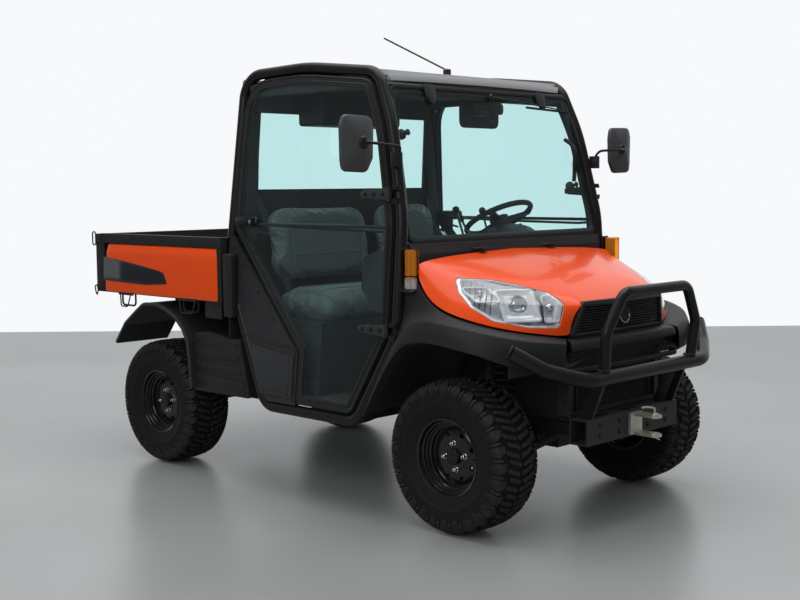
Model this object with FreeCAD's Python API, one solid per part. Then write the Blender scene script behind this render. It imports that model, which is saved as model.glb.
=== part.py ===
import FreeCAD
import Part
import math
import os

# Side by side utility vehicle with a cab, a tipping bed and a brush guard.
# Millimetres. +X points forward, +Y to the left, +Z up, and Z = 0 is the ground.
# Stations along X are written as distances ahead of the rear axle.

# Driving dimensions of the whole vehicle
WHEELBASE = 2010.0
REAR_OVERHANG = 485.0
FRONT_OVERHANG = 550.0
TRACK = 1240.0
REAR_AXLE_X = -(WHEELBASE + FRONT_OVERHANG - REAR_OVERHANG) / 2
SEAT_GAP = 0.3
RUNNING_GAP = 8.0
PIN_GAP = 0.05
CUT_OVERRUN = 40.0
RUN_SHARE = 0.49

# Wheels
TYRE_DIAMETER = 635.0
TYRE_WIDTH = 250.0
TYRE_BEAD_DIAMETER = 320.0
TYRE_SIDES = 36
# Section of the tyre from bead to tread, as shares of its half width and of the height from bead to tread
TYRE_OUTER_SHARES = [(0.96, 0.22), (1.0, 0.51), (0.9, 0.93), (0.66, 1.0)]
TYRE_INNER_SHARES = [(0.7, 0.77), (0.79, 0.51), (0.6, 0.0)]
RIM_DIAMETER = 330.0
RIM_WIDTH = 202.0
RIM_WALL = 7.0
RIM_WELL_DIAMETER = 262.0
# Steps of the barrel behind the outer lip, as shares of the run in to the well and of the drop to it
RIM_STEP_SHARES = [(0.0, 0.0), (0.18, 0.0), (0.22, 0.28), (0.52, 0.34), (0.56, 0.62), (0.88, 0.68), (0.94, 1.0)]
HUB_FACE_OFFSET = 48.0
HUB_DIAMETER = 112.0
HUB_BORE_DIAMETER = 60.0
DISC_HOLE_COUNT = 8
DISC_HOLE_DIAMETER = 24.0
DISC_HOLE_CIRCLE = 196.0

# Axles, knuckles and suspension
KINGPIN_INSET = 92.0
KNUCKLE_RISE = 95.0
KNUCKLE_DROP = 65.0
BALL_STUD_DIAMETER = 24.0
BALL_STUD_LENGTH = 15.0
KNUCKLE_WIDTH = 58.0
STEER_ARM_LENGTH = 104.0
STEER_ARM_WIDTH = 30.0
STEER_ARM_THICKNESS = 16.0
TIE_ROD_DIAMETER = 18.0
TIE_ROD_EYE_HEIGHT = 24.0
RACK_DIAMETER = 46.0
RACK_LENGTH = 300.0
AXLE_TUBE_DIAMETER = 78.0
TRANSAXLE_LENGTH = 360.0
TRANSAXLE_HEIGHT = 160.0
TRANSAXLE_BASE_Z = 270.0
DIFFERENTIAL_LENGTH = 190.0
DIFFERENTIAL_WIDTH = 190.0
DIFFERENTIAL_HEIGHT = 150.0
DIFFERENTIAL_BASE_Z = 268.0
HALF_SHAFT_DIAMETER = 30.0
BOOT_DIAMETER = 74.0
BOOT_LENGTH = 70.0
ARM_TUBE_DIAMETER = 34.0
STRUT_DIAMETER = 52.0
SPRING_DIAMETER = 92.0
SPRING_LENGTH = 190.0
ARM_SPREAD = 170.0
STRUT_TOP_Y = 345.0
STRUT_TOP_Z = 720.0
STRUT_FOOT_Y = 405.0
STRUT_FOOT_Z = 300.0

# Chassis frame
RAIL_HALF_SPACING = 215.0
RAIL_WIDTH = 50.0
RAIL_HEIGHT = 76.0
RAIL_BASE_Z = 372.0
RAIL_REAR = -330.0
SUBFRAME_HALF_SPACING = 300.0
SUBFRAME_TUBE = 44.0
SUBFRAME_TUCK = 9.0
SUBFRAME_TOP_Z = 842.0
DRAWBAR_WIDTH = 90.0
DRAWBAR_THICKNESS = 12.0
DRAWBAR_LENGTH = 90.0
DRAWBAR_HOLE_DIAMETER = 22.0
ENGINE_CLEARANCE = 30.0
ENGINE_LENGTH = 430.0
ENGINE_HEIGHT = 380.0
ENGINE_BASE_Z = 352.0

# Cab sides: a ring of tube in a plane that leans inward
SILL_Z = 430.0
SILL_HALF_WIDTH = 790.0
LEAN_DEGREES = 5.14
CAB_TUBE = 50.0
RING_REAR_SHARE = 0.3005
RING_SETBACK = 265.0
RING_BASE_Z = 415.0
RING_HEIGHT = 1550.0
# Corners of the ring's centre line as shares of its length and height, and the bend at each
RING_SHARES = [
    (0.8160, 0.0, 0.0580),
    (0.2770, 0.0, 0.0645),
    (0.0, 0.4006, 0.2260),
    (0.0447, 0.9935, 0.1484),
    (0.4350, 1.0, 0.7700),
    (0.8335, 0.9677, 0.0700),
    (0.9211, 0.8161, 0.5000),
    (0.9974, 0.5581, 0.3200),
    (1.0, 0.2484, 0.0645),
]

# Roof
ROOF_THICKNESS = 24.0
ROOF_REAR_INSET = 86.0
ROOF_FRONT_INSET = 57.0
ANTENNA_SETBACK = 82.0
ANTENNA_Y = -100.0
ANTENNA_BASE_DIAMETER = 34.0
ANTENNA_BASE_HEIGHT = 26.0
ANTENNA_ROD_DIAMETER = 6.0
ANTENNA_RUN = 405.0
ANTENNA_RISE = 175.0

# Windshield
SHIELD_LEAD = 7.0
SHIELD_BASE_Z = 1180.0
SHIELD_RUN = 150.0
SHIELD_TOP_DROP = 115.0
SHIELD_BEND = 40.0
GLASS_THICKNESS = 6.0

# Doors
DOOR_INSET = 33.0
DOOR_FRAME = 32.0
DOOR_DEPTH = 26.0
DOOR_REAR_SHARE = 0.4873
DOOR_STEP_Z = 690.0
DOOR_BACK_Z = 1240.0
DOOR_STEP_BEND = 40.0
DOOR_BACK_BEND = 110.0
HINGE_SETBACK = 1.5
HINGE_UPPER_Z = 1390.0
HINGE_LOWER_Z = 820.0
HINGE_STANDOFF = 13.0
HINGE_PIN_DIAMETER = 12.0
HINGE_BARREL_DIAMETER = 22.0
HINGE_BARREL_LENGTH = 30.0
HINGE_PLATE_LENGTH = 165.0
HINGE_LEAF_HEIGHT = 26.0
HINGE_PLATE_THICKNESS = 5.0
DOOR_BAR_DIAMETER = 16.0
DOOR_BAR_Z = 1252.0
HANDLE_INSET = 73.5
HANDLE_Z = 1240.0
HANDLE_LENGTH = 120.0
HANDLE_HEIGHT = 46.0
HANDLE_DEPTH = 22.0

# Cab interior
FLOOR_THICKNESS = 26.0
TOE_BOARD_RUN = 235.0
TOE_BOARD_RISE = 400.0
REAR_WALL_THICKNESS = 20.0
REAR_WINDOW_DROP = 189.0
REAR_WINDOW_HEIGHT = 366.0
REAR_WINDOW_BORDER = 40.0
SEAT_BOX_HEIGHT = 330.0
CUSHION_LENGTH = 458.0
CUSHION_THICKNESS = 130.0
PASSENGER_SIDE_ROOM = 150.0
DRIVER_SIDE_ROOM = 195.0
SEAT_SPLIT_Y = 85.0
SEAT_SPACING = 20.0
BACK_GAP = 13.6
BACK_THICKNESS = 100.0
BACK_HEIGHT = 500.0
BACK_RECLINE = 60.0
SOFT_FILLET = 30.0
DASH_LENGTH = 229.0
DASH_TOP_Z = 1150.0
DASH_SIDE_ROOM = 150.0
DASH_TOP_SHARES = [(0.0, 0.35), (0.08, 0.86), (0.5, 1.0), (1.0, 0.97), (1.0, 0.0), (0.42, 0.0)]
COWL_HEIGHT = 112.0
WHEEL_OFFSET = 15.0
STEERING_WHEEL_SETBACK = 55.0
STEERING_WHEEL_Z = 1257.0
STEERING_WHEEL_DIAMETER = 365.0
STEERING_RIM_DIAMETER = 27.0
STEERING_TILT_DEGREES = 28.0
STEERING_HUB_DIAMETER = 96.0
STEERING_HUB_HEIGHT = 46.0
STEERING_SPOKE_WIDTH = 34.0
STEERING_SPOKE_THICKNESS = 12.0
COLUMN_DIAMETER = 58.0
LEVER_DIAMETER = 10.0
LEVER_KNOB_DIAMETER = 34.0

# Hood
HOOD_SETBACK = 226.0
HOOD_LENGTH = 588.0
HOOD_TUCK = 10.0
HOOD_WALL = 14.0
HOOD_TOP_Z = 1136.0
HOOD_BASE_Z = 800.0
# Half outline seen from above, as shares of the hood's length and half width
HOOD_PLAN_SHARES = [
    (0.02, 0.985), (0.2, 1.0), (0.38, 0.99), (0.56, 0.93), (0.70, 0.80), (0.80, 0.64), (0.862, 0.50), (0.975, 0.42),
]
# Top line at the middle and at the edge, as shares of length and height
HOOD_CREST_SHARES = [(0.0, 1.0), (0.22, 0.935), (0.45, 0.82), (0.7, 0.67), (0.88, 0.53), (1.0, 0.42)]
HOOD_SIDE_DROP = 34.0
# Lower edge seen from the side, as shares of length and height
HOOD_HEM_SHARES = [(0.06, 0.89), (0.285, 0.375), (0.42, 0.30), (0.59, 0.21), (0.72, 0.135), (0.84, 0.07), (1.0, 0.0)]
HOOD_FILLET = 22.0
HOOD_HINGE_Y = 250.0
HOOD_HINGE_LENGTH = 40.0
HOOD_HINGE_DIAMETER = 14.0
HOOD_HINGE_PIN_DIAMETER = 8.0
HOOD_HINGE_REACH = 32.0
GRILLE_TUCK = 407.0
GRILLE_FLARE = 48.0
GRILLE_TOP_Z = 938.0
GRILLE_BASE_Z = 802.0
GRILLE_DEPTH = 40.0
GRILLE_BORDER = 8.0
GRILLE_SLAT_COUNT = 11
GRILLE_SLAT = 4.5
GRILLE_POST_SHARES = [-0.66, -0.33, 0.33, 0.66]
BADGE_DIAMETER = 84.0
LAMP_DEPTH = 60.0

# Headlamps: an outline on the hood's corner, seen square to the lens
LAMP_INSET = 266.0
LAMP_TUCK = 22.0
LAMP_BASE_Z = 842.0
LAMP_LENGTH = 420.0
LAMP_HEIGHT = 210.0
LAMP_TURN_DEGREES = 33.3
LAMP_REACH = 260.0
LAMP_BEND = 18.0
LAMP_SHARES = [
    (0.0, 0.97), (0.35, 0.92), (0.6, 0.82), (0.88, 0.67), (1.0, 0.48), (0.93, 0.0), (0.62, 0.03), (0.27, 0.17),
    (0.08, 0.42), (0.0, 0.7),
]

# Front skirt and fenders
FLARE_REACH = 80.0
SKIRT_BASE_Z = 672.0
SKIRT_LEAD = 28.0
SKIRT_WALL = 16.0
SKIRT_TAB_Z = 1030.0
SKIRT_TAB_HEIGHT = 44.0
# Half outlines seen from above, as shares of the length ahead of the cab and of the half width
SKIRT_PLAN_SHARES = [(0.0, 1.0), (0.61, 1.0), (0.80, 0.92), (0.925, 0.735), (0.985, 0.5), (1.0, 0.3)]
FLARE_PLAN_SHARES = [(0.0, 1.0), (0.58, 1.0), (0.80, 0.90), (0.93, 0.70), (0.99, 0.45), (1.0, 0.3)]
FLARE_TUCK = 8.0
ARCH_SETBACK = 424.0
ARCH_LENGTH = 830.0
ARCH_BASE_Z = 443.0
ARCH_HEIGHT = 350.0
ARCH_SHARES = [
    (0.0, 0.0), (0.067, 0.263), (0.164, 0.64), (0.249, 0.871), (0.305, 0.954), (0.407, 1.0),
    (0.538, 0.977), (0.666, 0.937), (0.79, 0.906), (0.912, 0.834), (1.0, 0.789),
]
ARCH_BAND = 58.0

# Brush guard and tow gear
BUMPER_TUBE = 60.0
GUARD_TUBE = 45.0
BUMPER_LEAD = 100.0
BUMPER_Z = 650.0
BUMPER_STRAIGHT_TUCK = 272.0
BUMPER_BEND = 150.0
BUMPER_END_TUCK = 12.0
BUMPER_END_SWEEP = 178.0
BUMPER_END_Z = 775.0
BUMPER_KNEE_TUCK = 117.0
BUMPER_KNEE_SWEEP = 93.0
BUMPER_KNEE_Z = 700.0
GUARD_FOOT_TUCK = 110.0
GUARD_ELBOW_SPREAD = 15.0
GUARD_ELBOW_Z = 830.0
GUARD_TOP_TUCK = 84.0
GUARD_TOP_Z = 990.0
GUARD_LEAN = 34.0
GUARD_BEND = 70.0
BEAM_LEAD = 30.0
BEAM_DEPTH = 90.0
BEAM_HEIGHT = 108.0
BEAM_BASE_Z = 362.0
BEAM_END_MARGIN = 15.0
BEAM_WALL = 8.0
BEAM_SLOT_SHARES = [-0.6, 0.0, 0.6]
BEAM_SLOT_LENGTH = 120.0
BEAM_SLOT_WIDTH = 34.0
POST_THICKNESS = 12.0
POST_WIDTH = 70.0
CLEVIS_WIDTH = 86.0
CLEVIS_HEIGHT = 92.0
CLEVIS_PLATE = 12.0
CLEVIS_PIN_DIAMETER = 22.0

# Mirrors
MIRROR_SETBACK = 25.0
MIRROR_REACH = 132.0
MIRROR_WIDTH = 182.0
MIRROR_BASE_Z = 1476.0
MIRROR_HEIGHT = 232.0
MIRROR_DEPTH = 44.0
MIRROR_ARM_DIAMETER = 14.0
MIRROR_ARM_Z = 1590.0
MIRROR_FILLET = 16.0

# Signal lamps
SIGNAL_LEAD = 24.0
SIGNAL_BASE_Z = 995.0
SIGNAL_HEIGHT = 163.0
SIGNAL_LENGTH = 62.0
SIGNAL_WIDTH = 46.0
SIGNAL_FILLET = 8.0

# Rear fenders and side covers
FENDER_INNER_HALF_WIDTH = 470.0
FENDER_THICKNESS = 16.0
FENDER_REAR = -286.0
FENDER_LENGTH = 667.0
FENDER_BASE_Z = 437.0
FENDER_HEIGHT = 403.0
FENDER_SHARES = [
    (0.0, 0.442), (0.136, 0.71), (0.28, 0.868), (0.393, 0.985), (0.553, 1.0), (0.682, 0.95),
    (0.808, 0.864), (0.905, 0.727), (0.964, 0.561), (1.0, 0.0),
]
COVER_SHARES = [(0.0, 0.0), (0.0, 1.0), (0.65, 0.91), (0.83, 0.93), (1.0, 0.0)]
COVER_LENGTH = 408.0
COVER_TUCK = 28.0
COVER_WALL = 4.0
COVER_DEPTH = 250.0
COVER_BASE_Z = 420.0
COVER_HEIGHT = 302.0

# Bed
BED_REAR = -440.0
BED_LEAD = 15.0
BED_HALF_WIDTH = 777.0
BED_FLOOR_Z = 872.0
BED_FLOOR_THICKNESS = 8.0
BED_WALL = 35.0
BED_RIM_Z = 1180.0
BED_RIM_HEIGHT = 48.0
BED_SILL_HEIGHT = 34.0
BED_POST = 46.0
BED_BEAM_WIDTH = 60.0
BED_PANEL_BULGE = 9.0
BED_SKIN = 4.0
BED_EAR_THICKNESS = 7.7
TAILGATE_PIN_DIAMETER = 12.0
TAILGATE_PIN_LENGTH = 26.0
BED_PIVOT_STATION = -330.0
BED_PIVOT_Z = 800.0
BED_PIVOT_DIAMETER = 24.0
BED_PIVOT_Y = 345.0
BED_LUG_THICKNESS = 12.0
BED_LUG_RADIUS = 24.0
TIE_LOOP_DIAMETER = 10.0
TIE_LOOP_DROP = 62.0
TIE_LOOP_WIDTH = 120.0
TIE_LOOP_FRONT_INSET = 269.0
TIE_LOOP_REAR_INSET = 245.0
TAILGATE_THICKNESS = 38.0
TAILGATE_GAP = 7.0
TAILGATE_PANEL_COUNT = 4
TAILGATE_RIB = 44.0
TAILGATE_PRESS = 7.0

# Bed lift
LIFT_FOOT_STATION = -85.0
LIFT_FOOT_Z = 500.0
LIFT_EYE_STATION = 190.0
LIFT_EYE_Z = 820.0
LIFT_BARREL_DIAMETER = 54.0
LIFT_BARREL_LENGTH = 330.0
LIFT_ROD_DIAMETER = 28.0
LIFT_EYE_WIDTH = 26.0
LIFT_EYE_DIAMETER = 44.0
LIFT_PIN_DIAMETER = 18.0
LIFT_EAR_THICKNESS = 10.0

LEAN = math.radians(LEAN_DEGREES)
LAMP_TURN = math.radians(LAMP_TURN_DEGREES)
WHEEL_CENTRE_Z = TYRE_DIAMETER / 2
HALF_TRACK = TRACK / 2
FRONT_AXLE_X = REAR_AXLE_X + WHEELBASE

# Stations and widths that follow from the values above
RING_REAR = WHEELBASE * RING_REAR_SHARE
RING_FRONT = WHEELBASE - RING_SETBACK
RING_LENGTH = RING_FRONT - RING_REAR
RING_TOP_Z = RING_BASE_Z + RING_HEIGHT
SHIELD_BASE = RING_FRONT + SHIELD_LEAD
SHIELD_TOP = SHIELD_BASE - SHIELD_RUN
SHIELD_TOP_Z = RING_TOP_Z - SHIELD_TOP_DROP
ROOF_REAR = RING_REAR + ROOF_REAR_INSET
ROOF_FRONT = SHIELD_TOP - ROOF_FRONT_INSET
ANTENNA_STATION = ROOF_FRONT - ANTENNA_SETBACK
REAR_WINDOW_TOP_Z = RING_TOP_Z - REAR_WINDOW_DROP
REAR_WINDOW_BASE_Z = REAR_WINDOW_TOP_Z - REAR_WINDOW_HEIGHT
DOOR_REAR = RING_REAR + RING_LENGTH * DOOR_REAR_SHARE
DASH_REAR = RING_FRONT - CAB_TUBE - FLOOR_THICKNESS - SEAT_GAP - DASH_LENGTH
DASH_HALF_WIDTH = SILL_HALF_WIDTH - DASH_SIDE_ROOM
STEERING_WHEEL_STATION = DASH_REAR - STEERING_WHEEL_SETBACK
HOOD_REAR = WHEELBASE - HOOD_SETBACK
HOOD_FRONT = HOOD_REAR + HOOD_LENGTH
FLARE_HALF_WIDTH = SILL_HALF_WIDTH - FLARE_TUCK
SKIRT_HALF_WIDTH = FLARE_HALF_WIDTH - FLARE_REACH
HOOD_HALF_WIDTH = SKIRT_HALF_WIDTH - HOOD_TUCK
GRILLE_HALF_WIDTH = HOOD_HALF_WIDTH - GRILLE_TUCK
BUMPER_STRAIGHT_HALF = SKIRT_HALF_WIDTH - BUMPER_STRAIGHT_TUCK
BUMPER_END_Y = SKIRT_HALF_WIDTH - BUMPER_END_TUCK
BUMPER_KNEE_Y = SKIRT_HALF_WIDTH - BUMPER_KNEE_TUCK
GUARD_FOOT_HALF = BUMPER_STRAIGHT_HALF - GUARD_FOOT_TUCK
GUARD_ELBOW_HALF = GUARD_FOOT_HALF + GUARD_ELBOW_SPREAD
GUARD_TOP_HALF = GUARD_FOOT_HALF - GUARD_TOP_TUCK
BEAM_HALF_WIDTH = GUARD_FOOT_HALF + BEAM_END_MARGIN
LAMP_STATION = HOOD_REAR + LAMP_INSET
LAMP_Y = HOOD_HALF_WIDTH - LAMP_TUCK
SKIRT_FRONT = HOOD_FRONT + SKIRT_LEAD
ARCH_REAR = WHEELBASE - ARCH_SETBACK
BUMPER_FRONT = SKIRT_FRONT + BUMPER_LEAD
BUMPER_END_STATION = BUMPER_FRONT - BUMPER_END_SWEEP
BUMPER_KNEE_STATION = BUMPER_FRONT - BUMPER_KNEE_SWEEP
BEAM_FRONT = SKIRT_FRONT + BEAM_LEAD
MIRROR_STATION = RING_FRONT - MIRROR_SETBACK
MIRROR_Y = SILL_HALF_WIDTH + MIRROR_REACH
SIGNAL_STATION = HOOD_REAR + SIGNAL_LEAD
COVER_HALF_WIDTH = SILL_HALF_WIDTH - COVER_TUCK
BED_FRONT = RING_REAR + BED_LEAD
SUBFRAME_FRONT = BED_FRONT - SUBFRAME_TUCK
RAIL_TOP_Z = RAIL_BASE_Z + RAIL_HEIGHT
RAIL_FRONT = BEAM_FRONT - BEAM_DEPTH - SEAT_GAP
RAIL_INSIDE = RAIL_HALF_SPACING - RAIL_WIDTH / 2
FLOOR_Z = RAIL_TOP_Z + SEAT_GAP


# Basic shapes


def vec(x, y, z):
    return FreeCAD.Vector(x, y, z)


def ahead(distance):
    """X of a station measured forward from the rear axle"""
    return REAR_AXLE_X + distance


def block(x0, x1, y0, y1, z0, z1):
    return Part.makeBox(x1 - x0, y1 - y0, z1 - z0, vec(x0, y0, z0))


def rod(start, end, diameter):
    """A straight round bar between two points"""
    return Part.makeCylinder(diameter / 2, (end - start).Length, start, end - start)


def rounded_corner(before, at, after, bend):
    """The tangent arc at one corner, or None where the corner stays sharp or straight"""
    back = before - at
    onward = after - at
    half = back.getAngle(onward) / 2
    if bend <= 0 or math.cos(half) < 1e-4:
        return None
    reach = min(bend / math.tan(half), back.Length * RUN_SHARE, onward.Length * RUN_SHARE)
    start = at + back * (reach / back.Length)
    end = at + onward * (reach / onward.Length)
    inward = (start + end) * 0.5 - at
    centre = at + inward * (reach / math.cos(half) / inward.Length)
    middle = centre + (at - centre) * (reach * math.tan(half) / (at - centre).Length)
    return start, middle, end


def tangent_wire(points, bends, closed):
    """Straight runs through the points, with the corners rounded by tangent arcs"""
    count = len(points)
    if not isinstance(bends, (list, tuple)):
        bends = [bends] * count
    edges = []
    first = None
    last = None
    for index in range(count):
        inner = closed or 0 < index < count - 1
        arc = None
        if inner:
            arc = rounded_corner(points[index - 1], points[index], points[(index + 1) % count], bends[index])
        enter = arc[0] if arc else points[index]
        leave = arc[2] if arc else points[index]
        if last is not None and last.distanceToPoint(enter) > 1e-6:
            edges.append(Part.LineSegment(last, enter).toShape())
        if arc:
            edges.append(Part.Arc(*arc).toShape())
        if first is None:
            first = enter
        last = leave
    if closed and last.distanceToPoint(first) > 1e-6:
        edges.append(Part.LineSegment(last, first).toShape())
    return Part.Wire(edges)


def side_prism(outline, bends, y0, y1):
    """A plate whose (x, z) outline is carried along Y"""
    points = [vec(x, y0, z) for x, z in outline]
    return Part.Face(tangent_wire(points, bends, True)).extrude(vec(0, y1 - y0, 0))


def plan_prism(outline, bends, z0, z1):
    """A plate whose (x, y) outline is carried along Z"""
    points = [vec(x, y, z0) for x, y in outline]
    return Part.Face(tangent_wire(points, bends, True)).extrude(vec(0, 0, z1 - z0))


def front_prism(outline, bends, x0, x1):
    """A plate whose (y, z) outline is carried along X"""
    points = [vec(x0, y, z) for y, z in outline]
    return Part.Face(tangent_wire(points, bends, True)).extrude(vec(x1 - x0, 0, 0))


def tube(points, diameter, bend):
    """A round bar along straight runs and tangent arcs"""
    path = tangent_wire(points, bend, False)
    ring = Part.Wire(Part.makeCircle(diameter / 2, points[0], points[1] - points[0]))
    return path.makePipeShell([ring], True, False)


def turned(profile, centre, axis):
    """Revolves an outline of (distance along the axis, radius) about the axis through the centre"""
    side = vec(1, 0, 0) if abs(axis.x) < 0.5 else vec(0, 0, 1)
    side = side - axis * side.dot(axis)
    side = side * (1 / side.Length)
    points = [centre + axis * along + side * radius for along, radius in profile]
    face = Part.Face(Part.makePolygon(points + points[:1]))
    return face.revolve(centre, axis, 360)


def mirrored(shape):
    """The same piece on the other side of the vehicle"""
    return shape.mirror(vec(0, 0, 0), vec(0, 1, 0))


def pair(shape):
    return [shape, mirrored(shape)]


def joined(shapes):
    return shapes[0].multiFuse(shapes[1:]).removeSplitter()


def in_box(shares, start, length, base, height):
    """Places a table of shares in a box of named sizes"""
    return [(start + length * share[0], base + height * share[1]) for share in shares]


def inset(points, distance):
    """Moves each side of a closed outline inward by the distance"""
    count = len(points)
    area = sum(points[i - 1][0] * points[i][1] - points[i][0] * points[i - 1][1] for i in range(count))
    turn = math.copysign(1, area)
    moved = []
    for index in range(count):
        before = points[index - 1]
        at = points[index]
        after = points[(index + 1) % count]
        first = math.hypot(at[0] - before[0], at[1] - before[1])
        second = math.hypot(after[0] - at[0], after[1] - at[1])
        one = ((before[1] - at[1]) / first * turn, (at[0] - before[0]) / first * turn)
        two = ((at[1] - after[1]) / second * turn, (after[0] - at[0]) / second * turn)
        reach = distance / (1 + one[0] * two[0] + one[1] * two[1])
        moved.append((at[0] + (one[0] + two[0]) * reach, at[1] + (one[1] + two[1]) * reach))
    return moved


def at_height(low, high, z):
    """The point at height z on the line through two (x, z) points"""
    share = (z - low[1]) / (high[1] - low[1])
    return (low[0] + (high[0] - low[0]) * share, z)


# The leaning side of the cab


def side_y(z, depth):
    """Half width at height z, a depth inside the outer face of the cab's side"""
    return SILL_HALF_WIDTH - (z - SILL_Z) * math.tan(LEAN) - depth / math.cos(LEAN)


def side_place(x, height, depth):
    """A point of the right-hand side plane, a depth inside its outer face"""
    rise = height - SILL_Z
    y = -SILL_HALF_WIDTH + depth * math.cos(LEAN) + rise * math.sin(LEAN)
    return vec(x, y, SILL_Z - depth * math.sin(LEAN) + rise * math.cos(LEAN))


def leaned(shape):
    """Stands a flat side piece, drawn inward from y = 0, in the right-hand side plane"""
    tilted = shape.copy()
    tilted.rotate(vec(0, 0, SILL_Z), vec(1, 0, 0), -LEAN_DEGREES)
    tilted.translate(vec(0, -SILL_HALF_WIDTH, 0))
    return tilted


def cab_core(depth):
    """The space between the two leaning sides, a depth inside their outer faces"""
    low = SILL_Z - CUT_OVERRUN
    high = RING_TOP_Z + CUT_OVERRUN
    outline = [
        (-side_y(low, depth), low),
        (side_y(low, depth), low),
        (side_y(high, depth), high),
        (-side_y(high, depth), high),
    ]
    return front_prism(outline, 0, ahead(RING_REAR - CUT_OVERRUN), ahead(HOOD_FRONT))


def ring_outline():
    return in_box(RING_SHARES, ahead(RING_REAR), RING_LENGTH, RING_BASE_Z, RING_HEIGHT)


def ring_bends(change):
    return [share[2] * RING_HEIGHT + change for share in RING_SHARES]


def ring_rear_line(z):
    """The rear pillar's centre line at a height"""
    outline = ring_outline()
    return at_height(outline[2], outline[3], z)


def edge_at(corners, z):
    """X at height z on the run of corners, going down, or on its last side beyond it"""
    for high, low in zip(corners, corners[1:]):
        if low[1] <= z:
            break
    return at_height(low, high, z)[0]


def front_pillar_x(z):
    """The front pillar's centre line at a height"""
    return edge_at(ring_outline()[5:], z)


def cab_ring(diameter):
    """One side ring of bent tube, swept in two halves that meet on straight runs"""
    outline = ring_outline()
    bends = ring_bends(0)
    depth = CAB_TUBE / 2
    count = len(outline)
    top = 4
    points = [vec(x, depth, z) for x, z in outline]
    low_middle = (points[0] + points[1]) * 0.5
    top_middle = (points[top - 1] + points[top]) * 0.5
    rear = [low_middle] + points[1:top] + [top_middle]
    front = [top_middle] + points[top:count] + [points[0], low_middle]
    rear_half = tube(rear, diameter, [0] + bends[1:top] + [0])
    front_half = tube(front, diameter, [0] + bends[top:count] + [bends[0], 0])
    return leaned(joined([rear_half, front_half]))


def cross_tube(x, height, diameter):
    """A round tube across the cab between the two rings"""
    end = side_place(x, height, CAB_TUBE / 2)
    return rod(end, vec(end.x, -end.y, end.z), diameter)


def header_place():
    """Where the tube above the windshield meets the rings"""
    back = (CAB_TUBE / 2 + SEAT_GAP) / math.cos(shield_slope())
    return ahead(SHIELD_TOP) - back, SHIELD_TOP_Z


def make_cab_frame():
    ring = cab_ring(CAB_TUBE)
    rear_top = ring_rear_line(RING_TOP_Z - CAB_TUBE)
    rear_low = ring_rear_line(REAR_WINDOW_BASE_Z - CAB_TUBE)
    header = header_place()
    tubes = pair(ring)
    tubes.append(cross_tube(rear_top[0], rear_top[1], CAB_TUBE))
    tubes.append(cross_tube(rear_low[0], rear_low[1], CAB_TUBE / 2))
    tubes.append(cross_tube(header[0], header[1], CAB_TUBE))
    for knuckle in hinge_knuckles(True):
        tubes += pair(knuckle)
    return joined(tubes)


# Door hinges


def hinge_place(height):
    """The hinge axis of the right-hand door at a height of the side plane"""
    back = CAB_TUBE / 2 + HINGE_SETBACK
    low = (front_pillar_x(HINGE_LOWER_Z) - back, HINGE_LOWER_Z)
    high = (front_pillar_x(HINGE_UPPER_Z) - back, HINGE_UPPER_Z)
    return side_place(at_height(low, high, height)[0], height, -HINGE_STANDOFF)


def hinge_direction():
    direction = hinge_place(HINGE_UPPER_Z) - hinge_place(HINGE_LOWER_Z)
    return direction * (1 / direction.Length)


def hinge_plate(x0, x1, height, tall):
    """A flat leaf outside the side plane, reaching in to it"""
    outer = -HINGE_STANDOFF - HINGE_PLATE_THICKNESS / 2
    plate = block(x0, x1, outer, outer + HINGE_PLATE_THICKNESS, height - tall / 2, height + tall / 2)
    return leaned(plate)


def hinge_knuckles(fixed):
    """The hinge pieces of the right-hand side: the pillar's ears and pin, or the door's leaf and barrel"""
    pieces = []
    direction = hinge_direction()
    for height in (HINGE_LOWER_Z, HINGE_UPPER_Z):
        centre = hinge_place(height)
        half = HINGE_BARREL_LENGTH / 2
        if fixed:
            pin_end = direction * (half + HINGE_BARREL_LENGTH / 2)
            pin = rod(centre - pin_end, centre + pin_end, HINGE_PIN_DIAMETER)
            ears = []
            for side in (-1, 1):
                near = centre + direction * side * (half + SEAT_GAP)
                far = centre + direction * side * (half + HINGE_BARREL_LENGTH / 2)
                ears.append(rod(near, far, HINGE_BARREL_DIAMETER))
                ears.append(hinge_foot(near, far))
            pieces.append(joined([pin] + ears))
        else:
            barrel = rod(centre - direction * half, centre + direction * half, HINGE_BARREL_DIAMETER)
            bore = rod(centre - direction * half, centre + direction * half, HINGE_PIN_DIAMETER + PIN_GAP * 2)
            leaf = hinge_plate(centre.x - HINGE_PLATE_LENGTH, centre.x, height, HINGE_LEAF_HEIGHT)
            pad = leaned(door_pad(centre.x, height))
            pieces.append(joined([barrel, leaf, pad]).cut(bore))
    return pieces


def hinge_foot(near, far):
    """A short web from a hinge ear forward to the pillar"""
    middle = (near.z + far.z) / 2
    reach = near.y + HINGE_STANDOFF + HINGE_BARREL_DIAMETER / 2
    half = HINGE_BARREL_LENGTH / 5
    return block(near.x, near.x + CAB_TUBE, near.y, reach, middle - half, middle + half)


def door_pad(x, height):
    """The spacer between a hinge leaf and the door's frame"""
    outer = -HINGE_STANDOFF - HINGE_PLATE_THICKNESS / 2
    x1 = x - DOOR_FRAME / 2
    half = HINGE_LEAF_HEIGHT / 2
    return block(x1 - DOOR_FRAME, x1, outer, 0, height - half, height + half)


# Doors


def door_outline():
    """The door's outer edge, a running gap inside the ring and its own step behind"""
    edge = inset(ring_outline(), DOOR_INSET)
    rear = ahead(DOOR_REAR)
    back = at_height(edge[2], edge[3], DOOR_BACK_Z)
    outline = [edge[0], (rear, edge[0][1]), (rear, DOOR_STEP_Z), back] + edge[3:]
    ring = ring_bends(-DOOR_INSET)
    bends = [ring[0], DOOR_STEP_BEND / 2, DOOR_STEP_BEND, DOOR_BACK_BEND] + ring[3:]
    return outline, bends


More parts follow.
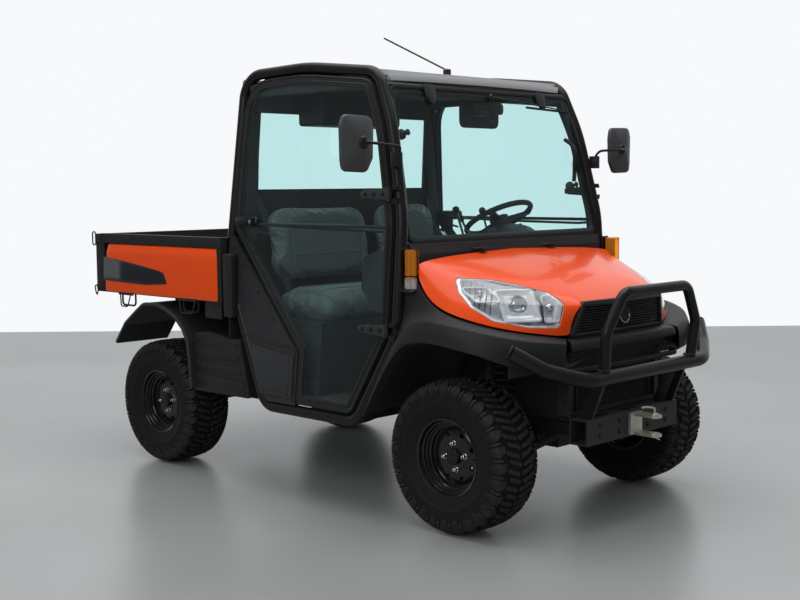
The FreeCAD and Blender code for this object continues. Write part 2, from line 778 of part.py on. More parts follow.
def make_door_frame():
    outline, bends = door_outline()
    inner_bends = [max(bend - DOOR_FRAME, DOOR_FRAME / 2) for bend in bends]
    whole = side_prism(outline, bends, 0, DOOR_DEPTH)
    hole = side_prism(inset(outline, DOOR_FRAME), inner_bends, -CUT_OVERRUN, DOOR_DEPTH + CUT_OVERRUN)
    frame = leaned(whole.cut(hole))
    bar_y = (DOOR_DEPTH + GLASS_THICKNESS) / 2
    rear = at_height(outline[3], outline[4], DOOR_BAR_Z)[0] + DOOR_FRAME / 2
    front = edge_at(outline[6:], DOOR_BAR_Z) - DOOR_FRAME / 2
    bar = leaned(rod(vec(rear, bar_y, DOOR_BAR_Z), vec(front, bar_y, DOOR_BAR_Z), DOOR_BAR_DIAMETER))
    return joined([frame, bar, door_handle()] + hinge_knuckles(False))


def door_handle():
    """The latch housing and pull at the door's rear edge"""
    x0 = handle_rear()
    x1 = x0 + HANDLE_LENGTH
    z1 = HANDLE_Z + HANDLE_HEIGHT
    outline = [(x0, HANDLE_Z), (x1, HANDLE_Z), (x1, z1), (x0, z1)]
    return leaned(side_prism(outline, HANDLE_HEIGHT / 4, -HANDLE_DEPTH, DOOR_DEPTH))


def handle_rear():
    return ring_rear_line(HANDLE_Z)[0] + HANDLE_INSET


def make_door_glass():
    outline, bends = door_outline()
    pane_outline = inset(outline, DOOR_FRAME + SEAT_GAP)
    pane_bends = [max(bend - DOOR_FRAME, DOOR_FRAME / 2) for bend in bends]
    pane = side_prism(pane_outline, pane_bends, 0, GLASS_THICKNESS)
    x0 = handle_rear() - SEAT_GAP
    x1 = x0 + HANDLE_LENGTH + SEAT_GAP * 2
    notch = block(x0, x1, -CUT_OVERRUN, CUT_OVERRUN, HANDLE_Z - SEAT_GAP, HANDLE_Z + HANDLE_HEIGHT + SEAT_GAP)
    return leaned(pane.cut(notch))


def make_side_panels():
    """The fixed corner panels below the doors' rear slopes"""
    edge = inset(ring_outline(), CAB_TUBE / 2 + SEAT_GAP)
    door, _ = door_outline()
    rear = ahead(DOOR_REAR) - RUNNING_GAP
    top = at_height(edge[2], edge[3], DOOR_BACK_Z - DOOR_INSET)
    slope = math.hypot(door[3][0] - door[2][0], door[3][1] - door[2][1]) / (door[3][1] - door[2][1])
    lift = RUNNING_GAP * slope
    outline = [(rear, edge[0][1]), (rear, DOOR_STEP_Z - lift / 2), (top[0], top[1] - lift), edge[2], edge[1]]
    within = side_prism(edge, ring_bends(-CAB_TUBE / 2 - SEAT_GAP), 0, DOOR_DEPTH)
    panel = side_prism(outline, [0, DOOR_STEP_BEND, 0, 0, 0], SEAT_GAP, DOOR_DEPTH)
    return pair(leaned(panel.common(within)))


# Roof, windshield and rear wall


def roof_line(x):
    """Height of the ring's centre line above the doors"""
    outline = ring_outline()
    for low, high in ((outline[3], outline[4]), (outline[4], outline[5])):
        if x <= high[0]:
            break
    share = (x - low[0]) / (high[0] - low[0])
    height = low[1] + (high[1] - low[1]) * share
    return side_place(x, height, CAB_TUBE / 2).z


def make_roof():
    stations = [ahead(ROOF_REAR), ring_outline()[4][0], ahead(ROOF_FRONT)]
    lower = [(x, roof_line(x) - ROOF_THICKNESS / 2) for x in stations]
    upper = [(x, z + ROOF_THICKNESS) for x, z in reversed(lower)]
    sheet = side_prism(lower + upper, 0, -SILL_HALF_WIDTH, SILL_HALF_WIDTH)
    roof = sheet.common(cab_core(CAB_TUBE + SEAT_GAP))
    return joined([roof] + antenna())


def antenna():
    """The aerial's foot and its whip, which lies back over the roof"""
    foot = vec(ahead(ANTENNA_STATION), ANTENNA_Y, roof_line(ahead(ANTENNA_STATION)))
    top = foot + vec(0, 0, ROOF_THICKNESS / 2 + ANTENNA_BASE_HEIGHT)
    tip = top + vec(-ANTENNA_RUN, 0, ANTENNA_RISE)
    return [rod(foot, top, ANTENNA_BASE_DIAMETER), rod(top - vec(0, 0, ANTENNA_ROD_DIAMETER), tip, ANTENNA_ROD_DIAMETER)]


def shield_slope():
    return math.atan2(SHIELD_BASE - SHIELD_TOP, SHIELD_TOP_Z - SHIELD_BASE_Z)


def make_windshield():
    """The flat pane, with its sides on the pillars and its foot on the cowl"""
    length = math.hypot(SHIELD_BASE - SHIELD_TOP, SHIELD_TOP_Z - SHIELD_BASE_Z)
    base_y = side_y(SHIELD_BASE_Z, CAB_TUBE + SEAT_GAP)
    top_y = side_y(SHIELD_TOP_Z, CAB_TUBE + SEAT_GAP)
    pane = front_prism([(-base_y, 0), (base_y, 0), (top_y, length), (-top_y, length)], SHIELD_BEND, 0, GLASS_THICKNESS)
    pane.rotate(vec(0, 0, 0), vec(0, 1, 0), -math.degrees(shield_slope()))
    pane.translate(vec(ahead(SHIELD_BASE), 0, SHIELD_BASE_Z))
    return pane


def rear_wall_sheet(depth, thickness):
    """A sheet across the cab along the rear pillars' centre line, from the floor to the roof"""
    outline = ring_outline()
    top = at_height(outline[2], outline[3], roof_line(ahead(ROOF_REAR)) - CAB_TUBE * 1.6)
    low = at_height(outline[1], outline[2], FLOOR_Z + FLOOR_THICKNESS + SEAT_GAP)
    knee = outline[2]
    front = [(x + thickness, z) for x, z in (low, knee, top)]
    back = [top, knee, low]
    sheet = side_prism(front + back, 0, -SILL_HALF_WIDTH, SILL_HALF_WIDTH)
    sheet.translate(vec(depth, 0, 0))
    return sheet.common(cab_core(CAB_TUBE + SEAT_GAP))


def rear_window_cutter(grow):
    half = side_y(REAR_WINDOW_TOP_Z, CAB_TUBE) - REAR_WINDOW_BORDER + grow
    x0 = ahead(RING_REAR - CUT_OVERRUN)
    x1 = ahead(ROOF_REAR + CUT_OVERRUN)
    return block(x0, x1, -half, half, REAR_WINDOW_BASE_Z - grow, REAR_WINDOW_TOP_Z + grow)


def make_rear_wall():
    wall = rear_wall_sheet(CAB_TUBE / 2 + SEAT_GAP, REAR_WALL_THICKNESS)
    return wall.cut(rear_window_cutter(0))


def make_rear_window():
    pane = rear_wall_sheet(CAB_TUBE / 2 + SEAT_GAP, GLASS_THICKNESS)
    return pane.common(rear_window_cutter(-SEAT_GAP))


# Floor, seats and dash


def fire_wall_face():
    """X of the rear face of the wall below the windshield"""
    return ahead(RING_FRONT) - CAB_TUBE - FLOOR_THICKNESS


def make_cab_floor():
    """The floor pan, the sloping toe board and the wall below the windshield, bent from one sheet"""
    outline = ring_outline()
    rear = at_height(outline[1], outline[2], FLOOR_Z)[0] + CAB_TUBE / 2
    top = fire_wall_face() + FLOOR_THICKNESS
    toe = top - TOE_BOARD_RUN
    thick = FLOOR_THICKNESS
    wall_top = SHIELD_BASE_Z - COWL_HEIGHT
    line = [
        (rear, FLOOR_Z), (toe, FLOOR_Z), (top, FLOOR_Z + TOE_BOARD_RISE), (top, wall_top),
        (top - thick, wall_top), (top - thick, FLOOR_Z + TOE_BOARD_RISE + thick / 2),
        (toe - thick / 2, FLOOR_Z + thick), (rear, FLOOR_Z + thick),
    ]
    sheet = side_prism(line, 0, -SILL_HALF_WIDTH, SILL_HALF_WIDTH)
    return sheet.common(cab_core(CAB_TUBE + RUNNING_GAP))


def rear_wall_front(z):
    """X of the rear wall's front face at a height"""
    pillar = list(reversed(ring_outline()[1:4]))
    return edge_at(pillar, z) + CAB_TUBE / 2 + SEAT_GAP + REAR_WALL_THICKNESS


def cushion_front():
    base = FLOOR_Z + FLOOR_THICKNESS + SEAT_BOX_HEIGHT
    return rear_wall_front(base) + RUNNING_GAP + CUSHION_LENGTH


def make_seat_base():
    """The box under the seats, sloped behind to follow the rear wall"""
    base = FLOOR_Z + FLOOR_THICKNESS + SEAT_GAP
    low = rear_wall_front(base) + RUNNING_GAP * 2
    top = rear_wall_front(base + SEAT_BOX_HEIGHT) + RUNNING_GAP * 2
    front = cushion_front() - CUSHION_THICKNESS / 4
    shape = [(low, base), (front, base), (front, base + SEAT_BOX_HEIGHT), (top, base + SEAT_BOX_HEIGHT)]
    sheet = side_prism(shape, 0, -SILL_HALF_WIDTH, SILL_HALF_WIDTH)
    return sheet.common(cab_core(CAB_TUBE * 2))


def seat_spans():
    """The passenger's and the driver's place, as (y0, y1)"""
    half = SEAT_SPACING / 2
    return [
        (-SILL_HALF_WIDTH + PASSENGER_SIDE_ROOM, SEAT_SPLIT_Y - half),
        (SEAT_SPLIT_Y + half, SILL_HALF_WIDTH - DRIVER_SIDE_ROOM),
    ]


def make_seat_cushions():
    base = FLOOR_Z + FLOOR_THICKNESS + SEAT_BOX_HEIGHT + SEAT_GAP * 2
    top = base + CUSHION_THICKNESS
    x1 = cushion_front()
    cushions = []
    for y0, y1 in seat_spans():
        outline = [(x1 - CUSHION_LENGTH, base), (x1, base), (x1, top), (x1 - CUSHION_LENGTH, top)]
        cushions.append(side_prism(outline, SOFT_FILLET, y0, y1))
    return cushions


def make_seat_backs():
    base = FLOOR_Z + FLOOR_THICKNESS + SEAT_BOX_HEIGHT + CUSHION_THICKNESS + SEAT_GAP * 3
    x0 = max(rear_wall_front(base), rear_wall_front(base + BACK_HEIGHT) + BACK_RECLINE) + BACK_GAP
    outline = [
        (x0, base), (x0 + BACK_THICKNESS, base),
        (x0 + BACK_THICKNESS - BACK_RECLINE, base + BACK_HEIGHT), (x0 - BACK_RECLINE, base + BACK_HEIGHT),
    ]
    backs = []
    for y0, y1 in seat_spans():
        backs.append(side_prism(outline, SOFT_FILLET, y0, y1))
    return backs


def dash_cover():
    base = FLOOR_Z + TOE_BOARD_RISE + FLOOR_THICKNESS
    outline = in_box(DASH_TOP_SHARES, ahead(DASH_REAR), DASH_LENGTH, base, DASH_TOP_Z - base)
    return side_prism(outline, SOFT_FILLET, -DASH_HALF_WIDTH, DASH_HALF_WIDTH)


def steering_axis():
    """The steering shaft's direction, up and back towards the driver"""
    tilt = math.radians(STEERING_TILT_DEGREES)
    return vec(-math.sin(tilt), 0, math.cos(tilt))


def steering_centre():
    y0, y1 = seat_spans()[1]
    return vec(ahead(STEERING_WHEEL_STATION), (y0 + y1) / 2 + WHEEL_OFFSET, STEERING_WHEEL_Z)


def make_dashboard():
    """The dash moulding with the steering column and the control levers"""
    hub = steering_centre() - steering_axis() * (STEERING_HUB_HEIGHT + SEAT_GAP)
    foot = hub - steering_axis() * (STEERING_WHEEL_DIAMETER / 2)
    column = rod(foot, hub, COLUMN_DIAMETER)
    root = vec(foot.x, foot.y - STEERING_WHEEL_DIAMETER / 2, DASH_TOP_Z - LEVER_KNOB_DIAMETER)
    lever_top = root + vec(-COLUMN_DIAMETER, 0, STEERING_WHEEL_DIAMETER / 2)
    lever = rod(root, lever_top, LEVER_DIAMETER)
    knob = Part.makeSphere(LEVER_KNOB_DIAMETER / 2, lever_top)
    return joined([dash_cover(), column, lever, knob])


def make_steering_wheel():
    centre = steering_centre()
    axis = steering_axis()
    radius = (STEERING_WHEEL_DIAMETER - STEERING_RIM_DIAMETER) / 2
    rim = Part.makeTorus(radius, STEERING_RIM_DIAMETER / 2, centre, axis)
    hub = rod(centre - axis * STEERING_HUB_HEIGHT, centre, STEERING_HUB_DIAMETER)
    pieces = [rim, hub]
    for turn in range(3):
        spoke = block(
            0, radius, -STEERING_SPOKE_WIDTH / 2, STEERING_SPOKE_WIDTH / 2,
            -STEERING_SPOKE_THICKNESS / 2, STEERING_SPOKE_THICKNESS / 2)
        spoke.rotate(vec(0, 0, 0), vec(0, 0, 1), 60 + turn * 120)
        spoke.rotate(vec(0, 0, 0), vec(0, 1, 0), -STEERING_TILT_DEGREES)
        spoke.translate(centre - axis * STEERING_RIM_DIAMETER / 2)
        pieces.append(spoke)
    return joined(pieces)


# Cowl, hood, grille and headlamps


def hood_pivot_place(y):
    """The hood's hinge line, above and behind all of it"""
    return vec(ahead(HOOD_REAR) - RUNNING_GAP / 2, y, HOOD_TOP_Z + RUNNING_GAP)


def hood_hinge_rod(y0, y1, diameter):
    return rod(hood_pivot_place(y0), hood_pivot_place(y1), diameter)


def hood_hinge_spans(side):
    """The barrel's span on one side of the vehicle, and the spans of the ears beside it"""
    y0 = side * HOOD_HINGE_Y - HOOD_HINGE_LENGTH / 2
    y1 = y0 + HOOD_HINGE_LENGTH
    ear = HOOD_HINGE_LENGTH / 2
    return (y0, y1), [(y0 - SEAT_GAP - ear, y0 - SEAT_GAP), (y1 + SEAT_GAP, y1 + SEAT_GAP + ear)]


def hood_hinge_ears(side):
    """The cowl's two ears and their pin at one hinge"""
    _, ears = hood_hinge_spans(side)
    axis = hood_pivot_place(0)
    radius = HOOD_HINGE_DIAMETER / 2
    pieces = [hood_hinge_rod(ears[0][0], ears[1][1], HOOD_HINGE_PIN_DIAMETER)]
    for y0, y1 in ears:
        pieces.append(hood_hinge_rod(y0, y1, HOOD_HINGE_DIAMETER))
        pieces.append(block(axis.x - HOOD_HINGE_DIAMETER, axis.x, y0, y1, axis.z - radius, axis.z + radius))
    return pieces


def hood_hinge_lug(side):
    """The hood's barrel round the pin, with the lug that carries it"""
    (y0, y1), _ = hood_hinge_spans(side)
    axis = hood_pivot_place(0)
    barrel = hood_hinge_rod(y0, y1, HOOD_HINGE_DIAMETER)
    rear = axis.x + RUNNING_GAP / 2
    top = axis.z + HOOD_HINGE_DIAMETER / 4
    lug = block(rear, rear + HOOD_HINGE_REACH, y0, y1, HOOD_TOP_Z - HOOD_WALL, top)
    return [barrel, lug]


def make_cowl():
    """The panel between the hood and the windshield"""
    rear = fire_wall_face()
    base = SHIELD_BASE_Z - COWL_HEIGHT + SEAT_GAP
    front = ahead(HOOD_REAR) - RUNNING_GAP
    rim_front = ahead(SHIELD_BASE) + GLASS_THICKNESS * 2
    outline = [
        (rear, base), (front, base), (front, HOOD_TOP_Z), (rim_front, SHIELD_BASE_Z - SEAT_GAP),
        (rear, SHIELD_BASE_Z - SEAT_GAP),
    ]
    half = side_y(SHIELD_BASE_Z, CAB_TUBE + SEAT_GAP)
    cowl = side_prism(outline, 0, -half, half)
    ears = []
    for side in (-1, 1):
        _, spans = hood_hinge_spans(side)
        cowl = cowl.cut(hood_hinge_rod(spans[0][1], spans[1][0], HOOD_HINGE_DIAMETER + RUNNING_GAP))
        ears += hood_hinge_ears(side)
    return joined([cowl] + ears)


def hood_plan(distance):
    """The hood's outline seen from above, moved inward by a distance"""
    half = [(ahead(HOOD_REAR) + along * (HOOD_FRONT - HOOD_REAR), across * HOOD_HALF_WIDTH)
            for along, across in HOOD_PLAN_SHARES]
    near = [(x, -y) for x, y in half]
    outline = near + list(reversed(half))
    return inset(outline, distance) if distance else outline


def hood_body(distance):
    """The closed form of the hood, moved inward by a distance"""
    sections = []
    height = HOOD_TOP_Z - HOOD_BASE_Z
    low = HOOD_BASE_Z - CUT_OVERRUN
    half = HOOD_HALF_WIDTH + CUT_OVERRUN
    for along, up in HOOD_CREST_SHARES:
        x = ahead(HOOD_REAR) + along * (HOOD_FRONT + CUT_OVERRUN - HOOD_REAR)
        top = HOOD_BASE_Z + up * height - distance
        edge = top - HOOD_SIDE_DROP * (half / HOOD_HALF_WIDTH) ** 2
        arch = Part.Arc(vec(x, -half, edge), vec(x, 0, top), vec(x, half, edge)).toShape()
        sides = Part.makePolygon([vec(x, half, edge), vec(x, half, low), vec(x, -half, low), vec(x, -half, edge)])
        sections.append(Part.Wire([arch] + sides.Edges))
    body = Part.makeLoft(sections, True, False)
    plan = plan_prism(hood_plan(distance), HOOD_FILLET * 5, low, HOOD_TOP_Z + CUT_OVERRUN)
    return body.common(plan)


def hood_hem(drop):
    """The space above the hood's lower edge, let down by a distance"""
    hem = in_box(HOOD_HEM_SHARES, ahead(HOOD_REAR), HOOD_FRONT - HOOD_REAR, HOOD_BASE_Z, HOOD_TOP_Z - HOOD_BASE_Z)
    low = [(x, z - drop) for x, z in hem]
    top = HOOD_TOP_Z + CUT_OVERRUN
    start = ahead(HOOD_REAR) - CUT_OVERRUN
    outline = [(start, low[0][1])] + low + [(low[-1][0] + CUT_OVERRUN, low[-1][1]), (low[-1][0] + CUT_OVERRUN, top)]
    return side_prism(outline + [(start, top)], 0, -FLARE_HALF_WIDTH, FLARE_HALF_WIDTH)


def lamp_window(grow, back):
    """The right-hand headlamp's outline carried out through the hood's corner, from a distance behind the lens"""
    shares = LAMP_SHARES
    along = vec(math.sin(LAMP_TURN), math.cos(LAMP_TURN), 0)
    outward = vec(math.cos(LAMP_TURN), -math.sin(LAMP_TURN), 0)
    start = vec(ahead(LAMP_STATION), -LAMP_Y, LAMP_BASE_Z) - outward * back
    flat = inset([(u * LAMP_LENGTH, v * LAMP_HEIGHT) for u, v in shares], -grow)
    points = [start + along * u + vec(0, 0, v) for u, v in flat]
    face = Part.Face(tangent_wire(points, LAMP_BEND, True))
    return face.extrude(outward * (LAMP_REACH + back))


def grille_window(grow):
    half_top = GRILLE_HALF_WIDTH + grow
    half_base = GRILLE_HALF_WIDTH + GRILLE_FLARE + grow
    outline = [
        (-half_base, GRILLE_BASE_Z - HOOD_WALL * 2), (half_base, GRILLE_BASE_Z - HOOD_WALL * 2),
        (half_top, GRILLE_TOP_Z + grow), (-half_top, GRILLE_TOP_Z + grow),
    ]
    return front_prism(outline, 0, ahead(HOOD_FRONT) - HOOD_SIDE_DROP * 3, ahead(HOOD_FRONT) + CUT_OVERRUN)


def make_hood():
    outer = hood_body(0).common(hood_hem(0))
    inner = hood_body(HOOD_WALL)
    shell = outer.cut(inner)
    for window in pair(lamp_window(0, LAMP_REACH)) + [grille_window(0)]:
        shell = shell.cut(window)
    lugs = hood_hinge_lug(-1) + hood_hinge_lug(1)
    bore = hood_hinge_rod(-HOOD_HALF_WIDTH, HOOD_HALF_WIDTH, HOOD_HINGE_PIN_DIAMETER + PIN_GAP * 2)
    return joined([shell] + lugs).cut(bore)


def make_headlamps():
    form = hood_body(0).common(hood_hem(0))
    return pair(form.common(lamp_window(-SEAT_GAP, LAMP_DEPTH)))


def make_grille():
    """Level bars in a frame that fills the hood's front window"""
    x1 = ahead(HOOD_FRONT) - HOOD_WALL / 2
    x0 = x1 - GRILLE_DEPTH
    window = grille_window(-SEAT_GAP)
    low = GRILLE_BASE_Z
    high = GRILLE_TOP_Z - SEAT_GAP
    whole = block(x0, x1, -HOOD_HALF_WIDTH, HOOD_HALF_WIDTH, low, high).common(window)
    hollow = block(x0, x1, -HOOD_HALF_WIDTH, HOOD_HALF_WIDTH, low + GRILLE_BORDER, high - GRILLE_BORDER)
    frame = whole.cut(hollow.common(grille_window(-GRILLE_BORDER)))
    backing = block(x0, x0 + GRILLE_BORDER, -HOOD_HALF_WIDTH, HOOD_HALF_WIDTH, low, high).common(window)
    pieces = [frame, backing]
    front = x1 - GRILLE_BORDER
    pitch = (high - low) / (GRILLE_SLAT_COUNT + 1)
    for index in range(GRILLE_SLAT_COUNT):
        z = low + pitch * (index + 1) - GRILLE_SLAT / 2
        slat = block(x0, front, -HOOD_HALF_WIDTH, HOOD_HALF_WIDTH, z, z + GRILLE_SLAT)
        pieces.append(slat.common(window))
    for share in GRILLE_POST_SHARES:
        y = GRILLE_HALF_WIDTH * share - GRILLE_SLAT / 2
        pieces.append(block(x0, front - GRILLE_SLAT, y, y + GRILLE_SLAT, low, high))
    middle = (low + high) / 2
    pieces.append(rod(vec(x0, 0, middle), vec(x1, 0, middle), BADGE_DIAMETER))
    return joined(pieces)


# Front skirt


def skirt_rear():
    return ahead(RING_FRONT) + CAB_TUBE / 2 + RUNNING_GAP


def skirt_plan(shares, half_width, front, rear):
    """The U of the front end seen from above"""
    half = in_box(shares, rear, front - rear, 0, half_width)
    return [(x, -y) for x, y in half] + list(reversed(half))


def skirt_arch():
    """The wheel arches as one cutter across the vehicle"""
    line = in_box(ARCH_SHARES, ahead(ARCH_REAR), ARCH_LENGTH, ARCH_BASE_Z, ARCH_HEIGHT)
    low = SKIRT_BASE_Z - CUT_OVERRUN
    outline = [(line[0][0], low)] + line[:-1] + [(line[-1][0] - ARCH_BAND, low)]
    return side_prism(outline, 0, -SILL_HALF_WIDTH - CUT_OVERRUN, SILL_HALF_WIDTH + CUT_OVERRUN)


def skirt_tab():
    """A lug on the right-hand fender's rear edge, shaped to sit against the cab's front pillar"""
    z0 = SKIRT_TAB_Z
    z1 = z0 + SKIRT_TAB_HEIGHT
    y0 = -SKIRT_HALF_WIDTH
    tab = block(ahead(RING_FRONT), skirt_rear() + SKIRT_WALL, y0, y0 + SKIRT_WALL, z0, z1)
    ends = [side_place(front_pillar_x(z), z, CAB_TUBE / 2) for z in (z0 - CAB_TUBE, z1 + CAB_TUBE)]
    return tab.cut(rod(ends[0], ends[1], CAB_TUBE + SEAT_GAP * 2))


def make_front_skirt():
    """Fender sides below the hood with a flare over each wheel, and the bumper cover between"""
    rear = skirt_rear()
    front = ahead(SKIRT_FRONT)
    bend = [0] + [SKIRT_WALL * 5] * (len(SKIRT_PLAN_SHARES) * 2 - 2) + [0]
    wall = plan_prism(skirt_plan(SKIRT_PLAN_SHARES, SKIRT_HALF_WIDTH, front, rear), bend, SKIRT_BASE_Z, HOOD_TOP_Z)
    hollow = plan_prism(
        skirt_plan(SKIRT_PLAN_SHARES, SKIRT_HALF_WIDTH - SKIRT_WALL, front - SKIRT_WALL, rear - CUT_OVERRUN), bend,
        SKIRT_BASE_Z - CUT_OVERRUN, HOOD_TOP_Z)
    wall = wall.cut(hollow).cut(hood_hem(RUNNING_GAP)).cut(grille_window(RUNNING_GAP))
    line = in_box(ARCH_SHARES, ahead(ARCH_REAR), ARCH_LENGTH, ARCH_BASE_Z, ARCH_HEIGHT)
    band = [(x, z - ARCH_BAND / 4) for x, z in line] + [(x, z + ARCH_BAND) for x, z in reversed(line)]
    form = plan_prism(skirt_plan(FLARE_PLAN_SHARES, FLARE_HALF_WIDTH, front, rear), bend, SKIRT_BASE_Z, HOOD_TOP_Z)
    flare = side_prism(band, 0, -FLARE_HALF_WIDTH, FLARE_HALF_WIDTH).common(form).cut(hollow)
    skirt = joined([wall, flare.cut(hood_hem(RUNNING_GAP))]).cut(skirt_arch())
    return joined([skirt] + pair(skirt_tab()))


# Brush guard, beam and clevis


def bumper_line():
    """The lower tube's centre line from the right end to the left"""
    half = [
        (BUMPER_FRONT, BUMPER_STRAIGHT_HALF, BUMPER_Z),
        (BUMPER_KNEE_STATION, BUMPER_KNEE_Y, BUMPER_KNEE_Z),
        (BUMPER_END_STATION, BUMPER_END_Y, BUMPER_END_Z),
    ]
    right = [vec(ahead(x), -y, z) for x, y, z in reversed(half)]
    left = [vec(ahead(x), y, z) for x, y, z in half]
    return right + left


def make_brush_guard():
    lower = tube(bumper_line(), BUMPER_TUBE, BUMPER_BEND)
    elbow_x = BUMPER_FRONT + (GUARD_ELBOW_Z - BUMPER_Z) / (GUARD_TOP_Z - BUMPER_Z) * GUARD_LEAN
    half = [
        vec(ahead(BUMPER_FRONT), GUARD_FOOT_HALF, BUMPER_Z),
        vec(ahead(elbow_x), GUARD_ELBOW_HALF, GUARD_ELBOW_Z),
        vec(ahead(BUMPER_FRONT + GUARD_LEAN), GUARD_TOP_HALF, GUARD_TOP_Z),
    ]
    line = [vec(point.x, -point.y, point.z) for point in half] + list(reversed(half))
    hoop = tube(line, GUARD_TUBE, GUARD_BEND)
    post = [
        (ahead(BEAM_FRONT - POST_WIDTH), BEAM_BASE_Z + BEAM_HEIGHT + SEAT_GAP),
        (ahead(BEAM_FRONT), BEAM_BASE_Z + BEAM_HEIGHT + SEAT_GAP),
        (ahead(BUMPER_FRONT), BUMPER_Z), (ahead(BUMPER_FRONT - POST_WIDTH / 2), BUMPER_Z),
    ]
    posts = pair(side_prism(post, 0, -GUARD_FOOT_HALF + POST_THICKNESS, -GUARD_FOOT_HALF + POST_THICKNESS * 2))
    return joined([lower, hoop] + posts)


def make_receiver_beam():
    """A box section across the rails' ends, open at its ends, with slots along its top"""
    x1 = ahead(BEAM_FRONT)
    x0 = x1 - BEAM_DEPTH
    z1 = BEAM_BASE_Z + BEAM_HEIGHT
    end = BEAM_HALF_WIDTH + CUT_OVERRUN
    beam = block(x0, x1, -BEAM_HALF_WIDTH, BEAM_HALF_WIDTH, BEAM_BASE_Z, z1)
    beam = beam.cut(block(x0 + BEAM_WALL, x1 - BEAM_WALL, -end, end, BEAM_BASE_Z + BEAM_WALL, z1 - BEAM_WALL))
    middle = (x0 + x1) / 2
    half = BEAM_SLOT_WIDTH / 2
    for share in BEAM_SLOT_SHARES:
        y0 = BEAM_HALF_WIDTH * share - BEAM_SLOT_LENGTH / 2
        y1 = y0 + BEAM_SLOT_LENGTH
        corners = [(middle - half, y0), (middle + half, y0), (middle + half, y1), (middle - half, y1)]
        beam = beam.cut(plan_prism(corners, half * 0.9, z1 - BEAM_WALL * 2, z1 + CUT_OVERRUN))
    return beam


def make_tow_clevis():
    """Two ears on a plate, with a hole for a drop pin"""
    x0 = ahead(BEAM_FRONT) + SEAT_GAP
    x1 = ahead(WHEELBASE + FRONT_OVERHANG)
    middle = BEAM_BASE_Z + BEAM_HEIGHT / 2
    low = middle - CLEVIS_HEIGHT / 2
    plate = block(x0, x0 + CLEVIS_PLATE, -CLEVIS_WIDTH / 2, CLEVIS_WIDTH / 2, low, low + CLEVIS_HEIGHT)
    half = CLEVIS_WIDTH / 3
    ear_plan = [(x0, -half), (x1, -half), (x1, half), (x0, half)]
    pieces = [plate]
    for z in (low, low + CLEVIS_HEIGHT - CLEVIS_PLATE):
        pieces.append(plan_prism(ear_plan, [0, half * 0.9, half * 0.9, 0], z, z + CLEVIS_PLATE))
    hole = rod(clevis_pin_place(low - CUT_OVERRUN), clevis_pin_place(low + CLEVIS_HEIGHT + CUT_OVERRUN),
               CLEVIS_PIN_DIAMETER)
    return joined(pieces).cut(hole)


def clevis_pin_place(z):
    return vec(ahead(WHEELBASE + FRONT_OVERHANG) - CLEVIS_WIDTH / 3, 0, z)


# Chassis frame and axles


def make_main_frame():
    """Two long rails, cross tubes, outriggers to the cab's sills and the raised rear subframe"""
    ring = ring_outline()
    sills = (ring[1][0] + CAB_TUBE, ring[0][0] - CAB_TUBE)
    x0 = ahead(RAIL_REAR)
    x1 = ahead(RAIL_FRONT)
    y0 = RAIL_HALF_SPACING - RAIL_WIDTH / 2
    y1 = RAIL_HALF_SPACING + RAIL_WIDTH / 2
    pieces = pair(block(x0, x1, y0, y1, RAIL_BASE_Z, RAIL_TOP_Z))
    middle = (RAIL_BASE_Z + RAIL_TOP_Z) / 2
    half = SUBFRAME_TUBE / 2
    ends = (
        x0 + SUBFRAME_TUBE, REAR_AXLE_X + TRANSAXLE_LENGTH / 2 + half + RUNNING_GAP,
        FRONT_AXLE_X + DIFFERENTIAL_LENGTH / 2 + SUBFRAME_TUBE,
    )
    for x in ends + sills:
        pieces.append(rod(vec(x, -y1, middle), vec(x, y1, middle), SUBFRAME_TUBE))
    for x in sills:
        reach = side_y(RING_BASE_Z, CAB_TUBE + SEAT_GAP)
        for piece in pair(block(x - half, x + half, y1 - half, reach, RING_BASE_Z - half / 2, RING_BASE_Z + half / 2)):
            pieces.append(piece)
    pieces += subframe()
    pieces += towers()
    pieces.append(drawbar())
    return joined(pieces)


def subframe():
    """The raised frame that the bed rests on, with the ears of its tilt hinge"""
    x0 = ahead(BED_PIVOT_STATION)
    x1 = ahead(SUBFRAME_FRONT)
    z1 = SUBFRAME_TOP_Z
    z0 = z1 - SUBFRAME_TUBE
    y0 = SUBFRAME_HALF_SPACING - SUBFRAME_TUBE
    y1 = SUBFRAME_HALF_SPACING
    pieces = pair(block(x0, x1, y0, y1, z0, z1))
    for x in (x0 + SUBFRAME_TUBE * 2, x1 - SUBFRAME_TUBE):
        pieces.append(block(x, x + SUBFRAME_TUBE, -y1, y1, z0, z1))
        for leg in pair(block(x, x + SUBFRAME_TUBE, y0, y1, RAIL_BASE_Z, z1)):
            pieces.append(leg)
        link = block(x, x + SUBFRAME_TUBE, RAIL_HALF_SPACING, y1, RAIL_BASE_Z, RAIL_TOP_Z)
        pieces += pair(link)
    x = ahead(FENDER_REAR) + FENDER_LENGTH / 2
    pieces += pair(block(x - SUBFRAME_TUBE, x, y0, FENDER_INNER_HALF_WIDTH - SEAT_GAP, z0, z1))
    for pin in pair(rod(bed_pivot_place(y0), bed_pivot_place(BED_PIVOT_Y + BED_LUG_THICKNESS), BED_PIVOT_DIAMETER)):
        pieces.append(pin)
    return pieces + lift_foot()


def bed_pivot_place(y):
    return vec(ahead(BED_PIVOT_STATION), y, BED_PIVOT_Z)


